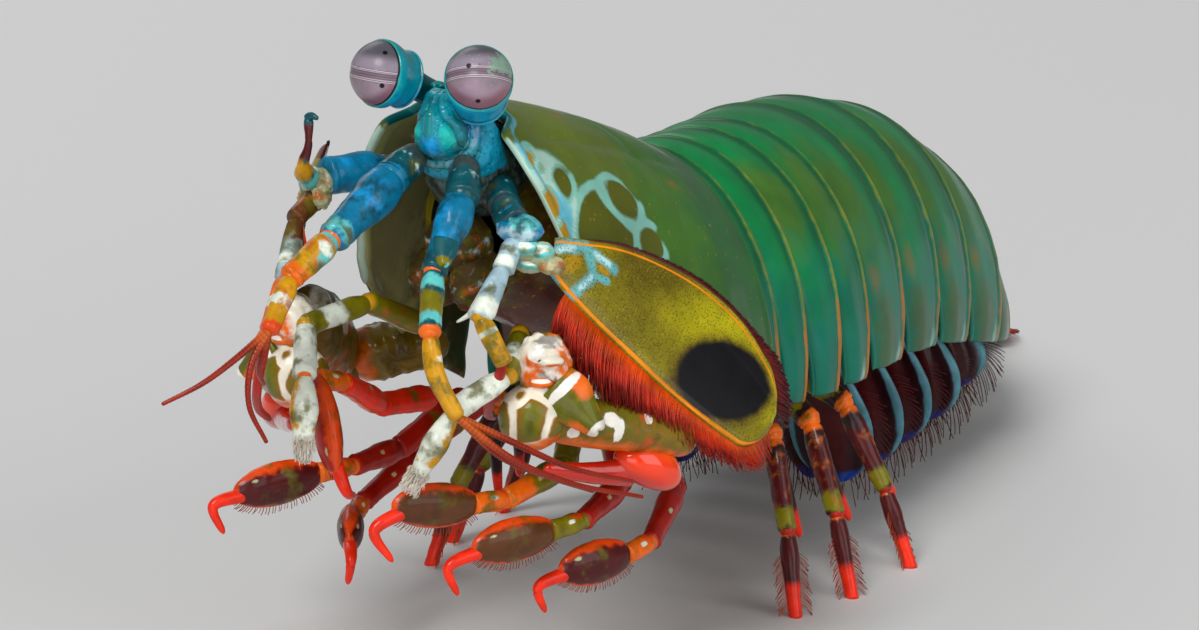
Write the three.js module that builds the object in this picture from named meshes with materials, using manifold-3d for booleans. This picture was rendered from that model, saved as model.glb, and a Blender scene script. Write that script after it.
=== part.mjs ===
// A life-size still model of a peacock mantis shrimp, standing on its walking legs and tail fan.
// Millimetres, +Z up. The animal faces -Y and its left side is +X. The group's origin is on the floor.
import * as THREE from "three";
import { mergeVertices } from "three/addons/utils/BufferGeometryUtils.js";
import Module from "manifold-3d";

const wasm = await Module();
wasm.setup();

const v = (x, y, z) => new THREE.Vector3(x, y, z);
const lerp = THREE.MathUtils.lerp;
const rad = THREE.MathUtils.degToRad;
const UP = v(0, 0, 1);

// Driving dimensions.
const CARAPACE_LENGTH = 35;
const BACK = v(0, 0, 41); // top of the back, where the carapace ends
const FLOOR = -3; // height of the floor in the frame that the sizes below use
const SHELL = 1.1; // thickness of the carapace
const GAP = 0.35; // clearance kept between neighbouring pieces
const SOLE = 0.3; // how far each foot is drawn below the floor before it is trimmed flat
const STERNUM_RISE = 4.2; // the underside lies this far above the lower edges of the sides
const ARCH = 2.12; // exponent of the arched section: 2 is an ellipse, more is squarer
const HOLLOW = 2.4; // exponent of the hollowed underside, which stays low near the edges
const CAP = 0.55; // share of the height at which a cap's middle lies

// Colours read from the living animal.
const COLOUR = {
  carapace: 0x6b7a2a,
  tergite: 0x1f6b3f,
  belly: 0x5a3b26,
  face: 0x14808c,
  stalk: 0x16a0bd,
  cornea: 0xa58f98,
  blue: 0x1c86b8,
  yellow: 0xb5901e,
  feeler: 0x8c1d12,
  blade: 0x8e8a12,
  claw: 0xc9772c,
  heel: 0xf0431a,
  leg: 0x8f2a18,
  tail: 0x2f6a4c,
};

// The trunk, from the fifth thoracic somite back: exposed length, slope down to the rear and turn to the
// right in degrees, then the half width and height at the rear edge, and the reach of its swimming legs.
const SOMITES = [
  { name: "thorax_5", length: 5.5, pitch: 1, yaw: -3, half: 15.7, height: 24.2 },
  { name: "thorax_6", length: 5.3, pitch: 1, yaw: -5, half: 15.9, height: 24.5 },
  { name: "thorax_7", length: 5.4, pitch: 0, yaw: -4, half: 16.2, height: 24.7 },
  { name: "thorax_8", length: 5.8, pitch: 1, yaw: 3, half: 16.3, height: 24.8 },
  { name: "abdomen_1", length: 11.5, pitch: 2, yaw: 7, half: 16.5, height: 25, pleopod: 17 },
  { name: "abdomen_2", length: 12, pitch: 6, yaw: 6, half: 16.9, height: 24.8, pleopod: 17 },
  { name: "abdomen_3", length: 12.5, pitch: 12, yaw: 7, half: 17.1, height: 24.6, pleopod: 15.5 },
  { name: "abdomen_4", length: 13, pitch: 23, yaw: 9, half: 17, height: 22.8, pleopod: 13 },
  { name: "abdomen_5", length: 13, pitch: 33, yaw: 22, half: 16.2, height: 19, pleopod: 9.5 },
  { name: "abdomen_6", length: 11.5, pitch: 38, yaw: 34, half: 13.8, height: 13 },
];
const LEAN = 0.6; // share of the slope by which a section leans
const TUCK = v(0, -2, -0.8); // the trunk starts this far under the carapace's rear edge
const TUCKED = 1.9; // and this much smaller there
const LOBE = 0.5; // share of a somite's length that its rounded lower lobes lose
const LIP = 0.7; // how far a somite's rear edge stands out over the next one's front

// The carapace's sections from its rear edge forward.
const CARAPACE = [
  { pitch: 22, half: 17.2, height: 25 },
  { pitch: 20, half: 16.6, height: 24.6 },
  { pitch: 17, half: 15.2, height: 23 },
  { pitch: 13, half: 13.2, height: 20.4 },
  { pitch: 10, half: 10.8, height: 16.5 },
];
const SADDLE_LEAN = 0.2; // share of the carapace's slope by which its sections lean
const FRONT_CORNER = 0.2; // share of the length by which the front edge rounds back at the lower corners
const REAR_HOLLOW = 0.04; // share of the length by which the rear edge is scooped over the back

// Limbs: joint positions from the body outwards, and the radius at each joint.
const EYES = {
  l: { at: v(5.9, -40.4, 54.1), look: v(0.41, -0.69, 0.6), foot: v(2.4, -36.6, 50.6) },
  r: { at: v(-3.5, -40.7, 53.9), look: v(-0.23, -0.92, 0.32), foot: v(-1.1, -36.2, 51.4) },
};
const CORNEA = { radius: 3.0, length: 2.9 };
const STALK = { length: 5.0, rear: 2.0, collar: 3.1 };

const ANTENNULES = {
  l: {
    joints: [
      v(3.8, -39.0, 46.3),
      v(5.2, -42.3, 43.8),
      v(5.8, -48.6, 38.4),
      v(7.8, -53.0, 34.0),
      v(10.8, -53.6, 27.0),
    ],
    radii: [1.5, 1.65, 1.35, 0.95, 0.75],
    flagella: [
      [v(10.8, -53.6, 27), v(14.0, -49.5, 24.2), v(16.5, -44.5, 21.2), v(19.2, -36.5, 18.2)],
      [v(10.8, -53.6, 27), v(14.3, -50.8, 23.2), v(17.2, -45.3, 20.0), v(20.6, -37.5, 17.2)],
      [v(10.8, -53.6, 27), v(13.6, -50.6, 23.0), v(16.2, -46.6, 20.6), v(18.2, -42.4, 18.6)],
    ],
  },
  r: {
    joints: [
      v(-0.4, -39.9, 46.8),
      v(-0.9, -43.9, 45.2),
      v(-2.0, -52.4, 41.3),
      v(-3.4, -57.3, 38.6),
      v(-3.2, -61.4, 34.8),
    ],
    radii: [1.6, 1.8, 1.4, 1.1, 0.85],
    flagella: [
      [v(-3.2, -61.4, 34.8), v(-4.4, -64.6, 33), v(-6, -67.8, 31.2), v(-8.6, -70.2, 29.6)],
      [v(-3.2, -61.4, 34.8), v(-3.6, -63.8, 32.2), v(-3.4, -64.6, 29), v(-2.4, -63.4, 25.4)],
      [v(-3.2, -61.4, 34.8), v(-3.6, -62, 32.6), v(-4.4, -61.2, 31), v(-5.0, -59.4, 29.4)],
    ],
  },
};

const ANTENNAE = {
  l: {
    root: [v(5.0, -34.2, 42.9), v(6.3, -36.6, 41.2), v(8.9, -37.9, 39.9)],
    joints: [v(8.9, -37.9, 39.9), v(8.9, -40.6, 37.9), v(8.8, -45.6, 34.3), v(11.2, -45.7, 30.4)],
    feeler: [v(11.2, -45.7, 30.4), v(9.4, -44.2, 27.2), v(6.6, -40.4, 24), v(4.4, -35, 22)],
  },
  r: {
    root: [v(-3.9, -37.2, 43.6), v(-5.2, -40.6, 43.9), v(-7.3, -45.6, 43.9)],
    joints: [v(-7.3, -45.6, 43.9), v(-7.3, -49.6, 42.2), v(-5.9, -53.6, 37.8), v(-5.6, -57.6, 33.8)],
    feeler: [v(-5.6, -57.6, 33.8), v(-6.6, -57.6, 29.6), v(-8.6, -54.6, 26), v(-9.8, -50.4, 23.6)],
  },
};
const ANTENNA_RADII = [1.5, 1.0, 1.3, 0.85];
const ANTENNA_ROOT_RADII = [1.0, 1.25, 1.7];

// Antennal scales: root, tip and the way the flat side looks.
const SCALES = {
  l: { root: v(11.3, -37.6, 38.4), tip: v(25.6, -21.4, 21.6), face: v(0.72, -0.42, 0.5) },
  r: { root: v(-9.4, -43.4, 43.4), tip: v(-22.2, -24.4, 33.4), face: v(-0.84, -0.42, 0.3) },
};
// Share of the length, half width, and how far the middle bows towards the upper edge.
const SCALE_OUTLINE = [
  [-0.03, 1.2, 0],
  [0.08, 2.3, 0.3],
  [0.22, 4.0, 0.9],
  [0.42, 5.3, 1.3],
  [0.62, 5.9, 1.2],
  [0.8, 5.5, 0.5],
  [0.92, 3.9, -0.4],
  [1, 1.4, -0.9],
];
const BLADE = 0.4; // half thickness of a leaf-like blade

// The first, cleaning maxillipeds.
const CLEANERS = {
  l: [
    v(5.4, -30.5, 27.5),
    v(8.4, -37.6, 30.6),
    v(10.6, -43.9, 28.6),
    v(7.5, -48.2, 26.0),
    v(5.7, -51.6, 20.8),
  ],
  r: [
    v(-5.4, -30.5, 28.5),
    v(-6.6, -38.4, 32.2),
    v(-8.8, -45.8, 31.4),
    v(-6.4, -50.2, 28.2),
    v(-4.8, -53.2, 22.8),
  ],
};
const CLEANER_BRUSH = v(1.6, 2.4, 1.3);
const CLEANER_RADII = [1.1, 1.0, 1.0, 1.25, 1.5];

// Raptorial claws, folded: hip, elbow behind, wrist in front, then the hand folded back to its heel.
// The hand's and the club's points are offsets from the wrist, x outwards.
const CLAWS = {
  l: { hip: v(11.5, -14.5, 22.8), elbow: v(20.2, -19.6, 20.4), wrist: v(14.0, -37.2, 29.4) },
  r: { hip: v(-11.5, -14.5, 22.8), elbow: v(-20.6, -19.2, 21.2), wrist: v(-15.0, -37.0, 30.4) },
};
const MERUS = { half: 2.5, deep: 3.9, end: 0.86 };
const THIGH = { root: 2.6, elbow: 2.4, knob: v(2.4, 2.6, 2.4) };
const CARPUS = { at: v(-1.6, -3.4, -0.6), size: v(2.3, 2.5, 3.0) };
const PALM = { at: v(-2.4, -4.2, -5.0), radius: 2.8, end: v(7.4, 8.6, -9.2), deep: 1.9 };
const HEEL = { at: v(4.4, 4.6, -10.9), along: 3.3, across: 1.9 };
const DACTYL = { tip: v(-1.6, -3.6, -9.6), root: 1.5, point: 0.5 };

// The third to fifth maxillipeds, curved forward under the head as they hold and turn food. Each has an
// arm, a flat round hand from its wrist to its end, and a finger hooked back from there.
const GRASPERS = {
  maxilliped_3_l: {
    arm: [v(7.4, -25, 20.4), v(10.4, -33, 17.8), v(8.8, -41.0, 16.4), v(7.4, -44.4, 16.6)],
    end: v(3.4, -51.4, 17.6),
    finger: [v(3.6, -51.2, 17.2), v(2.2, -53.2, 15.6), v(3.6, -52.4, 12.8)],
  },
  maxilliped_3_r: {
    arm: [v(-7.4, -25, 20.4), v(-8.2, -33.4, 21.4), v(-7.8, -41, 25.2), v(-8.6, -44.2, 26.2)],
    end: v(-5.2, -47.2, 18.8),
    finger: [v(-5.2, -47, 19.2), v(-4, -47.2, 17), v(-4.6, -44.8, 16)],
  },
  maxilliped_4_l: {
    arm: [v(7.4, -18.5, 19.4), v(12.4, -25.5, 14.6), v(12.8, -34, 13.2), v(11.6, -37.6, 13)],
    end: v(7.6, -44.6, 12.6),
    finger: [v(7.7, -44.4, 12.3), v(6.0, -46.8, 11), v(6.8, -46.4, 8.6)],
  },
  maxilliped_4_r: {
    arm: [v(-7.4, -18.5, 19.4), v(-10.4, -26.5, 15.4), v(-10.6, -34.6, 15.6), v(-11.8, -38.8, 15.8)],
    end: v(-16.2, -45.8, 15),
    finger: [v(-16, -45.6, 14.8), v(-17.6, -47.8, 14), v(-16.6, -47.6, 11.6)],
  },
  maxilliped_5_l: {
    arm: [v(7.4, -12.5, 18.6), v(14.0, -17.5, 12.4), v(15.6, -26, 9.6), v(15, -29.4, 9.2)],
    end: v(11.6, -35.6, 8.8),
    finger: [v(11.7, -35.4, 8.5), v(10.2, -37.8, 7.4), v(10.8, -37.4, 5.2)],
  },
  maxilliped_5_r: {
    arm: [v(-7.4, -12.5, 18.6), v(-13.6, -17.5, 12.4), v(-14.6, -26, 9.6), v(-13.8, -29.4, 9.2)],
    end: v(-10.4, -35.8, 8.8),
    finger: [v(-10.5, -35.6, 8.5), v(-9, -38, 7.4), v(-9.6, -37.6, 5.2)],
  },
};
const GRASPER_RADII = [1.3, 1.25, 1.0, 0.8];
const GRASPER_HAND = { thick: 1.3, deep: 1.9, spare: 0.4 };
const GRASPER_FINGER = 0.6;

// Walking legs: the main branch down to the floor, and the side branch.
const TOE = FLOOR - SOLE;
const WALKERS = [
  { somite: 1, joints: [v(14.8, 2.2, 13), v(18, -1.2, 4.8), v(20, -3.4, TOE)], side: v(16.6, 4.8, 2.4) },
  { somite: 2, joints: [v(15.6, 9.2, 13), v(19.6, 6.6, 4.8), v(22.2, 5, TOE)], side: v(18.4, 12.6, 2.4) },
  { somite: 3, joints: [v(15.6, 17.2, 13), v(20, 17.4, 4.8), v(23, 17.4, TOE)], side: v(18.8, 22.8, 2.4) },
];
const WALKER_ROOT = { across: 9.6, drop: 3.2 };
const WALKER_RADII = [1.35, 1.1, 0.85, 0.7];

// The tail fan, laid out from the rear of the last ring: x to the left, y back, z above the floor.
const TAIL_TURN = 6; // degrees further round than the last ring
const TELSON = { root: 12.2, tip: 1.3, length: 23.5, half: 12.8, thick: 1.0, crown: 1.7 };
const UROPOD = {
  stem: [v(9.2, -1.6, 7.8), v(12.6, 4.2, 5.2)],
  fork: [v(11.2, 3.4, 3.8), v(9.4, 15.5, 0.4), v(12.8, 13.2, 0.4)],
  arm: [v(12.8, 3.6, 5.2), v(19.2, 12.6, 2.6)],
  outer: [v(18.8, 12.0, 2.6), v(22.2, 23, 0.5)],
  inner: [v(13.8, 5.6, 3.6), v(14.8, 21.8, 0.5)],
};

// Solids: a stock cylinder or box whose vertices are laid along a path, closed and facing out.
function closed(geometry) {
  geometry.deleteAttribute("normal");
  geometry.deleteAttribute("uv");
  const merged = mergeVertices(geometry, 1e-4);
  const index = merged.index.array;
  const at = (i) => v(0, 0, 0).fromBufferAttribute(merged.getAttribute("position"), i);
  let volume = 0;
  for (let i = 0; i < index.length; i += 3) {
    volume += at(index[i]).dot(at(index[i + 1]).cross(at(index[i + 2])));
  }
  for (let i = 0; volume < 0 && i < index.length; i += 3) {
    [index[i + 1], index[i + 2]] = [index[i + 2], index[i + 1]];
  }
  return merged;
}

// A cylinder with its rings laid by place(ring number, angle, reach), where reach is 0 at a cap's middle.
function bentCylinder(sides, rings, place) {
  const geometry = new THREE.CylinderGeometry(1, 1, 1, sides, rings - 1);
  const position = geometry.getAttribute("position");
  for (let i = 0; i < position.count; i++) {
    const ring = Math.round((0.5 - position.getY(i)) * (rings - 1));
    const reach = Math.hypot(position.getX(i), position.getZ(i)) > 0.5 ? 1 : 0;
    const p = place(ring, Math.atan2(position.getZ(i), position.getX(i)), reach);
    position.setXYZ(i, p.x, p.y, p.z);
  }
  return closed(geometry);
}

// A box with its faces laid by place(along, across, depth), each from 0 to 1.
function bentSlab(lengthSteps, widthSteps, place) {
  const geometry = new THREE.BoxGeometry(1, 1, 1, lengthSteps, widthSteps, 1);
  const position = geometry.getAttribute("position");
  for (let i = 0; i < position.count; i++) {
    const p = place(position.getX(i) + 0.5, position.getY(i) + 0.5, position.getZ(i) + 0.5);
    position.setXYZ(i, p.x, p.y, p.z);
  }
  return closed(geometry);
}

// An ellipsoid about a point, turned so that its Y axis points along a direction.
function egg(at, size, along = UP, segments = 10, rows = 8) {
  const geometry = new THREE.SphereGeometry(1, segments, rows);
  geometry.scale(size.x, size.y, size.z);
  geometry.applyQuaternion(new THREE.Quaternion().setFromUnitVectors(v(0, 1, 0), along.clone().normalize()));
  geometry.translate(at.x, at.y, at.z);
  return closed(geometry);
}

// A sweep through stations { at, w, h }: half width w across, and half height h towards up.
function sweep(stations, up, sides = 8) {
  return bentCylinder(sides, stations.length, (ring, angle, reach) => {
    const s = stations[ring];
    const before = stations[Math.max(ring - 1, 0)].at;
    const after = stations[Math.min(ring + 1, stations.length - 1)].at;
    const tangent = after.clone().sub(before).normalize();
    const side = tangent.clone().cross(up).normalize();
    const lift = side.clone().cross(tangent);
    return s.at
      .clone()
      .addScaledVector(side, reach * s.w * Math.cos(angle))
      .addScaledVector(lift, reach * s.h * Math.sin(angle));
  });
}

// Stations of a straight bone that swells between its ends, by rows of [share, part of the radius].
const SWOLLEN = [[0, 0.75], [0.18, 1], [0.82, 0.95], [1, 0.7]];
const STOUT = [[0, 0.72], [0.22, 1], [0.8, 0.95]];
const SLIM = [[0, 0.72], [0.3, 1]];
const SPINE = [[0, 1], [1, 0.8]];
function bone(from, to, ra, rb, rows = SWOLLEN) {
  return rows.map(([share, swell]) => {
    const r = lerp(ra, rb, share) * swell;
    return { at: from.clone().lerp(to, share), w: r, h: r };
  });
}

// A jointed limb: each segment narrows where it meets the next.
function limb(joints, radii, sides = 6, rows = SLIM) {
  const stations = [];
  for (let i = 0; i < joints.length - 1; i++) {
    stations.push(...bone(joints[i], joints[i + 1], radii[i], radii[i + 1], rows));
  }
  const end = radii.at(-1) * 0.7;
  stations.push({ at: joints.at(-1).clone(), w: end, h: end });
  return sweep(stations, UP, sides);
}

// A thin feeler that tapers along a smooth curve.
const FEELER_TIP = 0.33; // smallest radius
function feeler(points, radius = 0.45, steps = 6, sides = 4) {
  const stations = new THREE.CatmullRomCurve3(points).getSpacedPoints(steps).map((at, i) => {
    const r = Math.max(radius * (1 - (0.4 * i) / steps), FEELER_TIP);
    return { at, w: r, h: r };
  });
  return sweep(stations, v(0.3, 0.2, 1), sides);
}

// A leaf-like blade from root to tip: the half width follows a profile of [share, half width, bow].
function leaf(root, tip, face, profile, half = BLADE, crown = 0.5, steps = 4) {
  const along = tip.clone().sub(root);
  const across = face.clone().cross(along).normalize();
  const out = along.clone().cross(across).normalize();
  const curve = (share) => {
    const place = share * (profile.length - 1);
    const i = Math.min(Math.floor(place), profile.length - 2);
    return profile[i].map((value, k) => lerp(value, profile[i + 1][k], place - i));
  };
  return bentSlab(profile.length - 1, steps, (share, side, depth) => {
    const [reach, wide, bow] = curve(share);
    const t = 2 * side - 1;
    return root
      .clone()
      .addScaledVector(along, reach)
      .addScaledVector(across, wide * t + bow)
      .addScaledVector(out, (2 * depth - 1) * half * (1 - 0.35 * t * t) + crown * (1 - t * t));
  });
}

function solidOf(geometry) {
  const position = geometry.getAttribute("position");
  return new wasm.Manifold(
    new wasm.Mesh({
      numProp: 3,
      vertProperties: Float32Array.from(position.array),
      triVerts: Uint32Array.from(geometry.index.array),
    }),
  );
}

function geometryOf(solid) {
  const mesh = solid.getMesh();
  const geometry = new THREE.BufferGeometry();
  geometry.setAttribute("position", new THREE.BufferAttribute(mesh.vertProperties, 3));
  geometry.setIndex(new THREE.BufferAttribute(mesh.triVerts, 1));
  return geometry;
}

const SIMPLER = 0.1; // slivers under this size are merged after a cut
function joined(...geometries) {
  const whole = geometries.map(solidOf).reduce((a, b) => a.add(b));
  return geometryOf(whole.simplify(SIMPLER));
}

const onFloor = (geometry) => geometryOf(solidOf(geometry).trimByPlane([0, 0, 1], FLOOR));

// The geometry pushed out along its normals, to cut a neighbour with clearance.
function grown(geometry, by = GAP) {
  const copy = geometry.clone();
  copy.computeVertexNormals();
  const position = copy.getAttribute("position");
  const normal = copy.getAttribute("normal");
  for (let i = 0; i < position.count; i++) {
    const p = v(0, 0, 0).fromBufferAttribute(position, i);
    p.addScaledVector(v(0, 0, 0).fromBufferAttribute(normal, i), by);
    position.setXYZ(i, p.x, p.y, p.z);
  }
  return copy;
}

// The largest piece left of a geometry once its neighbours, with clearance, are cut away.
function cutBy(geometry, ...neighbours) {
  const cut = neighbours.reduce((solid, other) => solid.subtract(solidOf(grown(other))), solidOf(geometry));
  const pieces = cut.simplify(SIMPLER).decompose();
  return geometryOf(pieces.sort((a, b) => b.volume() - a.volume())[0]);
}

const shrimp = new THREE.Group();
const made = {};
function add(name, geometry, colour, roughness = 0.35) {
  const material = new THREE.MeshStandardMaterial({ color: colour, roughness, metalness: 0 });
  const mesh = new THREE.Mesh(geometry, material);
  mesh.name = name;
  shrimp.add(mesh);
  made[name] = geometry;
  return geometry;
}
const SIDES = [
  ["l", 1],
  ["r", -1],
];
const flip = (p, sign) => v(sign * p.x, p.y, p.z);

// The way to the rear, sloping down by pitch and turned to the right by yaw.
function heading(pitch, yaw) {
  const level = Math.cos(rad(pitch));
  return v(-Math.sin(rad(yaw)) * level, Math.cos(rad(yaw)) * level, -Math.sin(rad(pitch)));
}

// A section of the trunk: its top point, the way back, the way to the left and up.
function section(at, tangent, half, height) {
  const side = tangent.clone().cross(UP).normalize();
  return { at: at.clone(), tangent, side, up: side.clone().cross(tangent), half, height };
}

function between(a, b, share) {
  const at = a.at.clone().lerp(b.at, share);
  const tangent = a.tangent.clone().lerp(b.tangent, share).normalize();
  return section(at, tangent, lerp(a.half, b.half, share), lerp(a.height, b.height, share));
}

// The sections where one somite meets the next.
function trunkEdges() {
  const at = BACK.clone().add(TUCK);
  return [...SOMITES, SOMITES.at(-1)].map((after, i) => {
    const before = SOMITES[Math.max(i - 1, 0)];
    const pitch = (before.pitch + after.pitch) / 2;
    const edge = section(at, heading(LEAN * pitch, (before.yaw + after.yaw) / 2), before.half, before.height);
    at.addScaledVector(heading(after.pitch, after.yaw), after.length);
    return edge;
  });
}
const EDGES = trunkEdges();

const power = (value, exponent) => Math.sign(value) * Math.abs(value) ** exponent;

// A point of an arched section. Angle 0 is the left lower edge, a quarter turn the top, and below zero
// the hollowed underside. Reach 0 is the middle of a cap.
function archPoint(edge, angle, reach, inset = 0) {
  const half = edge.half - inset;
  const height = edge.height - inset;
  const [c, s] = [Math.cos(angle), Math.sin(angle)];
  const across = half * power(c, s < 0 ? 1 : 2 / ARCH);
  const rise = s < 0 ? STERNUM_RISE * (-s) ** HOLLOW : height * power(s, 2 / ARCH);
  return edge.at
    .clone()
    .addScaledVector(edge.side, reach * across)
    .addScaledVector(edge.up, (reach ? rise : CAP * height) - edge.height);
}

// One somite: an arched ring, lipped at its rear edge, with rounded lobes for lower edges.
function somite(i) {
  const margin = GAP / 2 / SOMITES[i].length;
  const rows = [
    [margin, i === 0 ? TUCKED : LIP],
    [0.35, LIP / 5],
    [1 - margin, 0],
  ];
  return bentCylinder(20, rows.length, (ring, angle, reach) => {
    const [share, inset] = rows[ring];
    const low = 1 - Math.abs(Math.sin(angle));
    const squeezed = reach ? 0.5 + (share - 0.5) * (1 - LOBE * low ** 4) : share;
    return archPoint(between(EDGES[i], EDGES[i + 1], squeezed), angle, reach, inset);
  });
}

// A point of a somite's belly: so far to the left of its middle, and so far below the underside.
function belly(i, across, drop) {
  const { at, side, up, height } = between(EDGES[i], EDGES[i + 1], 0.45);
  return at
    .clone()
    .addScaledVector(side, across)
    .addScaledVector(up, STERNUM_RISE - height - drop);
}

// A pair of swimming legs: a leaf-like blade that hangs back from the belly on each side.
const PLEOPOD = [[0, 1.8, 0], [0.25, 3.2, 0], [0.6, 4.5, 0], [0.85, 3.4, 0], [1, 1.2, 0]];
const PLEOPOD_HALF = 0.7; // half thickness
const STEM_HIGH = 2.5; // each starts this far inside the belly
function pleopods(i, reach) {
  const back = EDGES[i].tangent;
  return SIDES.map(([, sign]) => {
    const tip = belly(i, sign * 9.4, reach).addScaledVector(back, 0.12 * reach);
    return leaf(belly(i, sign * 8.2, -STEM_HIGH), tip, back.clone().negate(), PLEOPOD, PLEOPOD_HALF, 0, 1);
  });
}

SOMITES.forEach((sized, i) => {
  const ring = somite(i);
  const whole = sized.pleopod ? joined(ring, ...pleopods(i, sized.pleopod)) : ring;
  add(sized.name, whole, COLOUR.tergite);
});

// The carapace: a saddle-shaped shell, narrower and shallower towards the head.
function carapaceSections() {
  const step = CARAPACE_LENGTH / (CARAPACE.length - 1);
  const at = BACK.clone();
  return CARAPACE.map((row, i) => {
    const edge = section(at, heading(SADDLE_LEAN * row.pitch, 0), row.half, row.height);
    const next = CARAPACE[Math.min(i + 1, CARAPACE.length - 1)];
    at.addScaledVector(heading((row.pitch + next.pitch) / 2, 0), -step);
    return edge;
  });
}
const SADDLE = carapaceSections();

// The carapace's section at a share of its length, 0 at the rear and 1 at the front.
function saddleAt(share) {
  const place = THREE.MathUtils.clamp(share, 0, 0.9999) * (SADDLE.length - 1);
  return between(SADDLE[Math.floor(place)], SADDLE[Math.floor(place) + 1], place % 1);
}

const carapace = add(
  "carapace",
  bentSlab(4, 16, (along, across, depth) => {
    const angle = Math.PI * across;
    const low = 1 - Math.sin(angle);
    const front = 1 - FRONT_CORNER * low ** 4;
    const rear = REAR_HOLLOW * (1 - low);
    const wall = depth > 0.5 ? 0 : SHELL;
    return archPoint(saddleAt(lerp(rear, front, along)), angle, 1, wall);
  }),
  COLOUR.carapace,
);

// Upright oval sections { at, w, h } joined front to back.
function ovals(rows, sides) {
  return bentCylinder(sides, rows.length, (ring, angle, reach) => {
    const { at, w, h } = rows[ring];
    return at.clone().add(v(reach * w * Math.cos(angle), 0, reach * h * Math.sin(angle)));
  });
}

// The body under the carapace, from the first somite behind it to the mouth.
const CORE = [
  { at: v(0, -2.7, 29.2), w: 12, h: 9.3 },
  { at: v(0, -8, 31.8), w: 11.9, h: 9.5 },
  { at: v(0, -17, 34.6), w: 10.4, h: 9.4 },
  { at: v(0, -25, 36.8), w: 7.9, h: 8 },
  { at: v(0, -30.4, 38.6), w: 5.6, h: 6.2 },
];
const core = add("thorax_core", ovals(CORE, 12), COLOUR.belly);

// The head in front of the carapace: a shield-like face under the eyes, and the small ring that bears them.
const HEAD = [
  { at: v(0.3, -31, 44.2), w: 4.2, h: 3.9 },
  { at: v(0.6, -34, 45), w: 4.9, h: 4.9 },
  { at: v(1.2, -37.4, 46.2), w: 4.6, h: 5 },
  { at: v(1.7, -40, 46.8), w: 3.7, h: 4 },
  { at: v(2, -41.4, 46.9), w: 2.4, h: 2.6 },
];
const eyeRing = egg(v(0.7, -37.2, 49.9), v(1.9, 1.3, 1.7), UP, 8, 6);
const head = add("head", cutBy(joined(ovals(HEAD, 12), eyeRing), carapace), COLOUR.face);

// The rostral plate: a small blunt triangle hinged to the middle of the carapace's front edge.
const plateRoot = v(0, -34.1, 50.9);
const plateTip = v(0.4, -38, 52.3);
const PLATE = [[0, 3.6, 0], [0.35, 2.6, 0], [0.75, 1.3, 0], [1, 0.45, 0]];
const plate = add(
  "rostral_plate",
  cutBy(leaf(plateRoot, plateTip, UP, PLATE, 0.4, 0.25), carapace, head),
  COLOUR.carapace,
);

// Eyes: a cup on a short neck, and the cornea that bulges from it.
for (const [side] of SIDES) {
  const { at, look, foot } = EYES[side];
  const way = look.clone().normalize();
  const cornea = egg(at, v(CORNEA.radius, CORNEA.length, CORNEA.radius), way, 10, 8);
  const back = (distance) => at.clone().addScaledVector(way, -distance);
  const cup = sweep(
    [
      { at: foot, w: 1.2, h: 1.2 },
      { at: back(STALK.length), w: STALK.rear, h: STALK.rear },
      { at: back(1.8), w: STALK.collar - 0.25, h: STALK.collar - 0.25 },
      { at: back(0.4), w: STALK.collar, h: STALK.collar },
    ],
    UP,
    10,
  );
  add(`eyestalk_${side}`, cutBy(cup, cornea, head, plate), COLOUR.stalk);
  add(`cornea_${side}`, cornea, COLOUR.cornea, 0.2);
}

// Antennules: three stout segments, then three feelers from the last one.
for (const [side] of SIDES) {
  const { joints, radii, flagella } = ANTENNULES[side];
  const stem = add(`antennule_${side}`, cutBy(limb(joints, radii, 6, STOUT), head), COLOUR.blue);
  const knob = egg(joints.at(-1), v(0.6, 0.6, 0.6), UP, 6, 4);
  const whips = joined(knob, ...flagella.map((points) => feeler(points)));
  add(`antennule_flagella_${side}`, cutBy(whips, stem), COLOUR.feeler);
}

// Antennae: the root inside the carapace's front opening, the jointed stem and its feeler, and the scale.
for (const [side, sign] of SIDES) {
  const { root, joints, feeler: route } = ANTENNAE[side];
  const knuckle = egg(joints[0], v(1.9, 1.7, 1.8), UP, 7, 5);
  const stem = limb(joints, ANTENNA_RADII);
  const whole = joined(limb(root, ANTENNA_ROOT_RADII), knuckle, stem, feeler(route));
  const antenna = add(`antenna_${side}`, cutBy(whole, head, core, carapace), COLOUR.blue);
  const { root: base, tip, face } = SCALES[side];
  const outline = SCALE_OUTLINE.map(([reach, wide, bow]) => [reach, wide, sign * bow]);
  add(`antennal_scale_${side}`, cutBy(leaf(base, tip, face, outline), antenna, carapace), COLOUR.blade);
}

// The mouth: the lip over a pair of jaws.
const mouth = add(
  "mouthparts",
  cutBy(
    joined(
      egg(v(0.8, -34.6, 37.6), v(3.2, 2.8, 2.8), UP, 6, 4),
      egg(v(-1.6, -34.2, 34.2), v(2.6, 3.6, 3), UP, 6, 4),
      egg(v(2.6, -34.2, 34.2), v(2.6, 3.6, 3), UP, 6, 4),
    ),
    core,
    head,
    carapace,
  ),
  COLOUR.claw,
);

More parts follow.
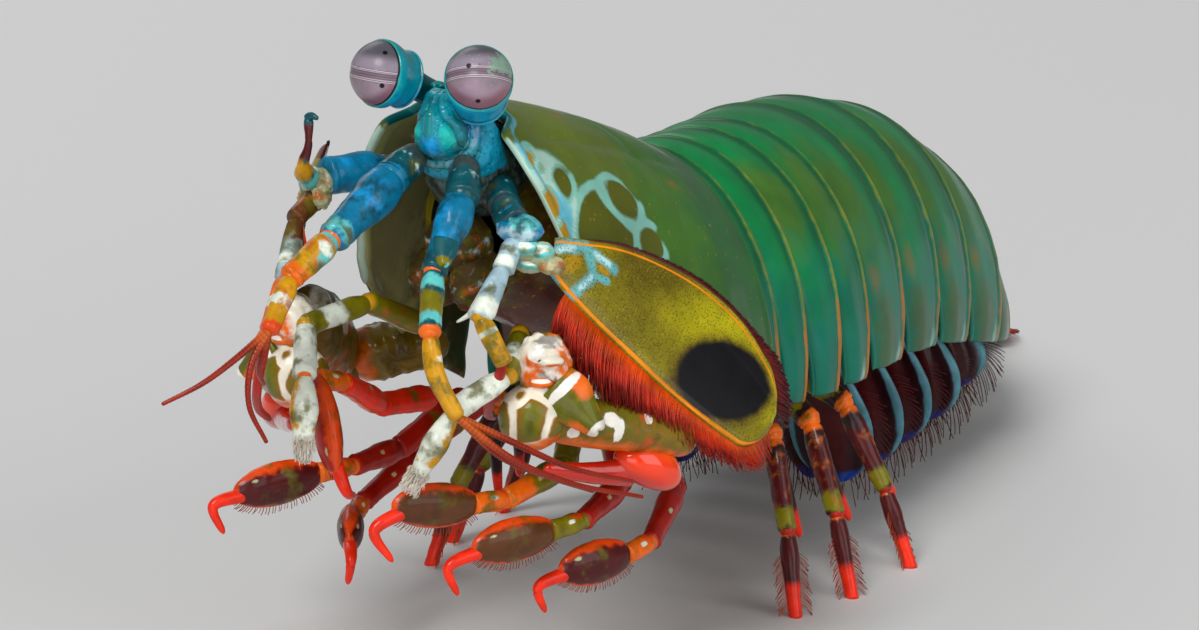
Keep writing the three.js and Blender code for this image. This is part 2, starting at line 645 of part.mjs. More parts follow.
// The raptorial claws: upper arm, wrist, the hand folded back under it, and the club with its heel.
const MERUS_ROWS = [
  [0, 2.0, 2.4],
  [0.25, MERUS.half, MERUS.deep],
  [0.75, MERUS.half, MERUS.deep],
  [0.93, 2.0, 2.9],
];
const PALM_ROWS = [[0, 1], [0.8, 1], [1, 0.8]];
const CLUB_ROWS = [[0, 1], [0.4, 0.9], [1, 0.7]];
for (const [side, sign] of SIDES) {
  const { hip, elbow, wrist } = CLAWS[side];
  const from = (offset) => wrist.clone().add(flip(offset, sign));
  const arm = elbow.clone().lerp(wrist, MERUS.end);
  const blade = MERUS_ROWS.map(([share, w, h]) => ({ at: elbow.clone().lerp(arm, share), w, h }));
  const merus = joined(
    sweep(bone(hip, elbow, THIGH.root, THIGH.elbow), UP, 6),
    egg(elbow, THIGH.knob, UP, 7, 5),
    sweep(blade, UP, 8),
  );
  const carpus = egg(from(CARPUS.at), CARPUS.size, UP, 8, 6);
  const palm = from(PALM.at);
  const end = from(PALM.end);
  const hand = joined(
    egg(palm, v(PALM.radius, PALM.radius, PALM.radius), UP, 8, 5),
    sweep(bone(palm, end, PALM.deep, PALM.deep, PALM_ROWS), UP, 7),
  );
  const heelWay = from(PALM.at).sub(from(HEEL.at));
  const club = joined(
    egg(from(HEEL.at), v(HEEL.across, HEEL.along, HEEL.across), heelWay, 8, 6),
    sweep(bone(from(HEEL.at), from(DACTYL.tip), DACTYL.root, DACTYL.point, CLUB_ROWS), UP, 6),
  );
  add(`raptorial_dactyl_${side}`, club, COLOUR.heel, 0.15);
  const propodus = add(`raptorial_propodus_${side}`, cutBy(hand, club), COLOUR.claw, 0.2);
  const knuckle = add(`raptorial_carpus_${side}`, cutBy(carpus, propodus, club), COLOUR.claw, 0.3);
  add(`raptorial_merus_${side}`, cutBy(merus, knuckle, propodus, club, core, carapace), COLOUR.claw, 0.3);
}

// The first maxillipeds: slender limbs bent at the knee, each ending in a brush.
for (const [side] of SIDES) {
  const points = CLEANERS[side];
  const [wrist, brush] = [points.at(-2), points.at(-1)];
  const tuft = egg(brush.clone().lerp(wrist, 0.3), CLEANER_BRUSH, brush.clone().sub(wrist), 6, 4);
  const whole = joined(limb(points, CLEANER_RADII), tuft);
  const besides = [made[`antenna_${side}`], made[`raptorial_carpus_${side}`]];
  add(`maxilliped_1_${side}`, cutBy(whole, core, mouth, carapace, ...besides), COLOUR.yellow);
}

// The third to fifth maxillipeds: a slender arm, a round flat hand and a hooked finger.
for (const [name, { arm, end, finger }] of Object.entries(GRASPERS)) {
  const wrist = arm.at(-1);
  const size = v(GRASPER_HAND.thick, wrist.distanceTo(end) / 2 + GRASPER_HAND.spare, GRASPER_HAND.deep);
  const hand = egg(wrist.clone().lerp(end, 0.5), size, end.clone().sub(wrist), 7, 4);
  const whole = joined(limb(arm, GRASPER_RADII, 5), hand, feeler(finger, GRASPER_FINGER, 3, 4));
  add(name, cutBy(whole, core), COLOUR.leg);
}

// The walking legs stand on their last joints.
WALKERS.forEach(({ somite: i, joints, side: branch }, k) => {
  for (const [side, sign] of SIDES) {
    const root = belly(i, sign * WALKER_ROOT.across, WALKER_ROOT.drop);
    const knees = joints.map((p) => flip(p, sign));
    const split = knees[0].clone().lerp(knees[1], 0.2);
    const rod = sweep(bone(split, flip(branch, sign), 0.8, 0.5, SPINE), UP, 5);
    const whole = joined(limb([root, ...knees], WALKER_RADII, 5), rod);
    add(`walking_leg_${k + 1}_${side}`, onFloor(whole), COLOUR.leg);
  }
});

// The tail fan.
const lastEdge = EDGES.at(-1);
const tailBack = heading(0, SOMITES.at(-1).yaw + TAIL_TURN);
const tailLeft = tailBack.clone().cross(UP);
const tailRoot = v(lastEdge.at.x, lastEdge.at.y, 0).addScaledVector(lastEdge.up.clone().setZ(0), -6);
function inTail({ x, y, z }) {
  return tailRoot.clone().addScaledVector(tailLeft, x).addScaledVector(tailBack, y).setZ(FLOOR + z);
}
const lastRing = somite(SOMITES.length - 1);
const TELSON_OUTLINE = [
  [0, 8.2, 0],
  [0.1, 11.2, 0],
  [0.45, TELSON.half, 0],
  [0.78, 10.6, 0],
  [0.92, 7.4, 0],
  [1, 3.4, 0],
];
const telson = leaf(
  inTail(v(0, 0.8, TELSON.root)),
  inTail(v(0, TELSON.length, TELSON.tip)),
  UP,
  TELSON_OUTLINE,
  TELSON.thick,
  TELSON.crown,
);
add("telson", onFloor(cutBy(telson, lastRing)), COLOUR.tail);

const PADDLE = [[0, 1.4, 0], [0.2, 2.8, 0], [0.55, 3.9, 0], [0.85, 3.1, 0], [1, 1.2, 0]];
for (const [side, sign] of SIDES) {
  const at = (points) => points.map((p) => inTail(flip(p, sign)));
  const [stemRoot, stemEnd] = at(UROPOD.stem);
  const [forkRoot, innerSpine, outerSpine] = at(UROPOD.fork);
  const [armRoot, armEnd] = at(UROPOD.arm);
  const whole = joined(
    sweep(bone(stemRoot, stemEnd, 2.2, 2.4), UP, 6),
    sweep(bone(forkRoot, innerSpine, 1.3, 0.45, SPINE), UP, 5),
    sweep(bone(forkRoot, outerSpine, 1.2, 0.45, SPINE), UP, 5),
    sweep(bone(armRoot, armEnd, 1.7, 1.9), UP, 6),
    leaf(...at(UROPOD.outer), UP, PADDLE, 0.5, 0.3, 2),
    leaf(...at(UROPOD.inner), UP, PADDLE, 0.5, 0.3, 2),
  );
  add(`uropod_${side}`, onFloor(cutBy(whole, lastRing, telson)), COLOUR.tail);
}

// The model stands with the middle of its outline over the origin.
const box = new THREE.Box3().setFromObject(shrimp);
const middle = box.getCenter(v(0, 0, 0));
shrimp.position.set(-middle.x, -middle.y, -box.min.z);
shrimp.updateMatrixWorld(true);

export default shrimp;
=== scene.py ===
"""A life-size peacock mantis shrimp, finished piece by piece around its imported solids.

Shapes are worked out in millimetres in the animal's own frame: +Z is up, the animal faces -Y, its left side
is +X and the end of its carapace stands over x = 0, y = 0. Each sub-assembly is a class that holds its sizes
and makes its pieces, and each finish is a frozen dataclass that paints them.
"""

from __future__ import annotations

import logging
import math
from dataclasses import dataclass, field, replace
from enum import Enum, IntEnum
from typing import Callable, Iterable, Sequence

import bpy
import numpy as np
from mathutils import Matrix, Vector

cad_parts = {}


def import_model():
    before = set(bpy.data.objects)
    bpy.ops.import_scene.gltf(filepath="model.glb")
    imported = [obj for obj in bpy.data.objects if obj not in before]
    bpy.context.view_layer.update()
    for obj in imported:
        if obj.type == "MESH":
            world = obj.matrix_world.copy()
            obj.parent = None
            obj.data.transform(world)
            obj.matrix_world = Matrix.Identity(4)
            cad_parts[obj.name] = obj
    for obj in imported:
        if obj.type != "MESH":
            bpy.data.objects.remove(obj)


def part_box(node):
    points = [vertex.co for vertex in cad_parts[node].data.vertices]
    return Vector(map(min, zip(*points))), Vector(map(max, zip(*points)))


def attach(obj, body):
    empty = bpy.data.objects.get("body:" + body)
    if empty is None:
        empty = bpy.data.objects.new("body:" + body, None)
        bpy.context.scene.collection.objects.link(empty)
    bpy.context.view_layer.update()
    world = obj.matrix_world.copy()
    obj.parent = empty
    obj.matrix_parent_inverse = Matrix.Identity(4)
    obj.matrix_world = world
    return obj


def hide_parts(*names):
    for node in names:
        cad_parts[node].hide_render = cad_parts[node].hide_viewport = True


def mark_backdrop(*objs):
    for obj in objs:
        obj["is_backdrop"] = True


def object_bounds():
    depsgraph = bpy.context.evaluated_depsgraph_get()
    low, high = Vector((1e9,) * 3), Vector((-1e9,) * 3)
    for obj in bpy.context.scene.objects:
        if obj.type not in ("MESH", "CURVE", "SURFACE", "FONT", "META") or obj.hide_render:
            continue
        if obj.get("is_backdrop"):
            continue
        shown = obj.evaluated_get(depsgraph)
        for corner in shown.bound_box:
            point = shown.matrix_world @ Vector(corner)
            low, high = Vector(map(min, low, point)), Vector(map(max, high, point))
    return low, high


Array = np.ndarray
Values = dict[str, Array]
Relief = Callable[[Array, Array], Array]
Socket = bpy.types.NodeSocket
Thing = bpy.types.Object
Tree = bpy.types.NodeTree
LOG = logging.getLogger("mantis_shrimp")

MM = 0.001
UP = np.array((0.0, 0.0, 1.0))
LEFT = np.array((1.0, 0.0, 0.0))
SIDES = {"l": 1.0, "r": -1.0}
SEED = 7
FLOOR = -3.0
TUFT_PATCH = 0.003


def vec(*numbers: float) -> Array:
    """The numbers as an array of floats."""
    return np.array(numbers, float)


def unit(vectors: Array) -> Array:
    """The vectors scaled to length 1."""
    return vectors / np.maximum(np.linalg.norm(vectors, axis=-1, keepdims=True), 1e-9)


def smooth(low: float | Array, high: float | Array, value: Array) -> Array:
    """A soft step from 0 at low to 1 at high."""
    t = np.clip((value - low) / (high - low), 0, 1)
    return t * t * (3 - 2 * t)


def bell(value: Array, centre: float, width: float) -> Array:
    """A soft hump of height 1 at the centre."""
    return np.exp(-(((value - centre) / width) ** 2))


def curve(knots: Sequence[float], values: Iterable, at: Array) -> Array:
    """Values of a smooth curve through the knots.

    Args:
        knots: Rising positions of the knots.
        values: One number or vector for each knot.
        at: Positions to read.

    Returns:
        An array with one row for each position.
    """
    x, y = np.asarray(knots, float), np.asarray(list(values), float)
    slope = np.gradient(y, x, axis=0)
    i = np.clip(np.searchsorted(x, at, side="right") - 1, 0, len(x) - 2)
    gap = x[i + 1] - x[i]
    t = np.clip((at - x[i]) / gap, 0, 1)
    if y.ndim > 1:
        gap, t = gap[:, None], t[:, None]
    rest = 1 - t
    ends = y[i] * (1 + 2 * t) * rest**2 + y[i + 1] * t**2 * (3 - 2 * t)
    return ends + gap * t * rest * (slope[i] * rest - slope[i + 1] * t)


def through(points: Iterable, at: Array) -> Array:
    """Points of a smooth curve through a few points, at shares of its length.

    Args:
        points: A few points.
        at: Shares to read.

    Returns:
        One point for each share.
    """
    knots = np.asarray(list(points), float)
    steps = np.linalg.norm(np.diff(knots, axis=0), axis=1)
    reach = np.concatenate([[0], np.cumsum(steps)])
    return curve(reach, knots, at * reach[-1])


def graded(count: int, rim: float) -> Array:
    """Shares from 0 to 1 with three more steps inside the rim at each end.

    Args:
        count: Even steps between the rims.
        rim: Share that a rim takes up.

    Returns:
        Rising shares.
    """
    edge = np.array((0.0, 0.1, 0.35, 0.7)) * rim
    inner = np.linspace(rim, 1 - rim, count)
    return np.concatenate([edge, inner, 1 - edge[::-1]])


def rounded(share: Array, rim: float) -> Array:
    """Thickness that swells from 0 at both ends to 1 past the rim, as a round edge does."""
    x = np.clip(np.minimum(share, 1 - share) / rim, 0, 1)
    return np.sqrt(1 - (1 - x) ** 2)


def ripple(points: Array, scale: float, seed: int = SEED, octaves: int = 3) -> Array:
    """Smooth random waves over space, from about -1 to 1.

    Args:
        points: Places in millimetres, with the coordinates last.
        scale: Length of the largest waves in millimetres.
        seed: Seed of the waves' directions.
        octaves: Layers of waves, each half as long as the last.

    Returns:
        One number for each place.
    """
    rng = np.random.default_rng(seed)
    total = np.zeros(points.shape[:-1])
    for octave in range(octaves):
        for _ in range(5):
            way = unit(rng.normal(size=3)) * 2 * math.pi / (scale * rng.uniform(0.7, 1.3)) * 2**octave
            total += np.sin(points @ way + rng.uniform(0, 6.28)) * 0.5**octave
    return total / 5


@dataclass
class Patch:
    """One closed body: points in millimetres, four-cornered faces, and named values at the points."""

    points: Array
    faces: Array
    values: Values = field(default_factory=dict)

    def outward(self) -> Patch:
        """This patch with its faces turned outwards.

        Returns:
            The patch itself.
        """
        a, b, c, d = (self.points[self.faces[:, k]] for k in range(4))
        volume = np.einsum("ij,ij->", a, np.cross(b, c)) + np.einsum("ij,ij->", a, np.cross(c, d))
        if volume < 0:
            self.faces = self.faces[:, ::-1]
        return self


def grid_faces(index: Array, wrap: bool) -> Array:
    """Faces of a grid of point numbers, closed from its last column to its first if wrap is set.

    Args:
        index: Point numbers in rows.
        wrap: Whether each row closes on itself.

    Returns:
        Four corners for each face.
    """
    right = np.roll(index, -1, axis=1)
    if not wrap:
        index, right = index[:, :-1], right[:, :-1]
    return np.stack([index[:-1], right[:-1], right[1:], index[1:]], -1).reshape(-1, 4)


def tube(rings: Array, values: Values | None = None) -> Patch:
    """A closed body from rings of points, with a point that closes each end.

    Args:
        rings: Points, ring by ring.
        values: Named values, one for each ring or each point.

    Returns:
        The patch.
    """
    count, sides, _ = rings.shape
    index = np.arange(count * sides).reshape(count, sides)
    ends = rings[[0, -1]].mean(axis=1)
    faces = [grid_faces(index, True)]
    for number, ring in ((count * sides, index[0][::-1]), (count * sides + 1, index[-1])):
        pole = np.full(sides, number)
        faces.append(np.stack([ring, np.roll(ring, -1), pole, pole], -1))
    kept = {}
    for name, value in (values or {}).items():
        full = np.broadcast_to(value[:, None] if value.ndim == 1 else value, (count, sides))
        kept[name] = np.concatenate([full.ravel(), full[[0, -1]].mean(axis=1)])
    return Patch(np.concatenate([rings.reshape(-1, 3), ends]), np.concatenate(faces), kept).outward()


def sheet_normals(middle: Array) -> Array:
    """The normals of a grid of points."""
    return unit(np.cross(np.gradient(middle, axis=0), np.gradient(middle, axis=1)))


def blade(middle: Array, thick: Array, values: Values | None = None) -> Patch:
    """A thin closed body about a grid of points, whose faces meet along its border.

    Args:
        middle: The grid that runs midway between the faces.
        thick: Thickness at each point, in millimetres.
        values: Named values at each point, the same on both faces.

    Returns:
        The patch, with a value "inner" that is 1 on the face away from the grid's normals.
    """
    rows, cols, _ = middle.shape
    offset = sheet_normals(middle) * thick[..., None] / 2
    inside = np.zeros((rows, cols), bool)
    inside[1:-1, 1:-1] = True
    front = np.arange(rows * cols).reshape(rows, cols)
    rear = front.copy()
    rear[inside] = rows * cols + np.arange(inside.sum())
    offset[~inside] = 0
    points = np.concatenate([(middle + offset).reshape(-1, 3), (middle - offset)[inside]])
    faces = np.concatenate([grid_faces(front, False), grid_faces(rear, False)[:, ::-1]])
    kept = {name: np.concatenate([v.ravel(), v[inside]]) for name, v in (values or {}).items()}
    kept["inner"] = np.concatenate([np.zeros(rows * cols), np.ones(inside.sum())])
    return Patch(points, faces, kept).outward()


def axes_along(path: Array, up: Array) -> tuple[Array, Array]:
    """The ways across and up at each point of a path.

    Args:
        path: Points in order.
        up: The way that up leans to.

    Returns:
        One way across and one way up for each point.
    """
    tangent = unit(np.gradient(path, axis=0))
    side = unit(np.cross(tangent, up))
    return side, np.cross(side, tangent)


def upright(along: Array) -> tuple[Array, Array, Array]:
    """The ways ahead, to the side and upwards of something that runs along a line.

    Args:
        along: The line.

    Returns:
        Three ways of length 1.
    """
    way = unit(along)
    side = unit(np.cross(way, UP))
    return way, side, np.cross(side, way)


def swept(
    path: Array, half: Array, deep: Array, up: Array = UP, sides: int = 28, relief: Relief | None = None,
    values: Values | None = None) -> Patch:
    """A body swept along a path.

    Args:
        path: Points along the middle.
        half: Half width at each point.
        deep: Half depth at each point, towards up.
        up: The way the depth is measured.
        sides: Points around each ring.
        relief: Extra radius in millimetres at (share of the length, turn from -1 to 1).
        values: Named values along the path. "share" and "turn" are always added.

    Returns:
        The patch. Turn 0 looks up and 0.5 to the side.
    """
    side, lift = axes_along(path, up)
    share = np.linspace(0, 1, len(path))
    turn = np.linspace(-1, 1, sides, endpoint=False)
    angle = (0.5 - turn) * math.pi
    grid = np.meshgrid(share, turn, indexing="ij")
    extra = relief(*grid) if relief else np.zeros_like(grid[0])
    ease = np.clip(np.minimum(half, deep)[:, None], 0, 1)
    wide = (half[:, None] + extra * ease)[..., None] * np.cos(angle)[None, :, None]
    high = (deep[:, None] + extra * ease)[..., None] * np.sin(angle)[None, :, None]
    rings = path[:, None] + wide * side[:, None] + high * lift[:, None]
    return tube(rings, {**(values or {}), "share": share, "turn": grid[1]})


def ball(at: Array, axes: Array, steps: int = 18, sides: int = 28) -> Patch:
    """An ellipsoid about a point, from three half axes, the last of which runs through its poles.

    Args:
        at: Its middle.
        axes: Its half axes, in rows.
        steps: Rings from pole to pole.
        sides: Points in a ring.

    Returns:
        The patch, with its share from pole to pole and its turn.
    """
    polar = np.linspace(0.02, math.pi - 0.02, steps)
    turn = np.linspace(-1, 1, sides, endpoint=False)
    p, t = np.meshgrid(polar, turn * math.pi, indexing="ij")
    local = np.stack([np.sin(p) * np.sin(t), np.sin(p) * np.cos(t), np.cos(p)], -1)
    values = {"share": np.broadcast_to(p / math.pi, p.shape), "turn": t / math.pi}
    return tube(at + local @ axes, values)


class Nodes:
    """Adds nodes to one tree and links what they read."""

    def __init__(self, tree: Tree) -> None:
        """Keeps the tree."""
        self.tree = tree

    def add(self, kind: str, inputs: dict | None = None, **settings: object) -> bpy.types.Node:
        """Adds one node.

        Args:
            kind: The node's type, such as ShaderNodeMath.
            inputs: Socket name or number to a value, or to the output socket that it reads.
            settings: The node's own settings.

        Returns:
            The node.
        """
        node = self.tree.nodes.new(kind)
        for name, value in settings.items():
            setattr(node, name, value)
        for key, value in (inputs or {}).items():
            if isinstance(value, Socket):
                self.tree.links.new(value, node.inputs[key])
            else:
                node.inputs[key].default_value = value
        return node

    def group(self, tree: Tree, inputs: dict) -> bpy.types.NodeOutputs:
        """The outputs of a node group that reads the inputs."""
        return self.add("ShaderNodeGroup", inputs, node_tree=tree).outputs

    def math(self, operation: str, *values: object) -> Socket:
        """The result of a Math node."""
        return self.add("ShaderNodeMath", dict(enumerate(values)), operation=operation).outputs[0]

    def ramp(self, value: object, low: object, high: object, to: tuple = (0.0, 1.0)) -> Socket:
        """A soft step of a value between two others."""
        inputs = {"Value": value, "From Min": low, "From Max": high, "To Min": to[0], "To Max": to[1]}
        return self.add("ShaderNodeMapRange", inputs, interpolation_type="SMOOTHSTEP").outputs[0]

    def noise(self, place: object, grain: object, detail: float = 3.0, rough: float = 0.55) -> Socket:
        """Noise from 0 to 1 with so many features to the metre."""
        inputs = {"Vector": place, "Scale": grain, "Detail": detail, "Roughness": rough}
        return self.add("ShaderNodeTexNoise", inputs).outputs["Fac"]

    def mix(self, share: object, low: object, high: object, blend: str = "MIX") -> Socket:
        """Two colours mixed."""
        return self.add(
            "ShaderNodeMix", {0: share, 6: low, 7: high}, data_type="RGBA", blend_type=blend).outputs[2]


def shader_group(
    name: str, inputs: dict[str, float | None], outputs: Sequence[str]) -> tuple[Nodes, dict, object]:
    """Starts a shader node group.

    Args:
        name: The group's name.
        inputs: Input name to its default number, or None for a vector.
        outputs: Names of the outputs, all numbers.

    Returns:
        The group's nodes, its inputs as sockets, and its output node.
    """
    tree = bpy.data.node_groups.new(name, "ShaderNodeTree")
    for key, value in inputs.items():
        kind = "NodeSocketVector" if value is None else "NodeSocketFloat"
        socket = tree.interface.new_socket(key, in_out="INPUT", socket_type=kind)
        if value is not None:
            socket.default_value = value
    for key in outputs:
        tree.interface.new_socket(key, in_out="OUTPUT", socket_type="NodeSocketFloat")
    nodes = Nodes(tree)
    return nodes, nodes.add("NodeGroupInput").outputs, nodes.add("NodeGroupOutput")


class Effects:
    """Shader node groups that the finishes share, each built once."""

    def __init__(self) -> None:
        """Builds the groups."""
        self.mask = self.ragged_mask()
        self.speckle = self.speckles()
        self.cuticle = self.cuticle_height()

    def ragged_mask(self) -> Tree:
        """A soft step of a surface value, with a border that noise makes ragged.

        Returns:
            The group.
        """
        inputs = {"Place": None, "Value": 0.0, "Start": 0.0, "Full": 1.0, "Ragged": 0.0, "Grain": 500.0}
        nodes, given, out = shader_group("Ragged mask", inputs, ["Mask"])
        waves = nodes.math("SUBTRACT", nodes.noise(given["Place"], given["Grain"]), 0.5)
        shifted = nodes.math("MULTIPLY_ADD", waves, given["Ragged"], given["Value"])
        nodes.tree.links.new(nodes.ramp(shifted, given["Start"], given["Full"]), out.inputs["Mask"])
        return nodes.tree

    def speckles(self) -> Tree:
        """Scattered dots of uneven size.

        Returns:
            The group.
        """
        inputs = {"Place": None, "Grain": 3000.0, "Size": 0.3, "Share": 0.5}
        nodes, given, out = shader_group("Speckles", inputs, ["Mask"])
        cells = nodes.add("ShaderNodeTexVoronoi", {"Vector": given["Place"], "Scale": given["Grain"]})
        pick = nodes.add("ShaderNodeSeparateColor", {0: cells.outputs["Color"]}).outputs[0]
        dots = nodes.ramp(
            cells.outputs["Distance"], given["Size"], nodes.math("MULTIPLY", given["Size"], 0.5))
        kept = nodes.math("LESS_THAN", pick, given["Share"])
        nodes.tree.links.new(nodes.math("MULTIPLY", dots, kept), out.inputs["Mask"])
        return nodes.tree

    def cuticle_height(self) -> Tree:
        """The skin of a shell: low waves and fine pits, with a slow mottle for tone and gloss.

        Returns:
            The group.
        """
        inputs = {"Place": None, "Grain": 900.0, "Pits": 0.5}
        nodes, given, out = shader_group("Cuticle", inputs, ["Height", "Mottle"])
        fine = nodes.math("MULTIPLY", given["Grain"], 6.0)
        pits = nodes.add(
            "ShaderNodeTexVoronoi", {"Vector": given["Place"], "Scale": fine}).outputs["Distance"]
        pitted = nodes.math("MULTIPLY", nodes.ramp(pits, 0.0, 0.45), given["Pits"])
        waves = nodes.noise(given["Place"], given["Grain"])
        nodes.tree.links.new(nodes.math("ADD", waves, pitted), out.inputs["Height"])
        slow = nodes.math("MULTIPLY", given["Grain"], 0.5)
        nodes.tree.links.new(nodes.noise(given["Place"], slow, 4.0), out.inputs["Mottle"])
        return nodes.tree


def tint(code: int) -> tuple[float, ...]:
    """A screen colour, such as 0x1F6B3F, as linear red, green and blue with full cover."""
    parts = [((code >> shift) & 255) / 255 for shift in (16, 8, 0)]
    return (*(p / 12.92 if p <= 0.04045 else ((p + 0.055) / 1.055) ** 2.4 for p in parts), 1.0)


@dataclass(frozen=True)
class Layer:
    """A colour laid on where a surface value passes from start to full."""

    colour: int
    value: str
    start: float
    full: float
    ragged: float = 0.0
    grain: float = 1.0
    cover: float = 1.0

    def mask(self, nodes: Nodes, effects: Effects, place: Socket) -> Socket:
        """Where the colour lies, from 0 to 1.

        Args:
            nodes: The material's nodes.
            effects: The shared groups.
            place: Object coordinates.

        Returns:
            The mask's socket.
        """
        value = nodes.add("ShaderNodeAttribute", attribute_name=self.value).outputs["Fac"]
        sizes = {"Start": self.start, "Full": self.full, "Ragged": self.ragged * 2, "Grain": self.grain / MM}
        return nodes.group(effects.mask, {"Place": place, "Value": value, **sizes})["Mask"]


@dataclass(frozen=True)
class Dots:
    """Scattered dots: their colour, number to the millimetre, size, share of cells and strength."""

    colour: int
    grain: float = 3.0
    size: float = 0.3
    share: float = 0.5
    cover: float = 0.6

    def mask(self, nodes: Nodes, effects: Effects, place: Socket) -> Socket:
        """Where the dots lie, from 0 to 1."""
        sizes = {"Grain": self.grain / MM, "Size": self.size, "Share": self.share}
        return nodes.group(effects.speckle, {"Place": place, **sizes})["Mask"]


@dataclass(frozen=True)
class Finish:
    """How one kind of surface looks. Grains count features to the millimetre."""

    name: str
    base: int
    layers: tuple[Layer, ...] = ()
    dots: tuple[Dots, ...] = ()
    mottle: float = 0.25
    grain: float = 0.9
    pits: float = 0.5
    bump: float = 0.25
    depth: float = 0.05
    rough: tuple[float, float] = (0.28, 0.48)
    coat: float = 0.22
    coat_rough: float = 0.1
    shine: float = 0.2
    glow: float = 0.08
    late: int = 0

    def material(self, effects: Effects) -> bpy.types.Material:
        """Builds the finish as a material.

        Args:
            effects: The shared node groups.

        Returns:
            The material.
        """
        material = bpy.data.materials.new(self.name)
        material.use_nodes = True
        material.node_tree.nodes.clear()
        nodes = Nodes(material.node_tree)
        place = nodes.add("ShaderNodeTexCoord").outputs["Object"]
        cuticle = nodes.group(effects.cuticle, {"Place": place, "Grain": self.grain / MM, "Pits": self.pits})
        colour = tint(self.base)
        early = len(self.layers) - self.late
        for cover in (*self.layers[:early], *self.dots, *self.layers[early:]):
            share = nodes.math("MULTIPLY", cover.mask(nodes, effects, place), cover.cover)
            colour = nodes.mix(share, colour, tint(cover.colour))
        mottle = cuticle["Mottle"]
        tone = nodes.ramp(mottle, 0.3, 0.7, (1 - self.mottle, 1 + self.mottle))
        tone = nodes.add("ShaderNodeCombineColor", {0: tone, 1: tone, 2: tone}).outputs[0]
        colour = nodes.mix(1.0, colour, tone, "MULTIPLY")
        bump = nodes.add(
            "ShaderNodeBump",
            {"Strength": self.bump, "Distance": self.depth * MM, "Height": cuticle["Height"]})
        inputs = {
            "Base Color": colour, "Roughness": nodes.ramp(mottle, 0.25, 0.75, self.rough),
            "Normal": bump.outputs[0], "Coat Weight": self.coat, "Coat Roughness": self.coat_rough,
            "Specular IOR Level": self.shine, "Subsurface Weight": self.glow,
            "Subsurface Radius": (1.2, 0.8, 0.5), "Subsurface Scale": 0.6 * MM}
        shader = nodes.add("ShaderNodeBsdfPrincipled", inputs)
        out = nodes.add("ShaderNodeOutputMaterial")
        nodes.tree.links.new(shader.outputs[0], out.inputs["Surface"])
        return material


@dataclass(frozen=True)
class Mark:
    """A spot or band of one colour: where it lies along and round a piece, and how far it reaches."""

    kind: str
    along: float
    reach: float
    turn: float = 0.0
    wide: float = 9.0


def painted(marks: Iterable[Mark | str], along: Array, turn: Array) -> Values:
    """Named values that are 1 in the middle of each mark, 0 at its border and down to -1 outside.

    Args:
        marks: The marks, or just a kind for one that covers the whole piece.
        along: Each point's place along the piece.
        turn: Each point's place round it, from -1 to 1.

    Returns:
        One array for each kind of mark.
    """
    along, turn = np.broadcast_arrays(along, turn)
    values: Values = {}
    for given in marks:
        mark = Mark(given, 0.5, 4) if isinstance(given, str) else given
        round_it = (turn - mark.turn + 1) % 2 - 1 if mark.wide < 9 else np.zeros_like(turn)
        inside = 1 - np.hypot((along - mark.along) / mark.reach, round_it / mark.wide)
        values[mark.kind] = np.maximum(values.get(mark.kind, -1.0), inside)
    return values


class Slot(Enum):
    """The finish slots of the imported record."""

    ANTENNAL_SCALE = "antennal_scale"
    BELLY = "belly"
    CARAPACE = "carapace"
    CLAW = "claw"
    CLEANER = "cleaner"
    CLUB = "club"
    CORNEA = "cornea"
    EYE_CUP = "eye_cup"
    FACE = "face"
    FEELER_STEM = "feeler_stem"
    FLAGELLA = "flagella"
    GRASPER = "grasper"
    MOUTH = "mouth"
    TAIL_FAN = "tail_fan"
    TERGITES = "tergites"
    WALKING_LEG = "walking_leg"


LEFT_CORNEA = vec(5.9, -40.4, 54.1)


def column(rows: bpy.types.bpy_prop_collection, key: str, wide: int = 1, kind: type = np.float32) -> Array:
    """One property of every row of a mesh's data.

    Args:
        rows: The rows.
        key: The property.
        wide: How many numbers each row has.
        kind: The numbers' type.

    Returns:
        The numbers, row by row.
    """
    values = np.zeros(len(rows) * wide, kind)
    rows.foreach_get(key, values)
    return values.reshape(-1, wide) if wide > 1 else values


def raw_mesh(name: str, points: Array, corners: Array, sizes: Array) -> bpy.types.Mesh:
    """A smooth mesh from plain arrays.

    Args:
        name: The mesh's name.
        points: Points in metres.
        corners: Point numbers, face after face.
        sizes: How many corners each face has.

    Returns:
        The mesh.
    """
    mesh = bpy.data.meshes.new(name)
    mesh.vertices.add(len(points))
    mesh.vertices.foreach_set("co", points.ravel())
    mesh.loops.add(len(corners))
    mesh.loops.foreach_set("vertex_index", corners)
    mesh.polygons.add(len(sizes))
    mesh.polygons.foreach_set("loop_start", np.concatenate([[0], np.cumsum(sizes)[:-1]]))
    mesh.update(calc_edges=True)
    mesh.shade_smooth()
    return mesh


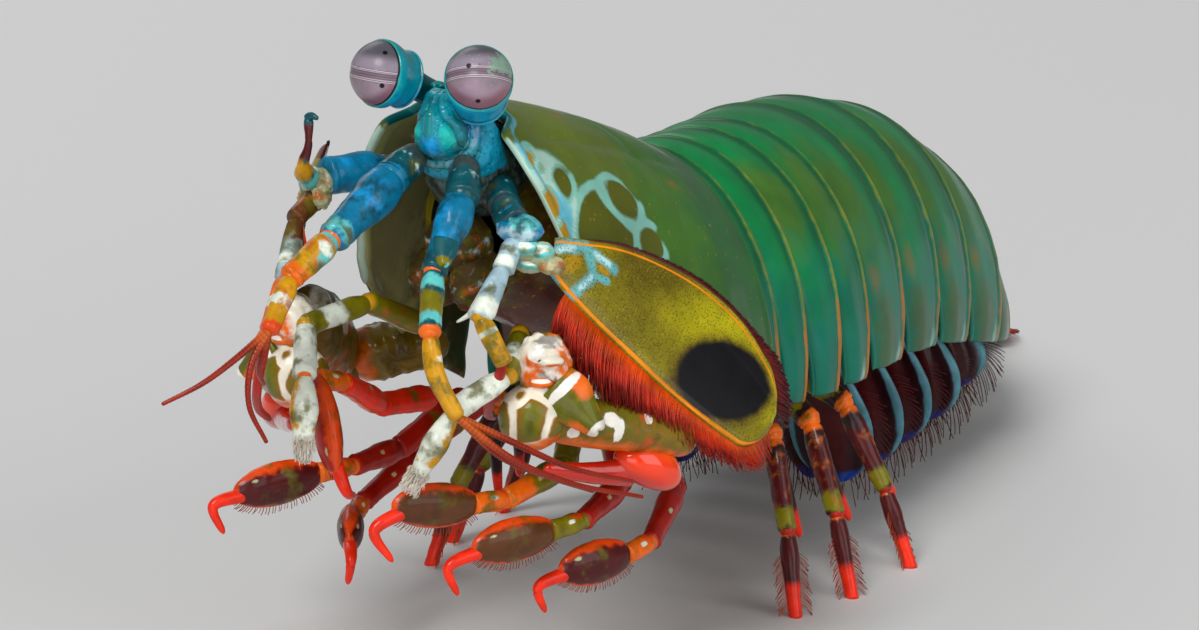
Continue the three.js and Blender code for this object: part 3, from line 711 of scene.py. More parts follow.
class Workshop:
    """Makes finished objects of the animal's pieces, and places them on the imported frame."""

    def __init__(self, eye: Array) -> None:
        """Loads the frame and works out how it lies against the animal's own.

        Args:
            eye: The middle of the left cornea in the animal's own frame.
        """
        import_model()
        self.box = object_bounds()
        low, high = (np.array(corner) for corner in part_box("cornea_l"))
        self.shift = (low + high) / 2 / MM - eye
        self.effects = Effects()
        self.materials: dict[str, bpy.types.Material] = {}
        self.bristle = Bristles()

    def placed(self, points: Array) -> Array:
        """Points of the animal's frame, in millimetres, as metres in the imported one."""
        return (points + self.shift) * MM

    def finish(self, finish: Finish) -> bpy.types.Material:
        """The material of a finish, built the first time."""
        if finish.name not in self.materials:
            self.materials[finish.name] = finish.material(self.effects)
        return self.materials[finish.name]

    def mesh(self, name: str, patches: Sequence[Patch], kinds: set[str]) -> bpy.types.Mesh:
        """One mesh of several patches, with the named values of these kinds as attributes.

        Args:
            name: The mesh's name.
            patches: Closed bodies.
            kinds: Names of the values that its finish reads.

        Returns:
            The mesh.
        """
        starts = np.cumsum([0] + [len(p.points) for p in patches])
        points = self.placed(np.concatenate([p.points for p in patches]))
        faces = np.concatenate([p.faces + start for p, start in zip(patches, starts)])
        sizes = np.where(faces[:, 2] == faces[:, 3], 3, 4)
        keep = np.ones_like(faces, bool)
        keep[:, 3] = sizes == 4
        mesh = raw_mesh(name, points, faces[keep], sizes)
        mesh.validate()
        for key in sorted(kinds):
            parts = [p.values.get(key, np.full(len(p.points), -1.0)) for p in patches]
            attribute = mesh.attributes.new(key, "FLOAT", "POINT")
            attribute.data.foreach_set("value", np.concatenate(parts).astype(np.float32))
        return mesh

    def piece(
        self, name: str, patches: Patch | Sequence[Patch], finish: Finish, slot: Slot,
        nodes: Sequence[str] = ()) -> Thing:
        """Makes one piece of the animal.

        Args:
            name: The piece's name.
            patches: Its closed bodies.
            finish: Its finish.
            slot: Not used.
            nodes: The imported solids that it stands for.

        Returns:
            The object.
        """
        bodies = [patches] if isinstance(patches, Patch) else list(patches)
        mesh = self.mesh(name, bodies, {layer.value for layer in finish.layers})
        return self.dressed(bpy.data.objects.new(name, mesh), finish, slot, nodes)

    def dressed(self, thing: Thing, finish: Finish, slot: Slot, nodes: Sequence[str] = ()) -> Thing:
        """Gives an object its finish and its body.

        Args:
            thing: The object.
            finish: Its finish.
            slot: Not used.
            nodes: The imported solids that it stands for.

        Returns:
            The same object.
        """
        thing.data.materials.clear()
        thing.data.materials.append(self.finish(finish))
        bpy.context.scene.collection.objects.link(thing)
        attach(thing, "root")
        if nodes:
            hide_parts(*nodes)
        LOG.info("%s: %d faces, %s", thing.name, len(thing.data.polygons), finish.name)
        return thing

    def fringe(self, name: str, tufts: Sequence[Tufts], finish: Finish, slot: Slot) -> Thing:
        """Makes a fringe of bristles, in one line of tufts or several."""
        return self.dressed(self.bristle.grown(self, name, tufts), finish, slot)


@dataclass
class Tufts:
    """Roots of bristles, in millimetres, with the way each leans and bends and how long it is."""

    roots: Array
    lean: Array
    bend: Array
    reach: Array
    thick: float = 0.06
    curl: float = 0.25
    spread: float = 0.12
    place: Array | None = None


class Bristles:
    """The Geometry Nodes that grow a curved, tapering bristle from every point of a mesh."""

    def __init__(self) -> None:
        """Builds the tree."""
        self.tree = bpy.data.node_groups.new("Bristles", "GeometryNodeTree")
        face = self.tree.interface
        face.new_socket("Roots", in_out="INPUT", socket_type="NodeSocketGeometry")
        for name, kind in (
            ("Thickness", "NodeSocketFloat"), ("Curl", "NodeSocketFloat"), ("Spread", "NodeSocketFloat"),
            ("Seed", "NodeSocketInt"), ("Material", "NodeSocketMaterial")):
            face.new_socket(name, in_out="INPUT", socket_type=kind)
        face.new_socket("Bristles", in_out="OUTPUT", socket_type="NodeSocketGeometry")
        nodes = Nodes(self.tree)
        given = nodes.add("NodeGroupInput").outputs
        hair = self.hair(nodes, given)
        lean, bend, reach = (
            nodes.add("GeometryNodeInputNamedAttribute", {"Name": name}, data_type=kind).outputs[0]
            for name, kind in (("lean", "FLOAT_VECTOR"), ("bend", "FLOAT_VECTOR"), ("reach", "FLOAT"))
        )
        spread = given["Spread"]
        below = nodes.add("ShaderNodeVectorMath", {0: (-1, -1, -1), "Scale": spread}, operation="SCALE")
        above = nodes.add("ShaderNodeVectorMath", {0: (1, 1, 1), "Scale": spread}, operation="SCALE")
        stray = nodes.add(
            "FunctionNodeRandomValue", {0: below.outputs[0], 1: above.outputs[0], "Seed": given["Seed"]},
            data_type="FLOAT_VECTOR")
        way = nodes.add("ShaderNodeVectorMath", {0: lean, 1: stray.outputs[0]}).outputs[0]
        stood = nodes.add("FunctionNodeAlignEulerToVector", {"Vector": way}, axis="Z").outputs[0]
        turned = nodes.add(
            "FunctionNodeAlignEulerToVector", {"Rotation": stood, "Vector": bend}, axis="X", pivot_axis="Z"
        ).outputs[0]
        uneven = nodes.add("FunctionNodeRandomValue", {2: 0.8, 3: 1.1, "Seed": given["Seed"]}).outputs[1]
        size = nodes.math("MULTIPLY", reach, uneven)
        grown = nodes.add(
            "GeometryNodeInstanceOnPoints",
            {"Points": given["Roots"], "Instance": hair, "Rotation": turned, "Scale": size}).outputs[0]
        real = nodes.add("GeometryNodeRealizeInstances", {0: grown}).outputs[0]
        dressed = nodes.add("GeometryNodeSetMaterial", {"Geometry": real, "Material": given["Material"]})
        out = nodes.add("NodeGroupOutput")
        self.tree.links.new(dressed.outputs[0], out.inputs[0])

    def hair(self, nodes: Nodes, given: dict) -> Socket:
        """One bristle of length 1 along Z that bends towards X and ends in a point.

        Args:
            nodes: The tree's nodes.
            given: The tree's inputs.

        Returns:
            The bristle's mesh.
        """
        tip = nodes.add("ShaderNodeCombineXYZ", {"X": given["Curl"], "Z": 1.0}).outputs[0]
        spine = nodes.add(
            "GeometryNodeCurveQuadraticBezier",
            {"Resolution": 4, "Start": (0, 0, 0), "Middle": (0, 0, 0.55), "End": tip}).outputs[0]
        share = nodes.add("GeometryNodeSplineParameter").outputs[0]
        taper = nodes.ramp(share, 0.2, 1.0, (1.0, 0.25))
        spine = nodes.add("GeometryNodeSetCurveRadius", {0: spine, "Radius": taper}).outputs[0]
        ring = nodes.add(
            "GeometryNodeCurvePrimitiveCircle", {"Resolution": 3, "Radius": given["Thickness"]},
            mode="RADIUS").outputs[0]
        inputs = {"Curve": spine, "Profile Curve": ring, "Fill Caps": True}
        return nodes.add("GeometryNodeCurveToMesh", inputs).outputs[0]

    def grown(self, shop: Workshop, name: str, tufts: Sequence[Tufts]) -> Thing:
        """Grows the bristles of some tufts and joins them.

        Args:
            shop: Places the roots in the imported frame.
            name: The object's name.
            tufts: Where the bristles grow.

        Returns:
            An object with a plain mesh and a UV map that lays each bristle at its root's place.
        """
        parts = [self.one(shop, name, number, tuft) for number, tuft in enumerate(tufts)]
        points, corners, sizes, place, share = zip(*parts)
        starts = np.cumsum([0] + [len(p) for p in points])
        corners = np.concatenate([part + start for part, start in zip(corners, starts)])
        points, sizes, place, share = (np.concatenate(column) for column in (points, sizes, place, share))
        points[:, 2] = np.maximum(points[:, 2], 0)
        mesh = raw_mesh(name, points, corners, sizes)
        mesh.attributes.new("along", "FLOAT", "POINT").data.foreach_set("value", share.astype(np.float32))
        corner = np.arange(len(corners))
        around = np.stack([np.cos(corner * 2.1), np.sin(corner * 2.1)], -1) * TUFT_PATCH / 2
        uv = place[corners] + around
        mesh.uv_layers.new(name="OFBake").data.foreach_set("uv", uv.astype(np.float32).ravel())
        return bpy.data.objects.new(name, mesh)

    def one(self, shop: Workshop, name: str, number: int, tuft: Tufts) -> tuple[Array, ...]:
        """Grows one set of tufts: its points, corners, face sizes, map places and shares of the length.

        Args:
            shop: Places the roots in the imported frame.
            name: The fringe's name.
            number: Which set this is.
            tuft: Where the bristles grow.

        Returns:
            Its points, corners, face sizes, places on the map and shares of the length.
        """
        roots = bpy.data.meshes.new(f"{name}_roots")
        roots.vertices.add(len(tuft.roots))
        roots.vertices.foreach_set("co", shop.placed(tuft.roots).ravel())
        place = tuft.place if tuft.place is not None else tuft.roots[:, :2] * 0.01 + 0.5
        shown = {"lean": unit(tuft.lean), "bend": unit(tuft.bend), "root": np.pad(place, ((0, 0), (0, 1)))}
        for key, value in shown.items():
            vectors = roots.attributes.new(key, "FLOAT_VECTOR", "POINT")
            vectors.data.foreach_set("vector", value.astype(np.float32).ravel())
        reach = roots.attributes.new("reach", "FLOAT", "POINT")
        reach.data.foreach_set("value", (tuft.reach * MM).astype(np.float32))
        carrier = bpy.data.objects.new(f"{name}_carrier", roots)
        bpy.context.scene.collection.objects.link(carrier)
        modifier = carrier.modifiers.new("Bristles", "NODES")
        modifier.node_group = self.tree
        sizes = {
            "Thickness": tuft.thick / float(tuft.reach.mean()), "Curl": tuft.curl, "Spread": tuft.spread,
            "Seed": SEED + number}
        for item in self.tree.interface.items_tree:
            if item.in_out == "INPUT" and item.name in sizes:
                modifier[item.identifier] = sizes[item.name]
        graph = bpy.context.evaluated_depsgraph_get()
        grown = bpy.data.meshes.new_from_object(carrier.evaluated_get(graph))
        bpy.data.objects.remove(carrier)
        points = column(grown.vertices, "co", 3)
        corners = column(grown.loops, "vertex_index", kind=np.int32)
        counts = column(grown.polygons, "loop_total", kind=np.int32)
        mapped = column(grown.attributes["root"].data, "vector", 3)[:, :2]
        each = len(grown.vertices) // len(tuft.roots)
        share = np.tile(np.linspace(0, 1, each), len(tuft.roots))
        bpy.data.meshes.remove(grown)
        return points, corners, counts, mapped, share


def rod(
    points: Iterable, radii: Iterable, marks: Iterable[Mark | str] = (), up: Array = UP,
    flat: float = 1.0, rim: float = 0.1, steps: int = 22, sides: int = 24, relief: Relief | None = None,
    uneven: float = 0.03) -> Patch:
    """A round-ended limb segment along a smooth curve.

    Args:
        points: A few points along its middle.
        radii: Radii at even shares of its length.
        marks: Colours painted on it.
        up: The way its depth is measured.
        flat: Depth as a share of the width.
        rim: Share of the length over which each end rounds off.
        steps: Rings between the rounded ends.
        sides: Points around each ring.
        relief: Extra radius in millimetres at (share, turn).
        uneven: Share of the radius by which the surface waves.

    Returns:
        The patch.
    """
    share = graded(steps, rim)
    radii = np.asarray(list(radii), float)
    half = curve(np.linspace(0, 1, len(radii)), radii, share) * np.maximum(rounded(share, rim), 0.02)
    patch = swept(through(points, share), half, half * flat, up, sides, relief)
    patch.values["share"] = np.concatenate([np.repeat(share, sides), [0.0, 1.0]])
    rings = patch.points[:-2].reshape(len(share), sides, 3)
    centre = rings.mean(axis=1, keepdims=True)
    waves = 1 + uneven * ripple(rings, 2.0)[..., None]
    patch.points[:-2] = (centre + (rings - centre) * waves).reshape(-1, 3)
    return marked(patch, marks)


def marked(patch: Patch, marks: Iterable[Mark | str]) -> Patch:
    """The patch with marks painted on it by its share and turn."""
    patch.values.update(painted(marks, patch.values["share"], patch.values["turn"]))
    return patch


def spots(kind: str, *rows: tuple[float, ...]) -> list[Mark]:
    """Marks of one colour, each from a row of its sizes."""
    return [Mark(kind, *row) for row in rows]


def bands(kind: str, *spans: tuple[float, float]) -> list[Mark]:
    """Bands of one colour, each from a share of the length to another."""
    return [Mark(kind, (low + high) / 2, (high - low) / 2) for low, high in spans]


@dataclass(frozen=True)
class Cell:
    """A coloured cell of a shell's network: its kind, its place on the shell and its size in millimetres."""

    kind: str
    along: float
    turn: float
    reach: float
    stretch: float = 1.0
    tilt: float = 0.0


def netted(kind: str, *rows: tuple[float, ...]) -> tuple[Cell, ...]:
    """Cells of one colour, each from a row of its sizes."""
    return tuple(Cell(kind, *row) for row in rows)


def network(points: Array, cells: Sequence[Cell], place: Relief, vein: float) -> Values:
    """How deep each point lies inside a cell of each kind, in millimetres, below zero between cells.

    Args:
        points: Surface points.
        cells: The cells.
        place: Surface point at (along, turn).
        vein: Width of the lines that stay free between neighbouring cells.

    Returns:
        One array for each kind of cell, and "second", how far outside the second nearest cell the point lies.
    """
    along, turn = (np.array([getattr(cell, key) for cell in cells]) for key in ("along", "turn"))
    seeds = place(along, turn)
    ahead = unit(place(along + 0.01, turn) - seeds)
    round_it = place(along, turn + 0.01) - seeds
    round_it = unit(round_it - (round_it * ahead).sum(-1, keepdims=True) * ahead)
    away = []
    for cell, seed, x, y in zip(cells, seeds, ahead, round_it):
        tilt = math.radians(cell.tilt)
        long, wide = x * math.cos(tilt) + y * math.sin(tilt), y * math.cos(tilt) - x * math.sin(tilt)
        offset = points - seed
        rest = offset - (offset @ long)[..., None] * long - (offset @ wide)[..., None] * wide
        flat = np.hypot((offset @ long) / cell.stretch, (offset @ wide) * cell.stretch)
        away.append(np.hypot(flat, np.linalg.norm(rest, axis=-1)) / cell.reach)
    away = np.array(away)
    values: Values = {}
    for number, cell in enumerate(cells):
        others = np.delete(away, number, axis=0).min(axis=0)
        inside = np.minimum(1 - away[number], (others - away[number]) / 2) * cell.reach - vein / 2
        values[cell.kind] = np.maximum(values.get(cell.kind, -1.0), np.maximum(inside, -1.0))
    gaps = np.sort(
        (away - 1) * np.array([cell.reach for cell in cells]).reshape(-1, *[1] * (away.ndim - 1)), axis=0)
    values["second"] = gaps[1]
    return values


def heading(pitch: float, yaw: float) -> Array:
    """The way to the rear, sloping down by pitch and turned to the right by yaw, in degrees."""
    p, y = math.radians(pitch), math.radians(yaw)
    return vec(-math.sin(y) * math.cos(p), math.cos(y) * math.cos(p), -math.sin(p))


@dataclass
class Spine:
    """Arched sections along the body: top points, ways to the rear, half widths and heights."""

    at: Array
    tangent: Array
    half: Array
    height: Array
    arch_power: float = 2.12

    def read(self, place: Array) -> tuple[Array, ...]:
        """Top point, way left, way up, half width and height at places counted in sections.

        Args:
            place: Places counted in sections.

        Returns:
            Five arrays, a row for each place.
        """
        count = len(self.at)
        low = np.clip(np.floor(place).astype(int), 0, count - 2)
        t = place - low
        rows = [a[low] + (a[low + 1] - a[low]) * (t[..., None] if a.ndim > 1 else t) for a in self.rows()]
        at, tangent, half, height = rows
        side = unit(np.cross(tangent, UP))
        return at, side, np.cross(side, unit(tangent)), half, height

    def rows(self) -> tuple[Array, ...]:
        """The four arrays."""
        return self.at, self.tangent, self.half, self.height

    def section(self, place: float) -> tuple[Array, ...]:
        """What read gives, at one place."""
        return tuple(row[0] for row in self.read(np.array([place])))

    def arch(self, place: Array, turn: Array, inset: Array | float = 0.0) -> Array:
        """Points of the shell.

        Args:
            place: Places counted in sections.
            turn: -1 at the left lower edge, 0 on top and 1 at the right lower edge.
            inset: Depth below the outer surface in millimetres.

        Returns:
            The points.
        """
        place, turn, inset = np.broadcast_arrays(place, turn, inset)
        at, side, up, half, height = self.read(place)
        angle = (turn + 1) * math.pi / 2
        c, s = np.cos(angle), np.clip(np.sin(angle), 0, 1)
        across = (half - inset) * np.sign(c) * np.abs(c) ** (2 / self.arch_power)
        rise = (height - inset) * s ** (2 / self.arch_power) - height
        return at + across[..., None] * side + rise[..., None] * up


@dataclass(frozen=True)
class Somite:
    """One ring of the trunk: length, slope and turn in degrees, half width and height at its rear edge."""

    name: str
    length: float
    pitch: float
    yaw: float
    half: float
    height: float
    pleopod: float = 0.0


SOMITES = (
    Somite("thorax_5", 5.5, 1, -3, 15.7, 24.2), Somite("thorax_6", 5.3, 1, -5, 15.9, 24.5),
    Somite("thorax_7", 5.4, 0, -4, 16.2, 24.7), Somite("thorax_8", 5.8, 1, 3, 16.3, 24.8),
    Somite("abdomen_1", 11.5, 2, 7, 16.5, 25, 17), Somite("abdomen_2", 12, 6, 6, 16.9, 24.8, 17),
    Somite("abdomen_3", 12.5, 12, 7, 17.1, 24.6, 15.5), Somite("abdomen_4", 13, 23, 9, 17, 22.8, 13),
    Somite("abdomen_5", 13, 33, 22, 16.2, 19, 9.5), Somite("abdomen_6", 11.5, 38, 34, 13.8, 13))
BACK = vec(0, 0, 41)
STERNUM_RISE = 4.2


def trunk_spine() -> Spine:
    """The sections where one somite meets the next.

    Returns:
        The spine, from the carapace to the tail.
    """
    tuck, lean = vec(0, -2, -0.8), 0.6
    at, rows = BACK + tuck, []
    for i in range(len(SOMITES) + 1):
        before, after = SOMITES[max(i - 1, 0)], SOMITES[min(i, len(SOMITES) - 1)]
        way = heading(lean * (before.pitch + after.pitch) / 2, (before.yaw + after.yaw) / 2)
        rows.append((at, way, before.half, before.height))
        at = at + heading(after.pitch, after.yaw) * after.length
    return Spine(*(np.array(column, float) for column in zip(*rows)))


def saddle_spine() -> Spine:
    """The carapace's sections from its rear edge forward.

    Returns:
        The spine of five sections.
    """
    slopes, halves = (22, 20, 17, 13, 10), (17.2, 16.6, 15.2, 13.2, 10.8)
    heights, length, lean = (25, 24.6, 23, 20.4, 16.5), 35.0, 0.2
    at, rows = BACK, []
    for i, pitch in enumerate(slopes):
        rows.append((at, heading(lean * pitch, 0), halves[i], heights[i]))
        after = slopes[min(i + 1, len(slopes) - 1)]
        at = at - heading((pitch + after) / 2, 0) * length / (len(slopes) - 1)
    return Spine(*(np.array(column, float) for column in zip(*rows)))


@dataclass
class Leaf:
    """A leaf-like blade: root, tip, the way its face looks, and an outline of (share, half width, bow).

    Its upper edge is at turn 1 and its lower edge at -1.
    """

    root: Array
    tip: Array
    face: Array
    outline: Sequence[tuple[float, float, float]]
    thick: float = 0.7
    crown: float = 0.5
    flip: float = 1.0

    def axes(self) -> tuple[Array, Array, Array]:
        """The ways along, across and out of the blade.

        Returns:
            Three ways, the first as long as the blade.
        """
        along = self.tip - self.root
        across = unit(np.cross(self.face, along)) * self.flip
        return along, across, unit(np.cross(along, across)) * self.flip

    def at(self, share: Array, turn: Array) -> Array:
        """Points of the middle of the blade.

        Args:
            share: Shares of the length.
            turn: Places across it, from -1 to 1.

        Returns:
            The points.
        """
        share, turn = np.broadcast_arrays(share, turn)
        along, across, out = self.axes()
        knots, halves, bows = zip(*self.outline)
        flat = share.ravel()
        end = np.sqrt(1 - np.clip((flat - 0.9) / 0.1, 0, 1) ** 2)
        half = (curve(knots, halves, flat) * end).reshape(share.shape)
        bow = curve(knots, bows, flat).reshape(share.shape)
        lift = self.crown * (1 - turn**2)
        sideways = half * turn + bow
        return self.root + share[..., None] * along + sideways[..., None] * across + lift[..., None] * out

    def patch(
        self, marks: Iterable[Mark | str] = (), rows: int = 50, cols: int = 26,
        relief: Relief | None = None) -> Patch:
        """The blade as a closed body.

        Args:
            marks: Colours painted on it by (share, turn).
            rows: Steps along it.
            cols: Steps across it.
            relief: Height in millimetres added to its middle at (share, turn).

        Returns:
            The patch.
        """
        share, side = np.meshgrid(graded(rows, 0.03), graded(cols, 0.06), indexing="ij")
        turn = 2 * side - 1
        middle = self.at(share, turn)
        if relief:
            middle = middle + relief(share, turn)[..., None] * self.axes()[2]
        thick = self.thick * rounded(side, 0.1) * rounded(share, 0.03)
        values = {"share": share, "turn": turn, **painted(marks, share, turn)}
        return blade(middle, thick, values)

    def border(self, share: Array, edge: float) -> tuple[Array, Array]:
        """Points of one edge (1 upper, -1 lower) and the way out of the blade there.

        Args:
            share: Shares of the length.
            edge: 1 for the upper edge, -1 for the lower.

        Returns:
            The points and the ways.
        """
        points = self.at(share, np.full_like(share, edge))
        inside = self.at(share, np.full_like(share, edge * 0.8))
        ahead = unit(np.gradient(points, axis=0))
        out = points - inside
        return points, unit(out - (out * ahead).sum(-1, keepdims=True) * ahead)


class Hue(IntEnum):
    """Named colours of the living animal."""

    CARAPACE = 0x406E1C
    OLIVE = 0x62701A
    DULL_GREEN = 0x24602F
    EMERALD = 0x067A3E
    DEEP_GREEN = 0x014F2C
    TEAL = 0x067A78
    DARK_TEAL = 0x064A50
    AZURE = 0x089CD0
    PALE = 0xC4E4D0
    WHITE = 0xEFF1E4
    AMBER = 0xB58A10
    SPOT = 0x8A5A1C
    YELLOW = 0xE2A80C
    OLIVE_YELLOW = 0x8A8204
    ORANGE = 0xEE6A0C
    RUST = 0xA84A0C
    RED = 0xF02A06
    BLOOD = 0xA81606
    MAROON = 0x4E0A0C
    WINE = 0x2A0A10
    BLACK = 0x08060A
    STEEL = 0x4F8C9C
    BROWN = 0x5C3210
    BUFF = 0xD9C8A0


def coat(
    kind: str, colour: int, soft: float = 0.2, ragged: float = 0.12, grain: float = 1.2,
    cover: float = 1.0) -> Layer:
    """The layer that colours one kind of mark."""
    return Layer(colour, kind, 0, soft, ragged, grain, cover)


def blotch(kind: str, colour: int, share: float = 0.5, grain: float = 0.7) -> Layer:
    """The layer that scatters ragged blotches of a colour over a share of a kind of mark."""
    start = 0.93 + 0.45 * (0.5 - share)
    return Layer(colour, kind, start - 0.08, start + 0.24, 0.75, grain, 0.85)


LIMB_COATS = (
    coat("stone", 0x3E4642, 0.4, 0.5), coat("azure", 0x04749A, 0.5, 0.7),
    coat("teal", 0x055058, 0.5, 0.7), coat("olive", 0x7C7404, 0.5, 0.7),
    coat("yellow", 0xCE9404, 0.5, 0.7), coat("orange", Hue.ORANGE, 0.5, 0.6),
    coat("red", Hue.RED, 0.5, 0.3), coat("blood", Hue.BLOOD, 0.4, 0.3),
    coat("maroon", Hue.MAROON, 0.4, 0.4), coat("brown", Hue.BROWN, 0.4, 0.5),
    coat("ember", 0xE0480A, 0.5, 0.5), coat("lilac", 0xA8C4CE, 0.4, 0.5),
    coat("cream", 0xBCBC90, 0.4, 0.5), coat("cyan", 0x62C8C4, 0.5, 0.7),
    coat("white", 0xE4EBDC, 0.4, 0.7), blotch("deep", 0x033E4A, 0.45, 0.5),
    blotch("sky", 0x1090CE, 0.26, 0.6), blotch("moss", 0x5E5A04, 0.42, 0.6),
    blotch("rust", 0xB4580E, 0.26, 0.8), blotch("foam", 0xB4D4D6, 0.14, 1.1))


def lump(
    at: Array, size: Sequence[float], marks: Iterable[Mark | str], fold: float = 0.12, seed: int = SEED
) -> Patch:
    """A rounded knuckle with soft folds and marks.

    Args:
        at: Its middle.
        size: Half its size each way.
        marks: Colours painted on it.
        fold: Depth of the folds.
        seed: Seed of the folds.

    Returns:
        The patch.
    """
    body = ball(at, np.diag(size), 30, 40)
    waves = 0.7 * ripple(body.points, 2.4, seed) + np.abs(ripple(body.points, 1.4, seed + 1))
    body.points = body.points + unit(body.points - at) * (fold * (waves - 0.4))[:, None]
    return marked(body, marks)


@dataclass
class Tergites:
    """The ten shell rings behind the carapace, each lapping over the next."""

    spine: Spine
    thick: float = 0.55
    lip: float = 0.7
    lobe: float = 0.5
    overlap: float = 0.07
    olive: dict[int, tuple[float, ...]] = field(
        default_factory=lambda: {
            2: (0.35, 0.6, 0.45, 0.25), 3: (0.5, 0.55, 0.5, 0.32), 4: (0.3, 0.4, 0.55, 0.38),
            5: (0.2, 0.32, 0.52, 0.34), 6: (0.24, 0.3, 0.5, 0.36), 7: (0.3, 0.3, 0.55, 0.34),
            8: (0.3, 0.3, 0.55, 0.34), 9: (0.4, 0.3, 0.5, 0.34)})
    finish: Finish = Finish(
        "tergite shell", Hue.EMERALD,
        (
            Layer(Hue.DEEP_GREEN, "dark", 0, 0.8, 0.2, 0.5, 0.8),
            Layer(0x446A22, "olive", 0, 0.7, 0.4, 0.35, 0.9),
            Layer(0x02705F, "low", 0.5, 0.95, 0.2, 0.4, 0.9),
            Layer(0x4E5418, "lowolive", 0, 0.7, 0.5, 0.5, 0.6), coat("spot", Hue.SPOT, 1, 0.3, 0.6, 0.5),
            Layer(0x8A8A2C, "edge", 0.3, 1, 0.5, 0.6, 0.8),
            Layer(0xB0681C, "rust", 0.3, 1, 0.6, 0.6, 0.8), coat("tip", 0x9CC0B4, 1, 0.4, 1)),
        mottle=0.16, grain=0.35, pits=0.25, bump=0.2, rough=(0.3, 0.5), coat=0.2, glow=0.04)

    def marks(self, i: int) -> list[Mark]:
        """The marks of one ring, by its share and the turn down from the top.

        Args:
            i: The ring's number.

        Returns:
            The marks.
        """
        found = [Mark("olive", *self.olive[i])] if i in self.olive else []
        if i >= 4:
            found += [Mark("spot", 0.3, 0.18, 0.77, 0.07), Mark("lowolive", 0.42, 0.4, 0.93, 0.16)]
            found.append(Mark("tip", 0.86, 0.15, 0.99, 0.06))
        if i == 3:
            found.append(Mark("tip", 0.76, 0.25, 0.99, 0.05))
        return found

    def sheet(self, i: int) -> Patch:
        """The shell of one ring.

        Args:
            i: The ring's number.

        Returns:
            The patch.
        """
        share, turn = np.meshgrid(graded(22, 0.06), 2 * graded(84, 0.02) - 1, indexing="ij")
        share = share * (1.03 + self.overlap) - 0.03
        low = np.abs(turn)
        rounding = 1 - self.lobe * smooth(0.55, 1.02, low) ** 2 * np.where(
            share < 0.5, 1.0, 0.7 if i > 3 else 1.0)
        along = i + 0.5 + (share - 0.5) * rounding
        front = 0.4 if i == 0 else self.lip
        inset = front * (1 - smooth(-0.05, 0.5, share)) + self.thick / 2
        inset -= 0.1 * bell(share, 1.0, 0.035) - 0.16 * bell(share, 0.93, 0.03)
        inset += 0.22 * bell(share, 0.1, 0.05)
        inset -= 0.12 * bell(low, 0.9, 0.05) * smooth(0.1, 0.3, share)
        middle = self.spine.arch(along, turn, inset)
        inset_waves = 0.05 * ripple(middle, 6.0, SEED + i)
        middle = self.spine.arch(along, turn, inset + inset_waves)
        thick = self.thick * rounded((turn + 1) / 2, 0.02) * rounded(graded(22, 0.06), 0.05)[:, None]
        values = {
            "low": low + 0.06 * ripple(middle, 7.0, 3),
            "edge": bell(share, 1.0, 0.04) * (0.55 + 0.35 * smooth(0.1, 0.6, low)),
            "rust": bell(share, 1.0, 0.05) * smooth(0.66, 0.9, low) * (1.2 if i < 5 else 0.7),
            "dark": np.maximum(bell(share, 0.88, 0.16), bell(share, 0.0, 0.12)) * (1 - 0.5 * low),
            **painted(self.marks(i), share, low)}
        return blade(middle, thick, values)

    def build(self, shop: Workshop) -> None:
        """Makes the ten rings."""
        for i, somite in enumerate(SOMITES):
            shop.piece(f"{somite.name}_shell", self.sheet(i), self.finish, Slot.TERGITES, [somite.name])


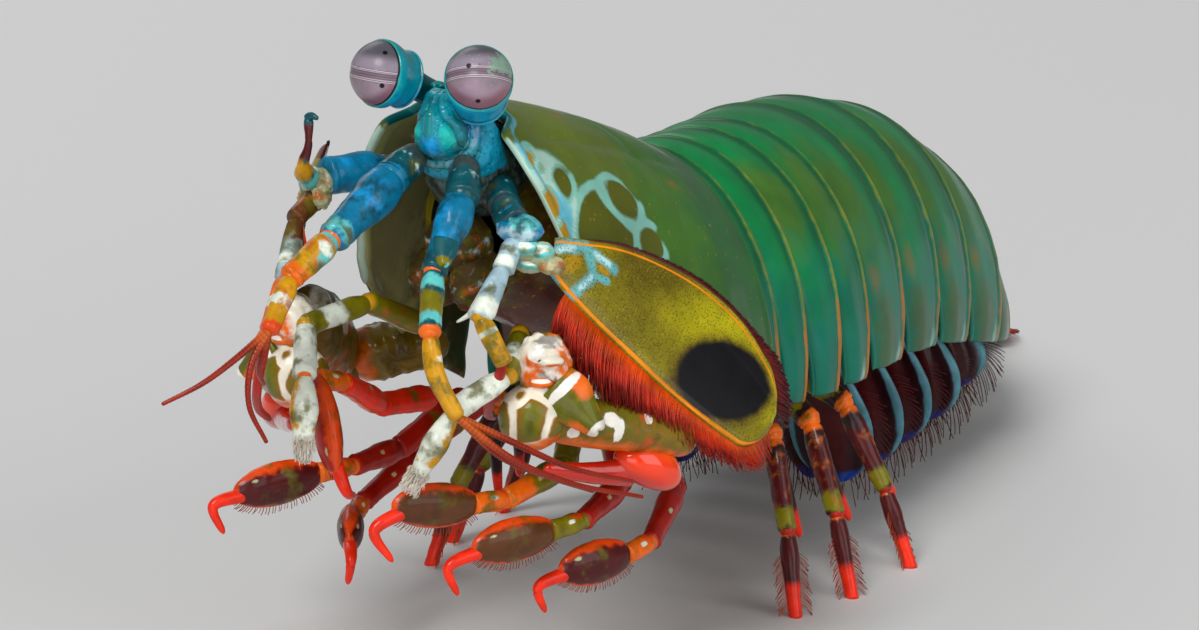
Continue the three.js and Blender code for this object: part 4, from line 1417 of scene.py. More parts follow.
@dataclass
class Carapace:
    """The saddle-shaped shield over the thorax, with its net of pale lines round dark cells."""

    spine: Spine
    thick: float = 0.9
    wing: float = 0.08
    corner: float = 0.11
    hollow: float = 0.04
    cells: tuple[Cell, ...] = (
        *netted(
            "umber", (0.932, -0.607, 1.95, 0.88), (0.80, -0.735, 4.6), (0.695, -0.60, 3, 1.15),
            (0.605, -0.71, 2.3, 1.1), (0.66, -0.86, 3.4), (0.48, -0.83, 2.8), (0.84, -0.92, 2.2, 1.3)),
        *netted(
            "amber", (1.03, -0.53, 1.25, 0.9), (1, -0.56, 0.8), (0.995, -0.70, 1.9, 1),
            (0.975, -0.80, 1.5, 0.8), (0.955, -0.865, 1.3, 0.8)))
    finish: Finish = Finish(
        "carapace shell", Hue.CARAPACE,
        (
            Layer(Hue.OLIVE, "olive", 0.1, 0.9, 0.5, 0.22, 0.9),
            Layer(Hue.DULL_GREEN, "dull", 0.2, 0.9, 0.3, 0.25, 0.85),
            Layer(0x84C4B4, "pale", 0.2, 0.8, 0.3, 0.5, 0.95),
            Layer(0xB8DCCC, "ahead", 0.35, 0.85, 0.5, 0.6, 0.85),
            Layer(0x48B4D0, "sky", 0.2, 0.9, 0.7, 0.6, 0.8), Layer(0x555A04, "umber", 0, 0.35, 0.2, 0.8),
            Layer(Hue.AMBER, "amber", 0, 0.35, 0.2, 0.8), Layer(Hue.SPOT, "spot", 0, 0.9, 0.5, 0.6, 0.5),
            # inside: painted shade, dark olive over the shell's underside; the front lining stays pale
            Layer(0x333A16, "inside", 0.5, 0.9, 0, 1), Layer(0xA8AC6C, "lining", 0.3, 0.9, 0.6, 0.5, 0.9),
            Layer(Hue.TEAL, "rim", 0.45, 0.8, 0.1, 0.6), Layer(Hue.PALE, "line", 0.5, 0.8, 0.1, 0.6)),
        dots=(Dots(Hue.YELLOW, 1.6, 0.28, 0.16, 0.18),), mottle=0.14, grain=0.4, pits=0.35, bump=0.2,
        rough=(0.3, 0.5), coat=0.3, glow=0.06)

    def ends(self, turn: Array) -> tuple[Array, Array]:
        """Shares of the length at the rear and front edges.

        Args:
            turn: Turns from the top, -1 to 1.

        Returns:
            The rear and the front shares.
        """
        low = 1 - np.cos(turn * math.pi / 2)
        side = np.abs(turn)
        wing = self.wing * smooth(0.27, 0.42, side) * (1 - smooth(0.42, 0.97, side))
        return self.hollow * (1 - low), 1 + wing - self.corner * low**4

    def surface(self, share: Array, turn: Array, inset: Array | float = 0.0) -> Array:
        """Points of the shell at shares of the length."""
        return self.spine.arch(share * (len(self.spine.at) - 1), turn, inset)

    def relief(self, share: Array, turn: Array, along: Array) -> Array:
        """Depth in millimetres below the smooth saddle: grooves are above zero and ridges below.

        Args:
            share: Shares of the spine.
            turn: Turns from the top.
            along: Shares between the edges.

        Returns:
            The depths.
        """
        side = np.abs(turn)
        groove = 0.3 * bell(
            side, 0.3 + 0.08 * share, 0.035) * smooth(0.1, 0.3, share) * (1 - smooth(0.85, 1.0, share))
        neck = 0.22 * bell(share, 0.5 - 0.25 * side, 0.03) * (1 - smooth(0.3, 0.6, side))
        keel = -0.16 * bell(side, 0.94, 0.025)
        front = -0.2 * bell(along, 0.985, 0.012) + 0.14 * bell(along, 0.955, 0.014)
        rear = -0.14 * bell(along, 0.015, 0.012)
        return groove + neck + keel + front + rear

    def shell(self) -> Patch:
        """The shield.

        Returns:
            The patch.
        """
        along, turn = np.meshgrid(graded(110, 0.012), 2 * graded(230, 0.008) - 1, indexing="ij")
        rear, front = self.ends(turn)
        share = rear + (front - rear) * along
        sunk = self.relief(share, turn, along) + self.thick / 2
        middle = self.surface(share, turn, sunk)
        middle = self.surface(share, turn, sunk + 0.06 * ripple(middle, 9.0))
        thick = self.thick * rounded((turn + 1) / 2, 0.012) * rounded(along, 0.016)
        side = np.abs(turn)
        folded = self.surface(share, -side)
        waves = 0.08 * ripple(middle, 5.0, 5)
        edge_gap = (front - share) * 35
        cells = network(folded, self.cells, self.surface, 0.6)
        near = np.maximum(cells["umber"], cells["amber"])
        ahead = smooth(0.84, 0.95, share) * smooth(0.42, 0.52, side)
        joined = smooth(2.9, 1.5, cells.pop("second") + 4 * waves)
        pale = np.maximum(smooth(-1.1, -0.4, near + waves) * joined, ahead) * smooth(0.42, 0.55, share)
        values = {
            "pale": pale, "ahead": ahead * smooth(0.0, -0.2, near),
            "sky": bell(share, 0.955, 0.03) * smooth(0.6, 0.7, side) + bell(
                edge_gap, 1.0, 0.8) * smooth(0.75, 0.6, side) * 0.8,
            "olive": smooth(0.35, 0.75, share + waves) * (1 - 0.9 * pale) * (
                1 - 0.55 * smooth(0.45, 0.62, side)),
            "dull": smooth(0.5, 0.1, share + waves),
            "rim": bell(edge_gap, 0.15, 0.55) * smooth(0.46, 0.36, side),
            "line": bell(edge_gap, 0.1, 0.22) * smooth(0.38, 0.46, side),
            "spot": painted(
                [*spots("spot", (0.336, 0.05, 0.44, 0.03), (0.7, 0.09, 0.2, 0.03))], share, side)["spot"],
            **cells}
        patch = blade(middle, thick, {**values, "front": smooth(4.0, 0.6, edge_gap / 10)})
        # the underside is painted dark olive as shade
        patch.values["inside"] = 1 - patch.values["inner"]
        patch.values["lining"] = patch.values["inside"] * patch.values["front"]
        return patch

    def build(self, shop: Workshop) -> None:
        """Makes the shield and the small plate hinged to its front.

        Args:
            shop: Makes and places the pieces.
        """
        shop.piece("carapace_shield", self.shell(), self.finish, Slot.CARAPACE, ["carapace"])
        outline = ((0, 3.5, 0), (0.3, 2.9, 0), (0.7, 1.5, 0), (1, 0.5, 0))
        plate = Leaf(vec(0, -33.6, 50.7), vec(0.4, -38, 52.3), UP, outline, 0.7, 0.35)
        edge = [Mark("rim", 1, 0.4), Mark("olive", 0.3, 0.6, 0, 0.5)]
        shop.piece(
            "rostral_shield", plate.patch(edge, 30, 26), self.finish, Slot.CARAPACE, ["rostral_plate"])


@dataclass
class Flesh:
    """The one skin of the body inside the shells, from behind the mouth to the last ring."""

    spine: Spine
    slack: float = 0.95
    core: tuple[tuple[Array, float, float], ...] = (
        (vec(0, -31, 38.6), 4.2, 4.6), (vec(0, -29.6, 38.4), 5.6, 6.2), (vec(0, -25, 36.8), 7.8, 7.9),
        (vec(0, -17, 34.6), 10.3, 9.3), (vec(0, -8, 31.8), 11.8, 9.4), (vec(0, -3.6, 29.4), 12.4, 9.8))
    finish: Finish = Finish(
        "belly skin", 0x5A2C1A,
        (
            Layer(Hue.MAROON, "share", 0.3, 0.55, 0.2, 0.3),
            Layer(Hue.BUFF, "fold", 0.55, 0.95, 0.4, 0.6, 0.6),
            Layer(Hue.OLIVE_YELLOW, "front", 0.4, 0.9, 0.5, 0.5, 0.8),
            Layer(0x2F6A38, "end", 0.2, 0.8, 0.2, 0.5)),
        dots=(Dots(Hue.AMBER, 1.4, 0.35, 0.35, 0.45),), mottle=0.35, grain=0.7, pits=0.6, bump=0.5,
        depth=0.12, rough=(0.35, 0.55), coat=0.3, glow=0.12)

    def ring(self, place: float, angle: Array) -> Array:
        """A section of the skin inside the shells at a place counted in rings.

        Args:
            place: Place counted in rings.
            angle: Angles round the section.

        Returns:
            A point for each angle.
        """
        at, side, up, half, height = self.spine.section(place)
        c, s = np.cos(angle), np.sin(angle)
        fold = 0.35 * math.cos(2 * math.pi * place) - 0.35
        top, power = height - self.slack - 0.5, 2 / self.spine.arch_power
        rise = np.where(s > 0, top * np.abs(s) ** power, STERNUM_RISE * np.abs(s) ** 2.4 + fold * np.abs(s))
        across = (half - self.slack - 0.6) * np.sign(c) * np.abs(c) ** power
        rise = np.maximum(rise, 1.8 * (1 - np.abs(s)))
        return at + across[:, None] * side + (rise - height)[:, None] * up

    def body(self) -> Patch:
        """The skin.

        Returns:
            The patch.
        """
        angle = np.linspace(0, 2 * math.pi, 64, endpoint=False)
        rings = []
        for at, wide, high in self.core:
            oval = at + np.outer(np.cos(angle), LEFT) * wide + np.outer(np.sin(angle), UP) * high
            rings.append(oval)
        for place in np.arange(0.4, len(SOMITES) - 0.1, 0.125):
            rings.append(self.ring(place, angle))
        rings = np.array(rings)
        knots = np.arange(len(rings), dtype=float)
        fine = np.concatenate([np.linspace(0, 6, 40), knots[7:]])
        smoothed = curve(knots, rings.reshape(len(rings), -1), fine).reshape(len(fine), len(angle), 3)
        smoothed += 0.12 * ripple(smoothed, 3.0, 11)[..., None] * UP
        share = np.linspace(0, 1, len(fine))
        fold = np.abs(np.sin(fine * math.pi * 0.125)) ** 6
        return tube(
            smoothed,
            {
                "share": share, "fold": fold, "front": smooth(0.18, 0.0, share),
                "end": smooth(0.965, 0.98, share)})

    def build(self, shop: Workshop) -> None:
        """Makes the skin."""
        shop.piece("flesh", self.body(), self.finish, Slot.BELLY, ["thorax_core"])


@dataclass
class Pleopods:
    """The five pairs of swimming legs: two overlapping paddles each, with a blue front edge and a fringe."""

    spine: Spine
    finish: Finish = Finish(
        "swimming leg", Hue.WINE,
        (
            Layer(Hue.MAROON, "middle", 0, 0.6, 0.4, 0.6, 0.9),
            Layer(Hue.STEEL, "front", 0, 0.35, 0.2, 0.8), coat("tip", 0x0E3A98, 0.6, 0.3),
            coat("joint", Hue.RUST, 0.5, 0.3), coat("flake", Hue.WHITE, 0.5, 0.3)),
        mottle=0.3, coat=0.4, rough=(0.3, 0.5), glow=0.1)
    fringe: Finish = Finish(
        "swimming leg fringe", Hue.MAROON, (), mottle=0.3, coat=0.2, rough=(0.45, 0.6), glow=0.1)

    def belly(self, i: int, across: float, drop: float, share: float = 0.45) -> Array:
        """A point below a ring: so far to the left of its middle, and so far below the underside."""
        at, side, up, _, height = self.spine.section(i + share)
        return at + across * side + (STERNUM_RISE - height - drop) * up

    def paddles(self, i: int, sign: float) -> list[Leaf]:
        """The outer and inner paddle of one leg.

        Args:
            i: The ring's number.
            sign: 1 on the left side, -1 on the right.

        Returns:
            The two blades.
        """
        reach = SOMITES[i].pleopod
        back = unit(self.spine.tangent[i])
        root, knee = self.belly(i, sign * 8.4, -1.0), self.belly(i, sign * 9.0, 0.3 * reach)
        outline = ((0, 1.5, 0), (0.3, 3.6, 0), (0.62, 4.5, 0), (0.85, 3.6, 0), (1, 1.6, 0))
        blades = []
        for across, behind, wide in ((10.6, 0.14, 1.0), (7.2, 0.2, 0.82)):
            tip = self.belly(i, sign * across, reach) + back * behind * reach
            shape = [(s, w * wide, b) for s, w, b in outline]
            start = root * 0.25 + knee * 0.75
            blades.append(Leaf(start, tip, -back, shape, 0.55, 0.5 * sign, flip=sign))
        return blades

    def leg(self, i: int, sign: float) -> tuple[list[Patch], list[Tufts]]:
        """One leg's bodies and fringes.

        Args:
            i: The ring's number.
            sign: 1 on the left side, -1 on the right.

        Returns:
            The bodies and the tufts.
        """
        root, knee = self.belly(i, sign * 8.4, -1.5), self.belly(i, sign * 9.2, 0.36 * SOMITES[i].pleopod)
        joint = [Mark("joint", 0.25, 0.35, 0, 9), Mark("flake", 0.35, 0.2, 0.4, 0.3)]
        patches = [rod((root, knee), (1.7, 1.9, 1.6), joint, flat=0.7)]
        tufts = []
        for leaf in self.paddles(i, sign):
            marks = [
                Mark("middle", 0.5, 0.6, 0, 0.7), Mark("front", 0.45, 0.65, 1, 0.22),
                Mark("tip", 0.99, 0.1)]
            patches.append(leaf.patch(marks, 26, 14, lambda s, t: 0.12 * np.sin(t * 9)))
            for edge in (1.0, -1.0):
                share = np.linspace(0.3, 0.999, 34)
                roots, out = leaf.border(share, edge)
                along = unit(leaf.tip - leaf.root)
                lean = out * (1 - share[:, None] ** 3) + along * (0.35 + share[:, None] ** 2)
                length = 1.6 + 1.6 * share
                place = np.stack([0.1 + 0.8 * share, 0.5 + 0.4 * edge * np.ones_like(share)], -1)
                tufts.append(
                    Tufts(roots, lean, np.tile(along, (len(share), 1)), length, 0.05, 0.2, 0.1, place))
        return patches, tufts

    def build(self, shop: Workshop) -> None:
        """Makes the legs and their fringes, a piece for each ring."""
        for i, somite in enumerate(SOMITES):
            if not somite.pleopod:
                continue
            legs = [self.leg(i, sign) for sign in SIDES.values()]
            number = i - 3
            shop.piece(
                f"swimming_legs_{number}", [p for leg in legs for p in leg[0]], self.finish, Slot.BELLY)
            shop.fringe(
                f"swimming_fringe_{number}", [t for leg in legs for t in leg[1]], self.fringe, Slot.BELLY)


@dataclass(frozen=True)
class Eye:
    """One eye: its middle, its ways, its dark spots, and how long and how slanted its cup is.

    It looks one way, its stalk stands on the foot, and its midband runs round the pole.
    """

    at: Array
    look: Array
    foot: Array
    pole: Array
    dots: tuple[Array, ...]
    depth: float
    skew: float


MIDBAND = (
    (-0.19, 0x5A3848), (-0.175, 0xD8C8D2), (-0.155, 0x5A4450), (-0.14, 0x94848E), (-0.115, 0xC8BAC2),
    (-0.1, 0x6E5C68), (-0.045, 0x8A7882), (-0.03, 0x6A5864), (0.03, 0x8A7882), (0.045, 0x6E5C68),
    (0.1, 0xC8BAC2), (0.115, 0x75636F), (0.14, 0xD8C8D2), (0.16, 0x54404E), (0.175, 0x8E8290))


@dataclass
class Eyes:
    """The stalked compound eyes, each with a banded cornea in a coloured cup."""

    left: Eye = field(
        default_factory=lambda: Eye(
            vec(5.9, -40.4, 53.9), vec(0.41, -0.69, 0.6), vec(2.4, -36.6, 50.6),
            vec(-0.192, 0.377, 0.906), (vec(0.124, -0.825, 0.552), vec(0.399, -0.784, -0.474)), 1.2, 0.4))
    right: Eye = field(
        default_factory=lambda: Eye(
            vec(-3.5, -40.7, 53.7), vec(-0.33, -0.89, 0.32), vec(-1.1, -36.2, 51.4),
            vec(0.085, 0.139, 0.986), (vec(0.377, -0.547, 0.747), vec(0.446, -0.876, -0.179)), 0.76, 0.2))
    radius: float = 3.0
    length: float = 3.0
    rim_ahead: float = 0.85
    cup_shape: tuple[tuple[float, float], ...] = (
        (-5.2, 1.2), (-3.8, 1.5), (-3.42, 1.85), (-3.28, 2.35), (-3.16, 2.62), (-3.04, 2.66),
        (-2.86, 2.52), (-2.5, 2.5), (-1.6, 2.6), (-0.8, 2.78), (0.0, 2.98), (0.6, 3.02), (0.78, 2.98),
        (0.86, 2.84))
    cornea: Finish = Finish(
        "compound eye", 0x85787F,
        (
            *(Layer(code, "height", at - 0.005, at + 0.005) for at, code in MIDBAND),
            Layer(0xA890A0, "below", 0.15, 0.5, 0.2, 0.4, 0.8),
            Layer(0x3E4046, "above", 0.1, 0.8, 0.2, 0.4, 0.8),
            # flank: painted reflection, a greenish patch on the left cornea's outer side
            Layer(0x7EA88C, "flank", 0.42, 0.56, 0.8, 1.7, 0.75),
            Layer(0x7A2440, "low_rim", 0.1, 1, 0.2, 0.6, 0.6), Layer(0x1A1220, "rim", 0.1, 0.8, 0.1, 0.6),
            Layer(Hue.BLACK, "pupil", 0.05, 0.4, 0.05, 1.5)),
        dots=(Dots(0xC8B8C4, 2.2, 0.3, 0.12, 0.3),), mottle=0.12, grain=0.8, pits=1.2, bump=0.2,
        depth=0.02, rough=(0.3, 0.42), coat=0.22, coat_rough=0.2, glow=0.05, late=6)
    cup: Finish = Finish(
        "eye cup", 0x029CAE,
        (
            Layer(0x04808A, "top", 0, 1, 0.5, 0.4, 0.9),
            Layer(0x02A4D4, "below", 0.1, 0.9, 0.4, 0.5, 0.9),
            Layer(0x035C68, "ridge", 0.3, 0.8, 0.2, 0.7, 0.9),
            Layer(0x1E9488, "collar", 0.3, 0.8, 0.1, 1, 0.8), Layer(0x05545C, "neck", 0.3, 0.9, 0.4, 0.6)),
        dots=(Dots(0x36C4DC, 1.8, 0.3, 0.2, 0.3), Dots(Hue.DARK_TEAL, 1.1, 0.35, 0.15, 0.3)), mottle=0.16,
        grain=0.6, rough=(0.25, 0.4), coat=0.5)

    def globe(self, eye: Eye) -> Patch:
        """The cornea, with its midband, rows and pupils, and on the left eye a painted greenish reflection.

        Args:
            eye: The eye.

        Returns:
            The patch.
        """
        look = unit(eye.look)
        side = unit(np.cross(look, eye.pole))
        axes = np.stack([side * self.radius, np.cross(side, look) * self.radius, look * self.length])
        patch = ball(eye.at, axes, 90, 120)
        way = unit(patch.points - eye.at)
        height, ahead = way @ unit(eye.pole), way @ look
        limit = (self.rim_ahead + eye.skew * (way @ np.cross(side, look) - 0.8)) / self.length
        tuck = 0.06 * bell(height, 0, 0.1) + 0.5 * smooth(limit - 0.02, limit - 0.16, ahead)
        patch.points = patch.points - way * tuck[:, None]
        near = np.max([1 - np.linalg.norm(way - unit(dot), axis=1) / 0.1 for dot in eye.dots], axis=0)
        # spread masks a painted reflection: a greenish patch on the left cornea's outer upper side
        spread = smooth(0.3, 0.8, way @ LEFT) * smooth(-0.5, 0.3, height)
        patch.values |= {
            "height": height, "above": smooth(0.25, 0.85, height), "below": -height,
            "low_rim": smooth(0.75, 0.3, ahead) * smooth(0.1, -0.5, height),
            "rim": smooth(limit + 0.1, limit + 0.01, ahead), "pupil": near}
        # only the left eye gets the painted greenish reflection
        if eye is self.left:
            patch.values["flank"] = spread * 0.7
        return patch

    def stalk(self, eye: Eye) -> Patch:
        """The cup and neck behind the cornea.

        Args:
            eye: The eye.

        Returns:
            The patch.
        """
        look = unit(eye.look)
        behind = np.concatenate(
            [np.linspace(5.2, 3.7, 16), np.linspace(3.65, 2.8, 30), np.linspace(2.7, -0.6, 30)])
        behind = np.concatenate([behind, -self.rim_ahead + np.array((0.16, 0.1, 0.05, 0.01, -0.01))])
        knots, rows = zip(*self.cup_shape)
        radii = curve(knots, rows, -behind)
        lean = smooth(3.3, 5.2, behind)[:, None]
        reach = np.where(behind > 0, behind * eye.depth, behind)[:, None]
        path = eye.at - look * reach + lean * (eye.foot - eye.at + look * 5.2 * eye.depth)
        patch = swept(path, radii, radii, UP, 72)
        where = np.concatenate([np.repeat(behind, 72), behind[[0, -1]]])
        near = smooth(1.5, -0.3, where)
        offset = patch.points - eye.at
        rise = offset @ unit(np.cross(np.cross(look, eye.pole), look)) / self.radius
        centre = eye.at + (offset @ look)[:, None] * look
        swell = 1 + 0.11 * eye.skew * smooth(0.2, -0.9, rise) * near
        slant = eye.skew * (rise - 0.8) * near
        patch.points = centre + (patch.points - centre) * swell[:, None] + look * slant[:, None]
        turn = patch.values["turn"]
        lift = np.cos(turn * math.pi) + 0.3 * ripple(patch.points, 2.0)
        patch.values |= {
            "top": lift, "below": -lift,
            "ridge": bell(where, 2.84, 0.1) + bell(where, 3.3, 0.12) + 0.2 * ripple(patch.points, 1.2, 4),
            "collar": bell(where, -self.rim_ahead + 0.06, 0.08), "neck": smooth(3.25, 3.5, where)}
        return patch

    def build(self, shop: Workshop) -> None:
        """Makes both eyes."""
        for side, eye in (("l", self.left), ("r", self.right)):
            shop.piece(f"eye_{side}", self.globe(eye), self.cornea, Slot.CORNEA, [f"cornea_{side}"])
            shop.piece(f"eye_cup_{side}", self.stalk(eye), self.cup, Slot.EYE_CUP, [f"eyestalk_{side}"])


@dataclass
class Head:
    """The face under the eyes: a prow-like shield with a bright rim, and soft skin behind it."""

    ridge: tuple[Array, ...] = (
        vec(1.3, -38.4, 52.2), vec(1.5, -39.9, 51.8), vec(1.7, -41.2, 50.8), vec(1.75, -41.6, 49.4),
        vec(1.75, -41.2, 47.5), vec(1.7, -40.1, 45.9), vec(1.6, -38.9, 44.8), vec(1.6, -37.9, 44.3))
    half_widths: tuple[float, ...] = (1.1, 1.6, 2.3, 2.95, 3.35, 3.35, 3.0, 2.4)
    depths: tuple[float, ...] = (1.6, 2.8, 4.5, 5.7, 6.2, 5.9, 5.0, 4.0)
    turned: float = -1.0
    ovals: tuple[tuple[float, float, float, float, float], ...] = (
        (0.4, -29.6, 43.6, 4.6, 4.0), (0.7, -32.0, 44.4, 4.8, 4.9), (1.1, -34.6, 45.4, 4.1, 5.2),
        (1.4, -36.6, 46.6, 3.3, 4.6), (1.6, -38.2, 47.8, 2.5, 3.2), (1.7, -39.2, 48.4, 1.6, 2.2),
        (1.7, -39.8, 48.6, 0.5, 0.8))
    skin: Finish = Finish(
        "soft skin", 0x1C3234,
        (
            Layer(0x52716E, "fold", 0.3, 0.9, 0.6, 1.2),
            Layer(Hue.TEAL, "front", 0.2, 0.9, 0.5, 0.6, 0.6),
            Layer(0x7A5428, "fleck", 0.6, 0.85, 0.8, 1.6, 0.7),
            Layer(0x9AA8A6, "pale", 0.68, 0.9, 0.8, 2, 0.7)),
        dots=(Dots(Hue.BLACK, 1.9, 0.3, 0.3, 0.6),), mottle=0.35, grain=1.2, bump=0.6, depth=0.12,
        rough=(0.3, 0.5), coat=0.4)
    face: Finish = Finish(
        "face shield", 0x038796,
        (
            # painted shade: dark teal laid into the valleys, pits, creases and the groove inside the rim
            Layer(0x02444C, "valley", 0.1, 0.9, 0.4, 0.8, 0.9),
            # blue: the patch on the middle swelling is a painted highlight
            Layer(0x0592D8, "blue", 0.1, 0.8, 0.3, 0.7, 0.85),
            Layer(0x10B4A8, "knob", 0.15, 0.8, 0.3, 0.7, 0.85),
            Layer(0x0A5C3A, "crest", 0.35, 0.9, 0.3, 0.8, 0.4),
            Layer(0x0494B8, "rim", 0.3, 0.8, 0.4, 0.8, 0.9),
            Layer(0x7C9CAA, "silver", 0.3, 0.9, 1, 1.9, 0.75),
            # painted shade: two dark lines in the low spots on each side of the silver bead
            Layer(0x0A2C30, "crack", 0.3, 0.9, 0.4, 1.2, 0.8),
            Layer(0x2C7A3C, "under", 0.3, 0.8, 0.3, 0.8, 0.9)),
        dots=(Dots(0x04424A, 2.2, 0.36, 0.3, 0.5), Dots(0x3CC4D8, 3, 0.3, 0.14, 0.4)), mottle=0.22,
        grain=0.7, pits=0.3, bump=0.35, depth=0.1, rough=(0.24, 0.4), coat=0.4, coat_rough=0.06, glow=0.05)

    def skull(self) -> Patch:
        """The soft skin of the head, from under the carapace to the face.

        Returns:
            The patch.
        """
        rows = np.array(self.ovals)
        count, sides = 60, 56
        x, y, z, wide, high = curve(np.arange(len(rows)), rows, np.linspace(0, len(rows) - 1, count)).T
        turn = np.linspace(-1, 1, sides, endpoint=False)
        c, s = np.cos(turn * math.pi), np.sin(turn * math.pi)
        across, lift = x[:, None] + wide[:, None] * s, z[:, None] + high[:, None] * c
        rings = np.stack([across, np.broadcast_to(y[:, None], (count, sides)), lift], -1)
        out = unit(rings - rings.mean(axis=1, keepdims=True))
        rings = rings + 0.16 * ripple(rings, 2.4, 21)[..., None] * out
        values = {
            "fold": 0.5 + 0.5 * ripple(rings, 1.6, 9),
            "front": smooth(0.45, 0.9, np.linspace(0, 1, count)),
            "fleck": 0.5 + 0.2 * ripple(rings, 2.0, 41), "pale": 0.5 + 0.2 * ripple(rings, 2.0, 43)}
        return tube(rings, values)

    def shield(self) -> Patch:
        """The shield with its crest, valleys, knobs and rolled rim.

        Returns:
            The patch.
        """
        down, side = np.meshgrid(graded(110, 0.02), graded(120, 0.02), indexing="ij")
        across = 2 * side - 1
        away = np.abs(across)
        knots = np.linspace(0, 1, len(self.ridge))
        middle = curve(knots, self.ridge, down.ravel()).reshape(*down.shape, 3)
        wide, deep = (
            curve(knots, row, down.ravel()).reshape(down.shape) for row in (self.half_widths, self.depths))
        yaw = math.radians(self.turned)
        left, back = vec(math.cos(yaw), math.sin(yaw), 0), vec(-math.sin(yaw), math.cos(yaw), 0)
        round_by = away * math.pi / 2
        lateral = wide * np.sin(round_by) ** 0.92 * np.sign(across)
        rear = deep * (1 - np.cos(round_by))
        spot = middle + lateral[..., None] * left + rear[..., None] * back
        out = sheet_normals(spot)
        out = out * np.sign(out[..., 1:2] * -1 + 1e-9)
        crest = 0.34 * bell(across, 0, 0.05) * smooth(0.16, 0.3, down) * (1 - smooth(0.5, 0.64, down))
        fork = np.abs(away - 0.1 - 0.26 * smooth(0.2, 0.5, down))
        valley = bell(fork, 0, 0.06) * smooth(0.12, 0.24, down) * (1 - smooth(0.5, 0.6, down))
        ring = ((away / 0.74) ** 2.4 + np.clip((down - 0.15) / 0.53, 0, None) ** 2.4) ** (1 / 2.4)
        low = smooth(0.2, 0.4, down)
        knob = bell(np.hypot((away - 0.26) / 0.12, (down - 0.47) / 0.07), 0, 1)
        # heart: the middle swelling, raised and carrying the painted blue highlight
        heart = bell(np.hypot(across / 0.13, (down - 0.53) / 0.06), 0, 1)
        pit = bell(np.hypot((away - 0.5) / 0.14, (down - 0.36) / 0.09), 0, 1)
        lift = crest - 0.34 * valley + 0.3 * (knob + heart) - 0.3 * pit
        lift = lift + low * (
            0.3 * bell(ring, 1.22, 0.1) - 0.3 * bell(ring, 0.94, 0.07) + 0.12 * bell(ring, 1.04, 0.03))
        crease = smooth(0.16, 0.0, np.abs(ripple(spot, 1.5, 16, 2)))
        lift = lift + 0.1 * ripple(spot, 1.6, 13) + 0.04 * ripple(spot, 0.7, 14) - 0.05 * crease
        grit = 0.75 + 0.6 * ripple(spot, 0.45, 15, 1)
        values = {
            # painted shade: valleys, pits, creases, a band near the top and the groove inside the rim are
            # darkened
            "valley": valley + 0.35 * bell(down, 0.2, 0.07) + 0.8 * pit + 0.6 * low * bell(
                ring, 0.9, 0.08) + 0.16 * crease,
            # painted highlight: the blue patch on the middle swelling
            "blue": heart + 0.7 * bell(np.hypot((away - 0.66) / 0.1, (down - 0.42) / 0.16), 0, 1),
            "knob": knob + 0.4 * bell(np.hypot((away - 0.16) / 0.1, (down - 0.12) / 0.06), 0, 1),
            "crest": bell(across, 0, 0.035) * smooth(0.16, 0.28, down) * (1 - smooth(0.46, 0.58, down)),
            "rim": smooth(1.1, 1.2, ring) * smooth(0.1, 0.3, down),
            "silver": bell(ring, 1.03, 0.032) * low * grit,
            # painted shade: dark lines in the low spots beside the silver bead
            "crack": (bell(ring, 0.985, 0.018) + 0.8 * bell(ring, 1.085, 0.02)) * low,
            "under": smooth(0.84, 0.92, down)}
        thick = 0.7 * rounded(side, 0.03) * rounded(down, 0.03)
        return blade(spot + lift[..., None] * out, thick, values)

    def build(self, shop: Workshop) -> None:
        """Makes the head."""
        shop.piece("head_skin", self.skull(), self.skin, Slot.FACE, ["head"])
        shop.piece("face_shield", self.shield(), self.face, Slot.FACE)


@dataclass(frozen=True)
class Segment:
    """One segment of a limb: its radius at each end, marks, bow, flatness, soft joint and swollen middle."""

    near: float
    far: float
    marks: tuple[Mark | str, ...] = ()
    bow: tuple[float, float, float] = (0.0, 0.0, 0.0)
    flat: float = 1.0
    joint: str = ""
    swell: float = 0.0


def limb(joints: Sequence[Array], segments: Sequence[Segment], up: Array = UP) -> list[Patch]:
    """The segments of a limb between its joints.

    Args:
        joints: Joint positions from the body outwards.
        segments: One segment for each gap between joints.
        up: The way the segments' depth is measured.

    Returns:
        The patches, with a soft joint where a segment asks for one.
    """
    patches = []
    for start, end, segment in zip(joints, joints[1:], segments):
        middle = (start + end) / 2 + vec(*segment.bow)
        half = (segment.near + segment.far) / 2
        swell = segment.swell
        radii = (
            0.76 * segment.near, segment.near + swell / 2, half + swell, 0.98 * segment.far + swell / 2,
            1.1 * segment.far)
        ahead = unit(end - start) * segment.far * 0.35
        size = half

        def relief(share: Array, turn: Array) -> Array:
            """Low keels along the segment and a collar at its far end."""
            keels = 0.05 * np.cos(3 * math.pi * turn) * smooth(0.1, 0.35, share)
            return size * (keels + 0.1 * bell(share, 0.93, 0.025) - 0.08 * bell(share, 0.86, 0.03))

        patches.append(
            rod(
                (start, middle, end + ahead), radii, segment.marks, up, segment.flat, relief=relief,
                uneven=0.06))
        if segment.joint:
            soft = ball(start, np.eye(3) * segment.near * 0.86, 10, 16)
            patches.append(marked(soft, [segment.joint]))
    return patches


def limb_finish(name: str, base: int, **changes: object) -> Finish:
    """A limb's finish: its main colour under every kind of mark."""
    plain = Finish(
        name, base, LIMB_COATS, mottle=0.18, grain=1.1, bump=0.3, rough=(0.28, 0.46), coat=0.3, glow=0.1)
    return replace(plain, **changes)


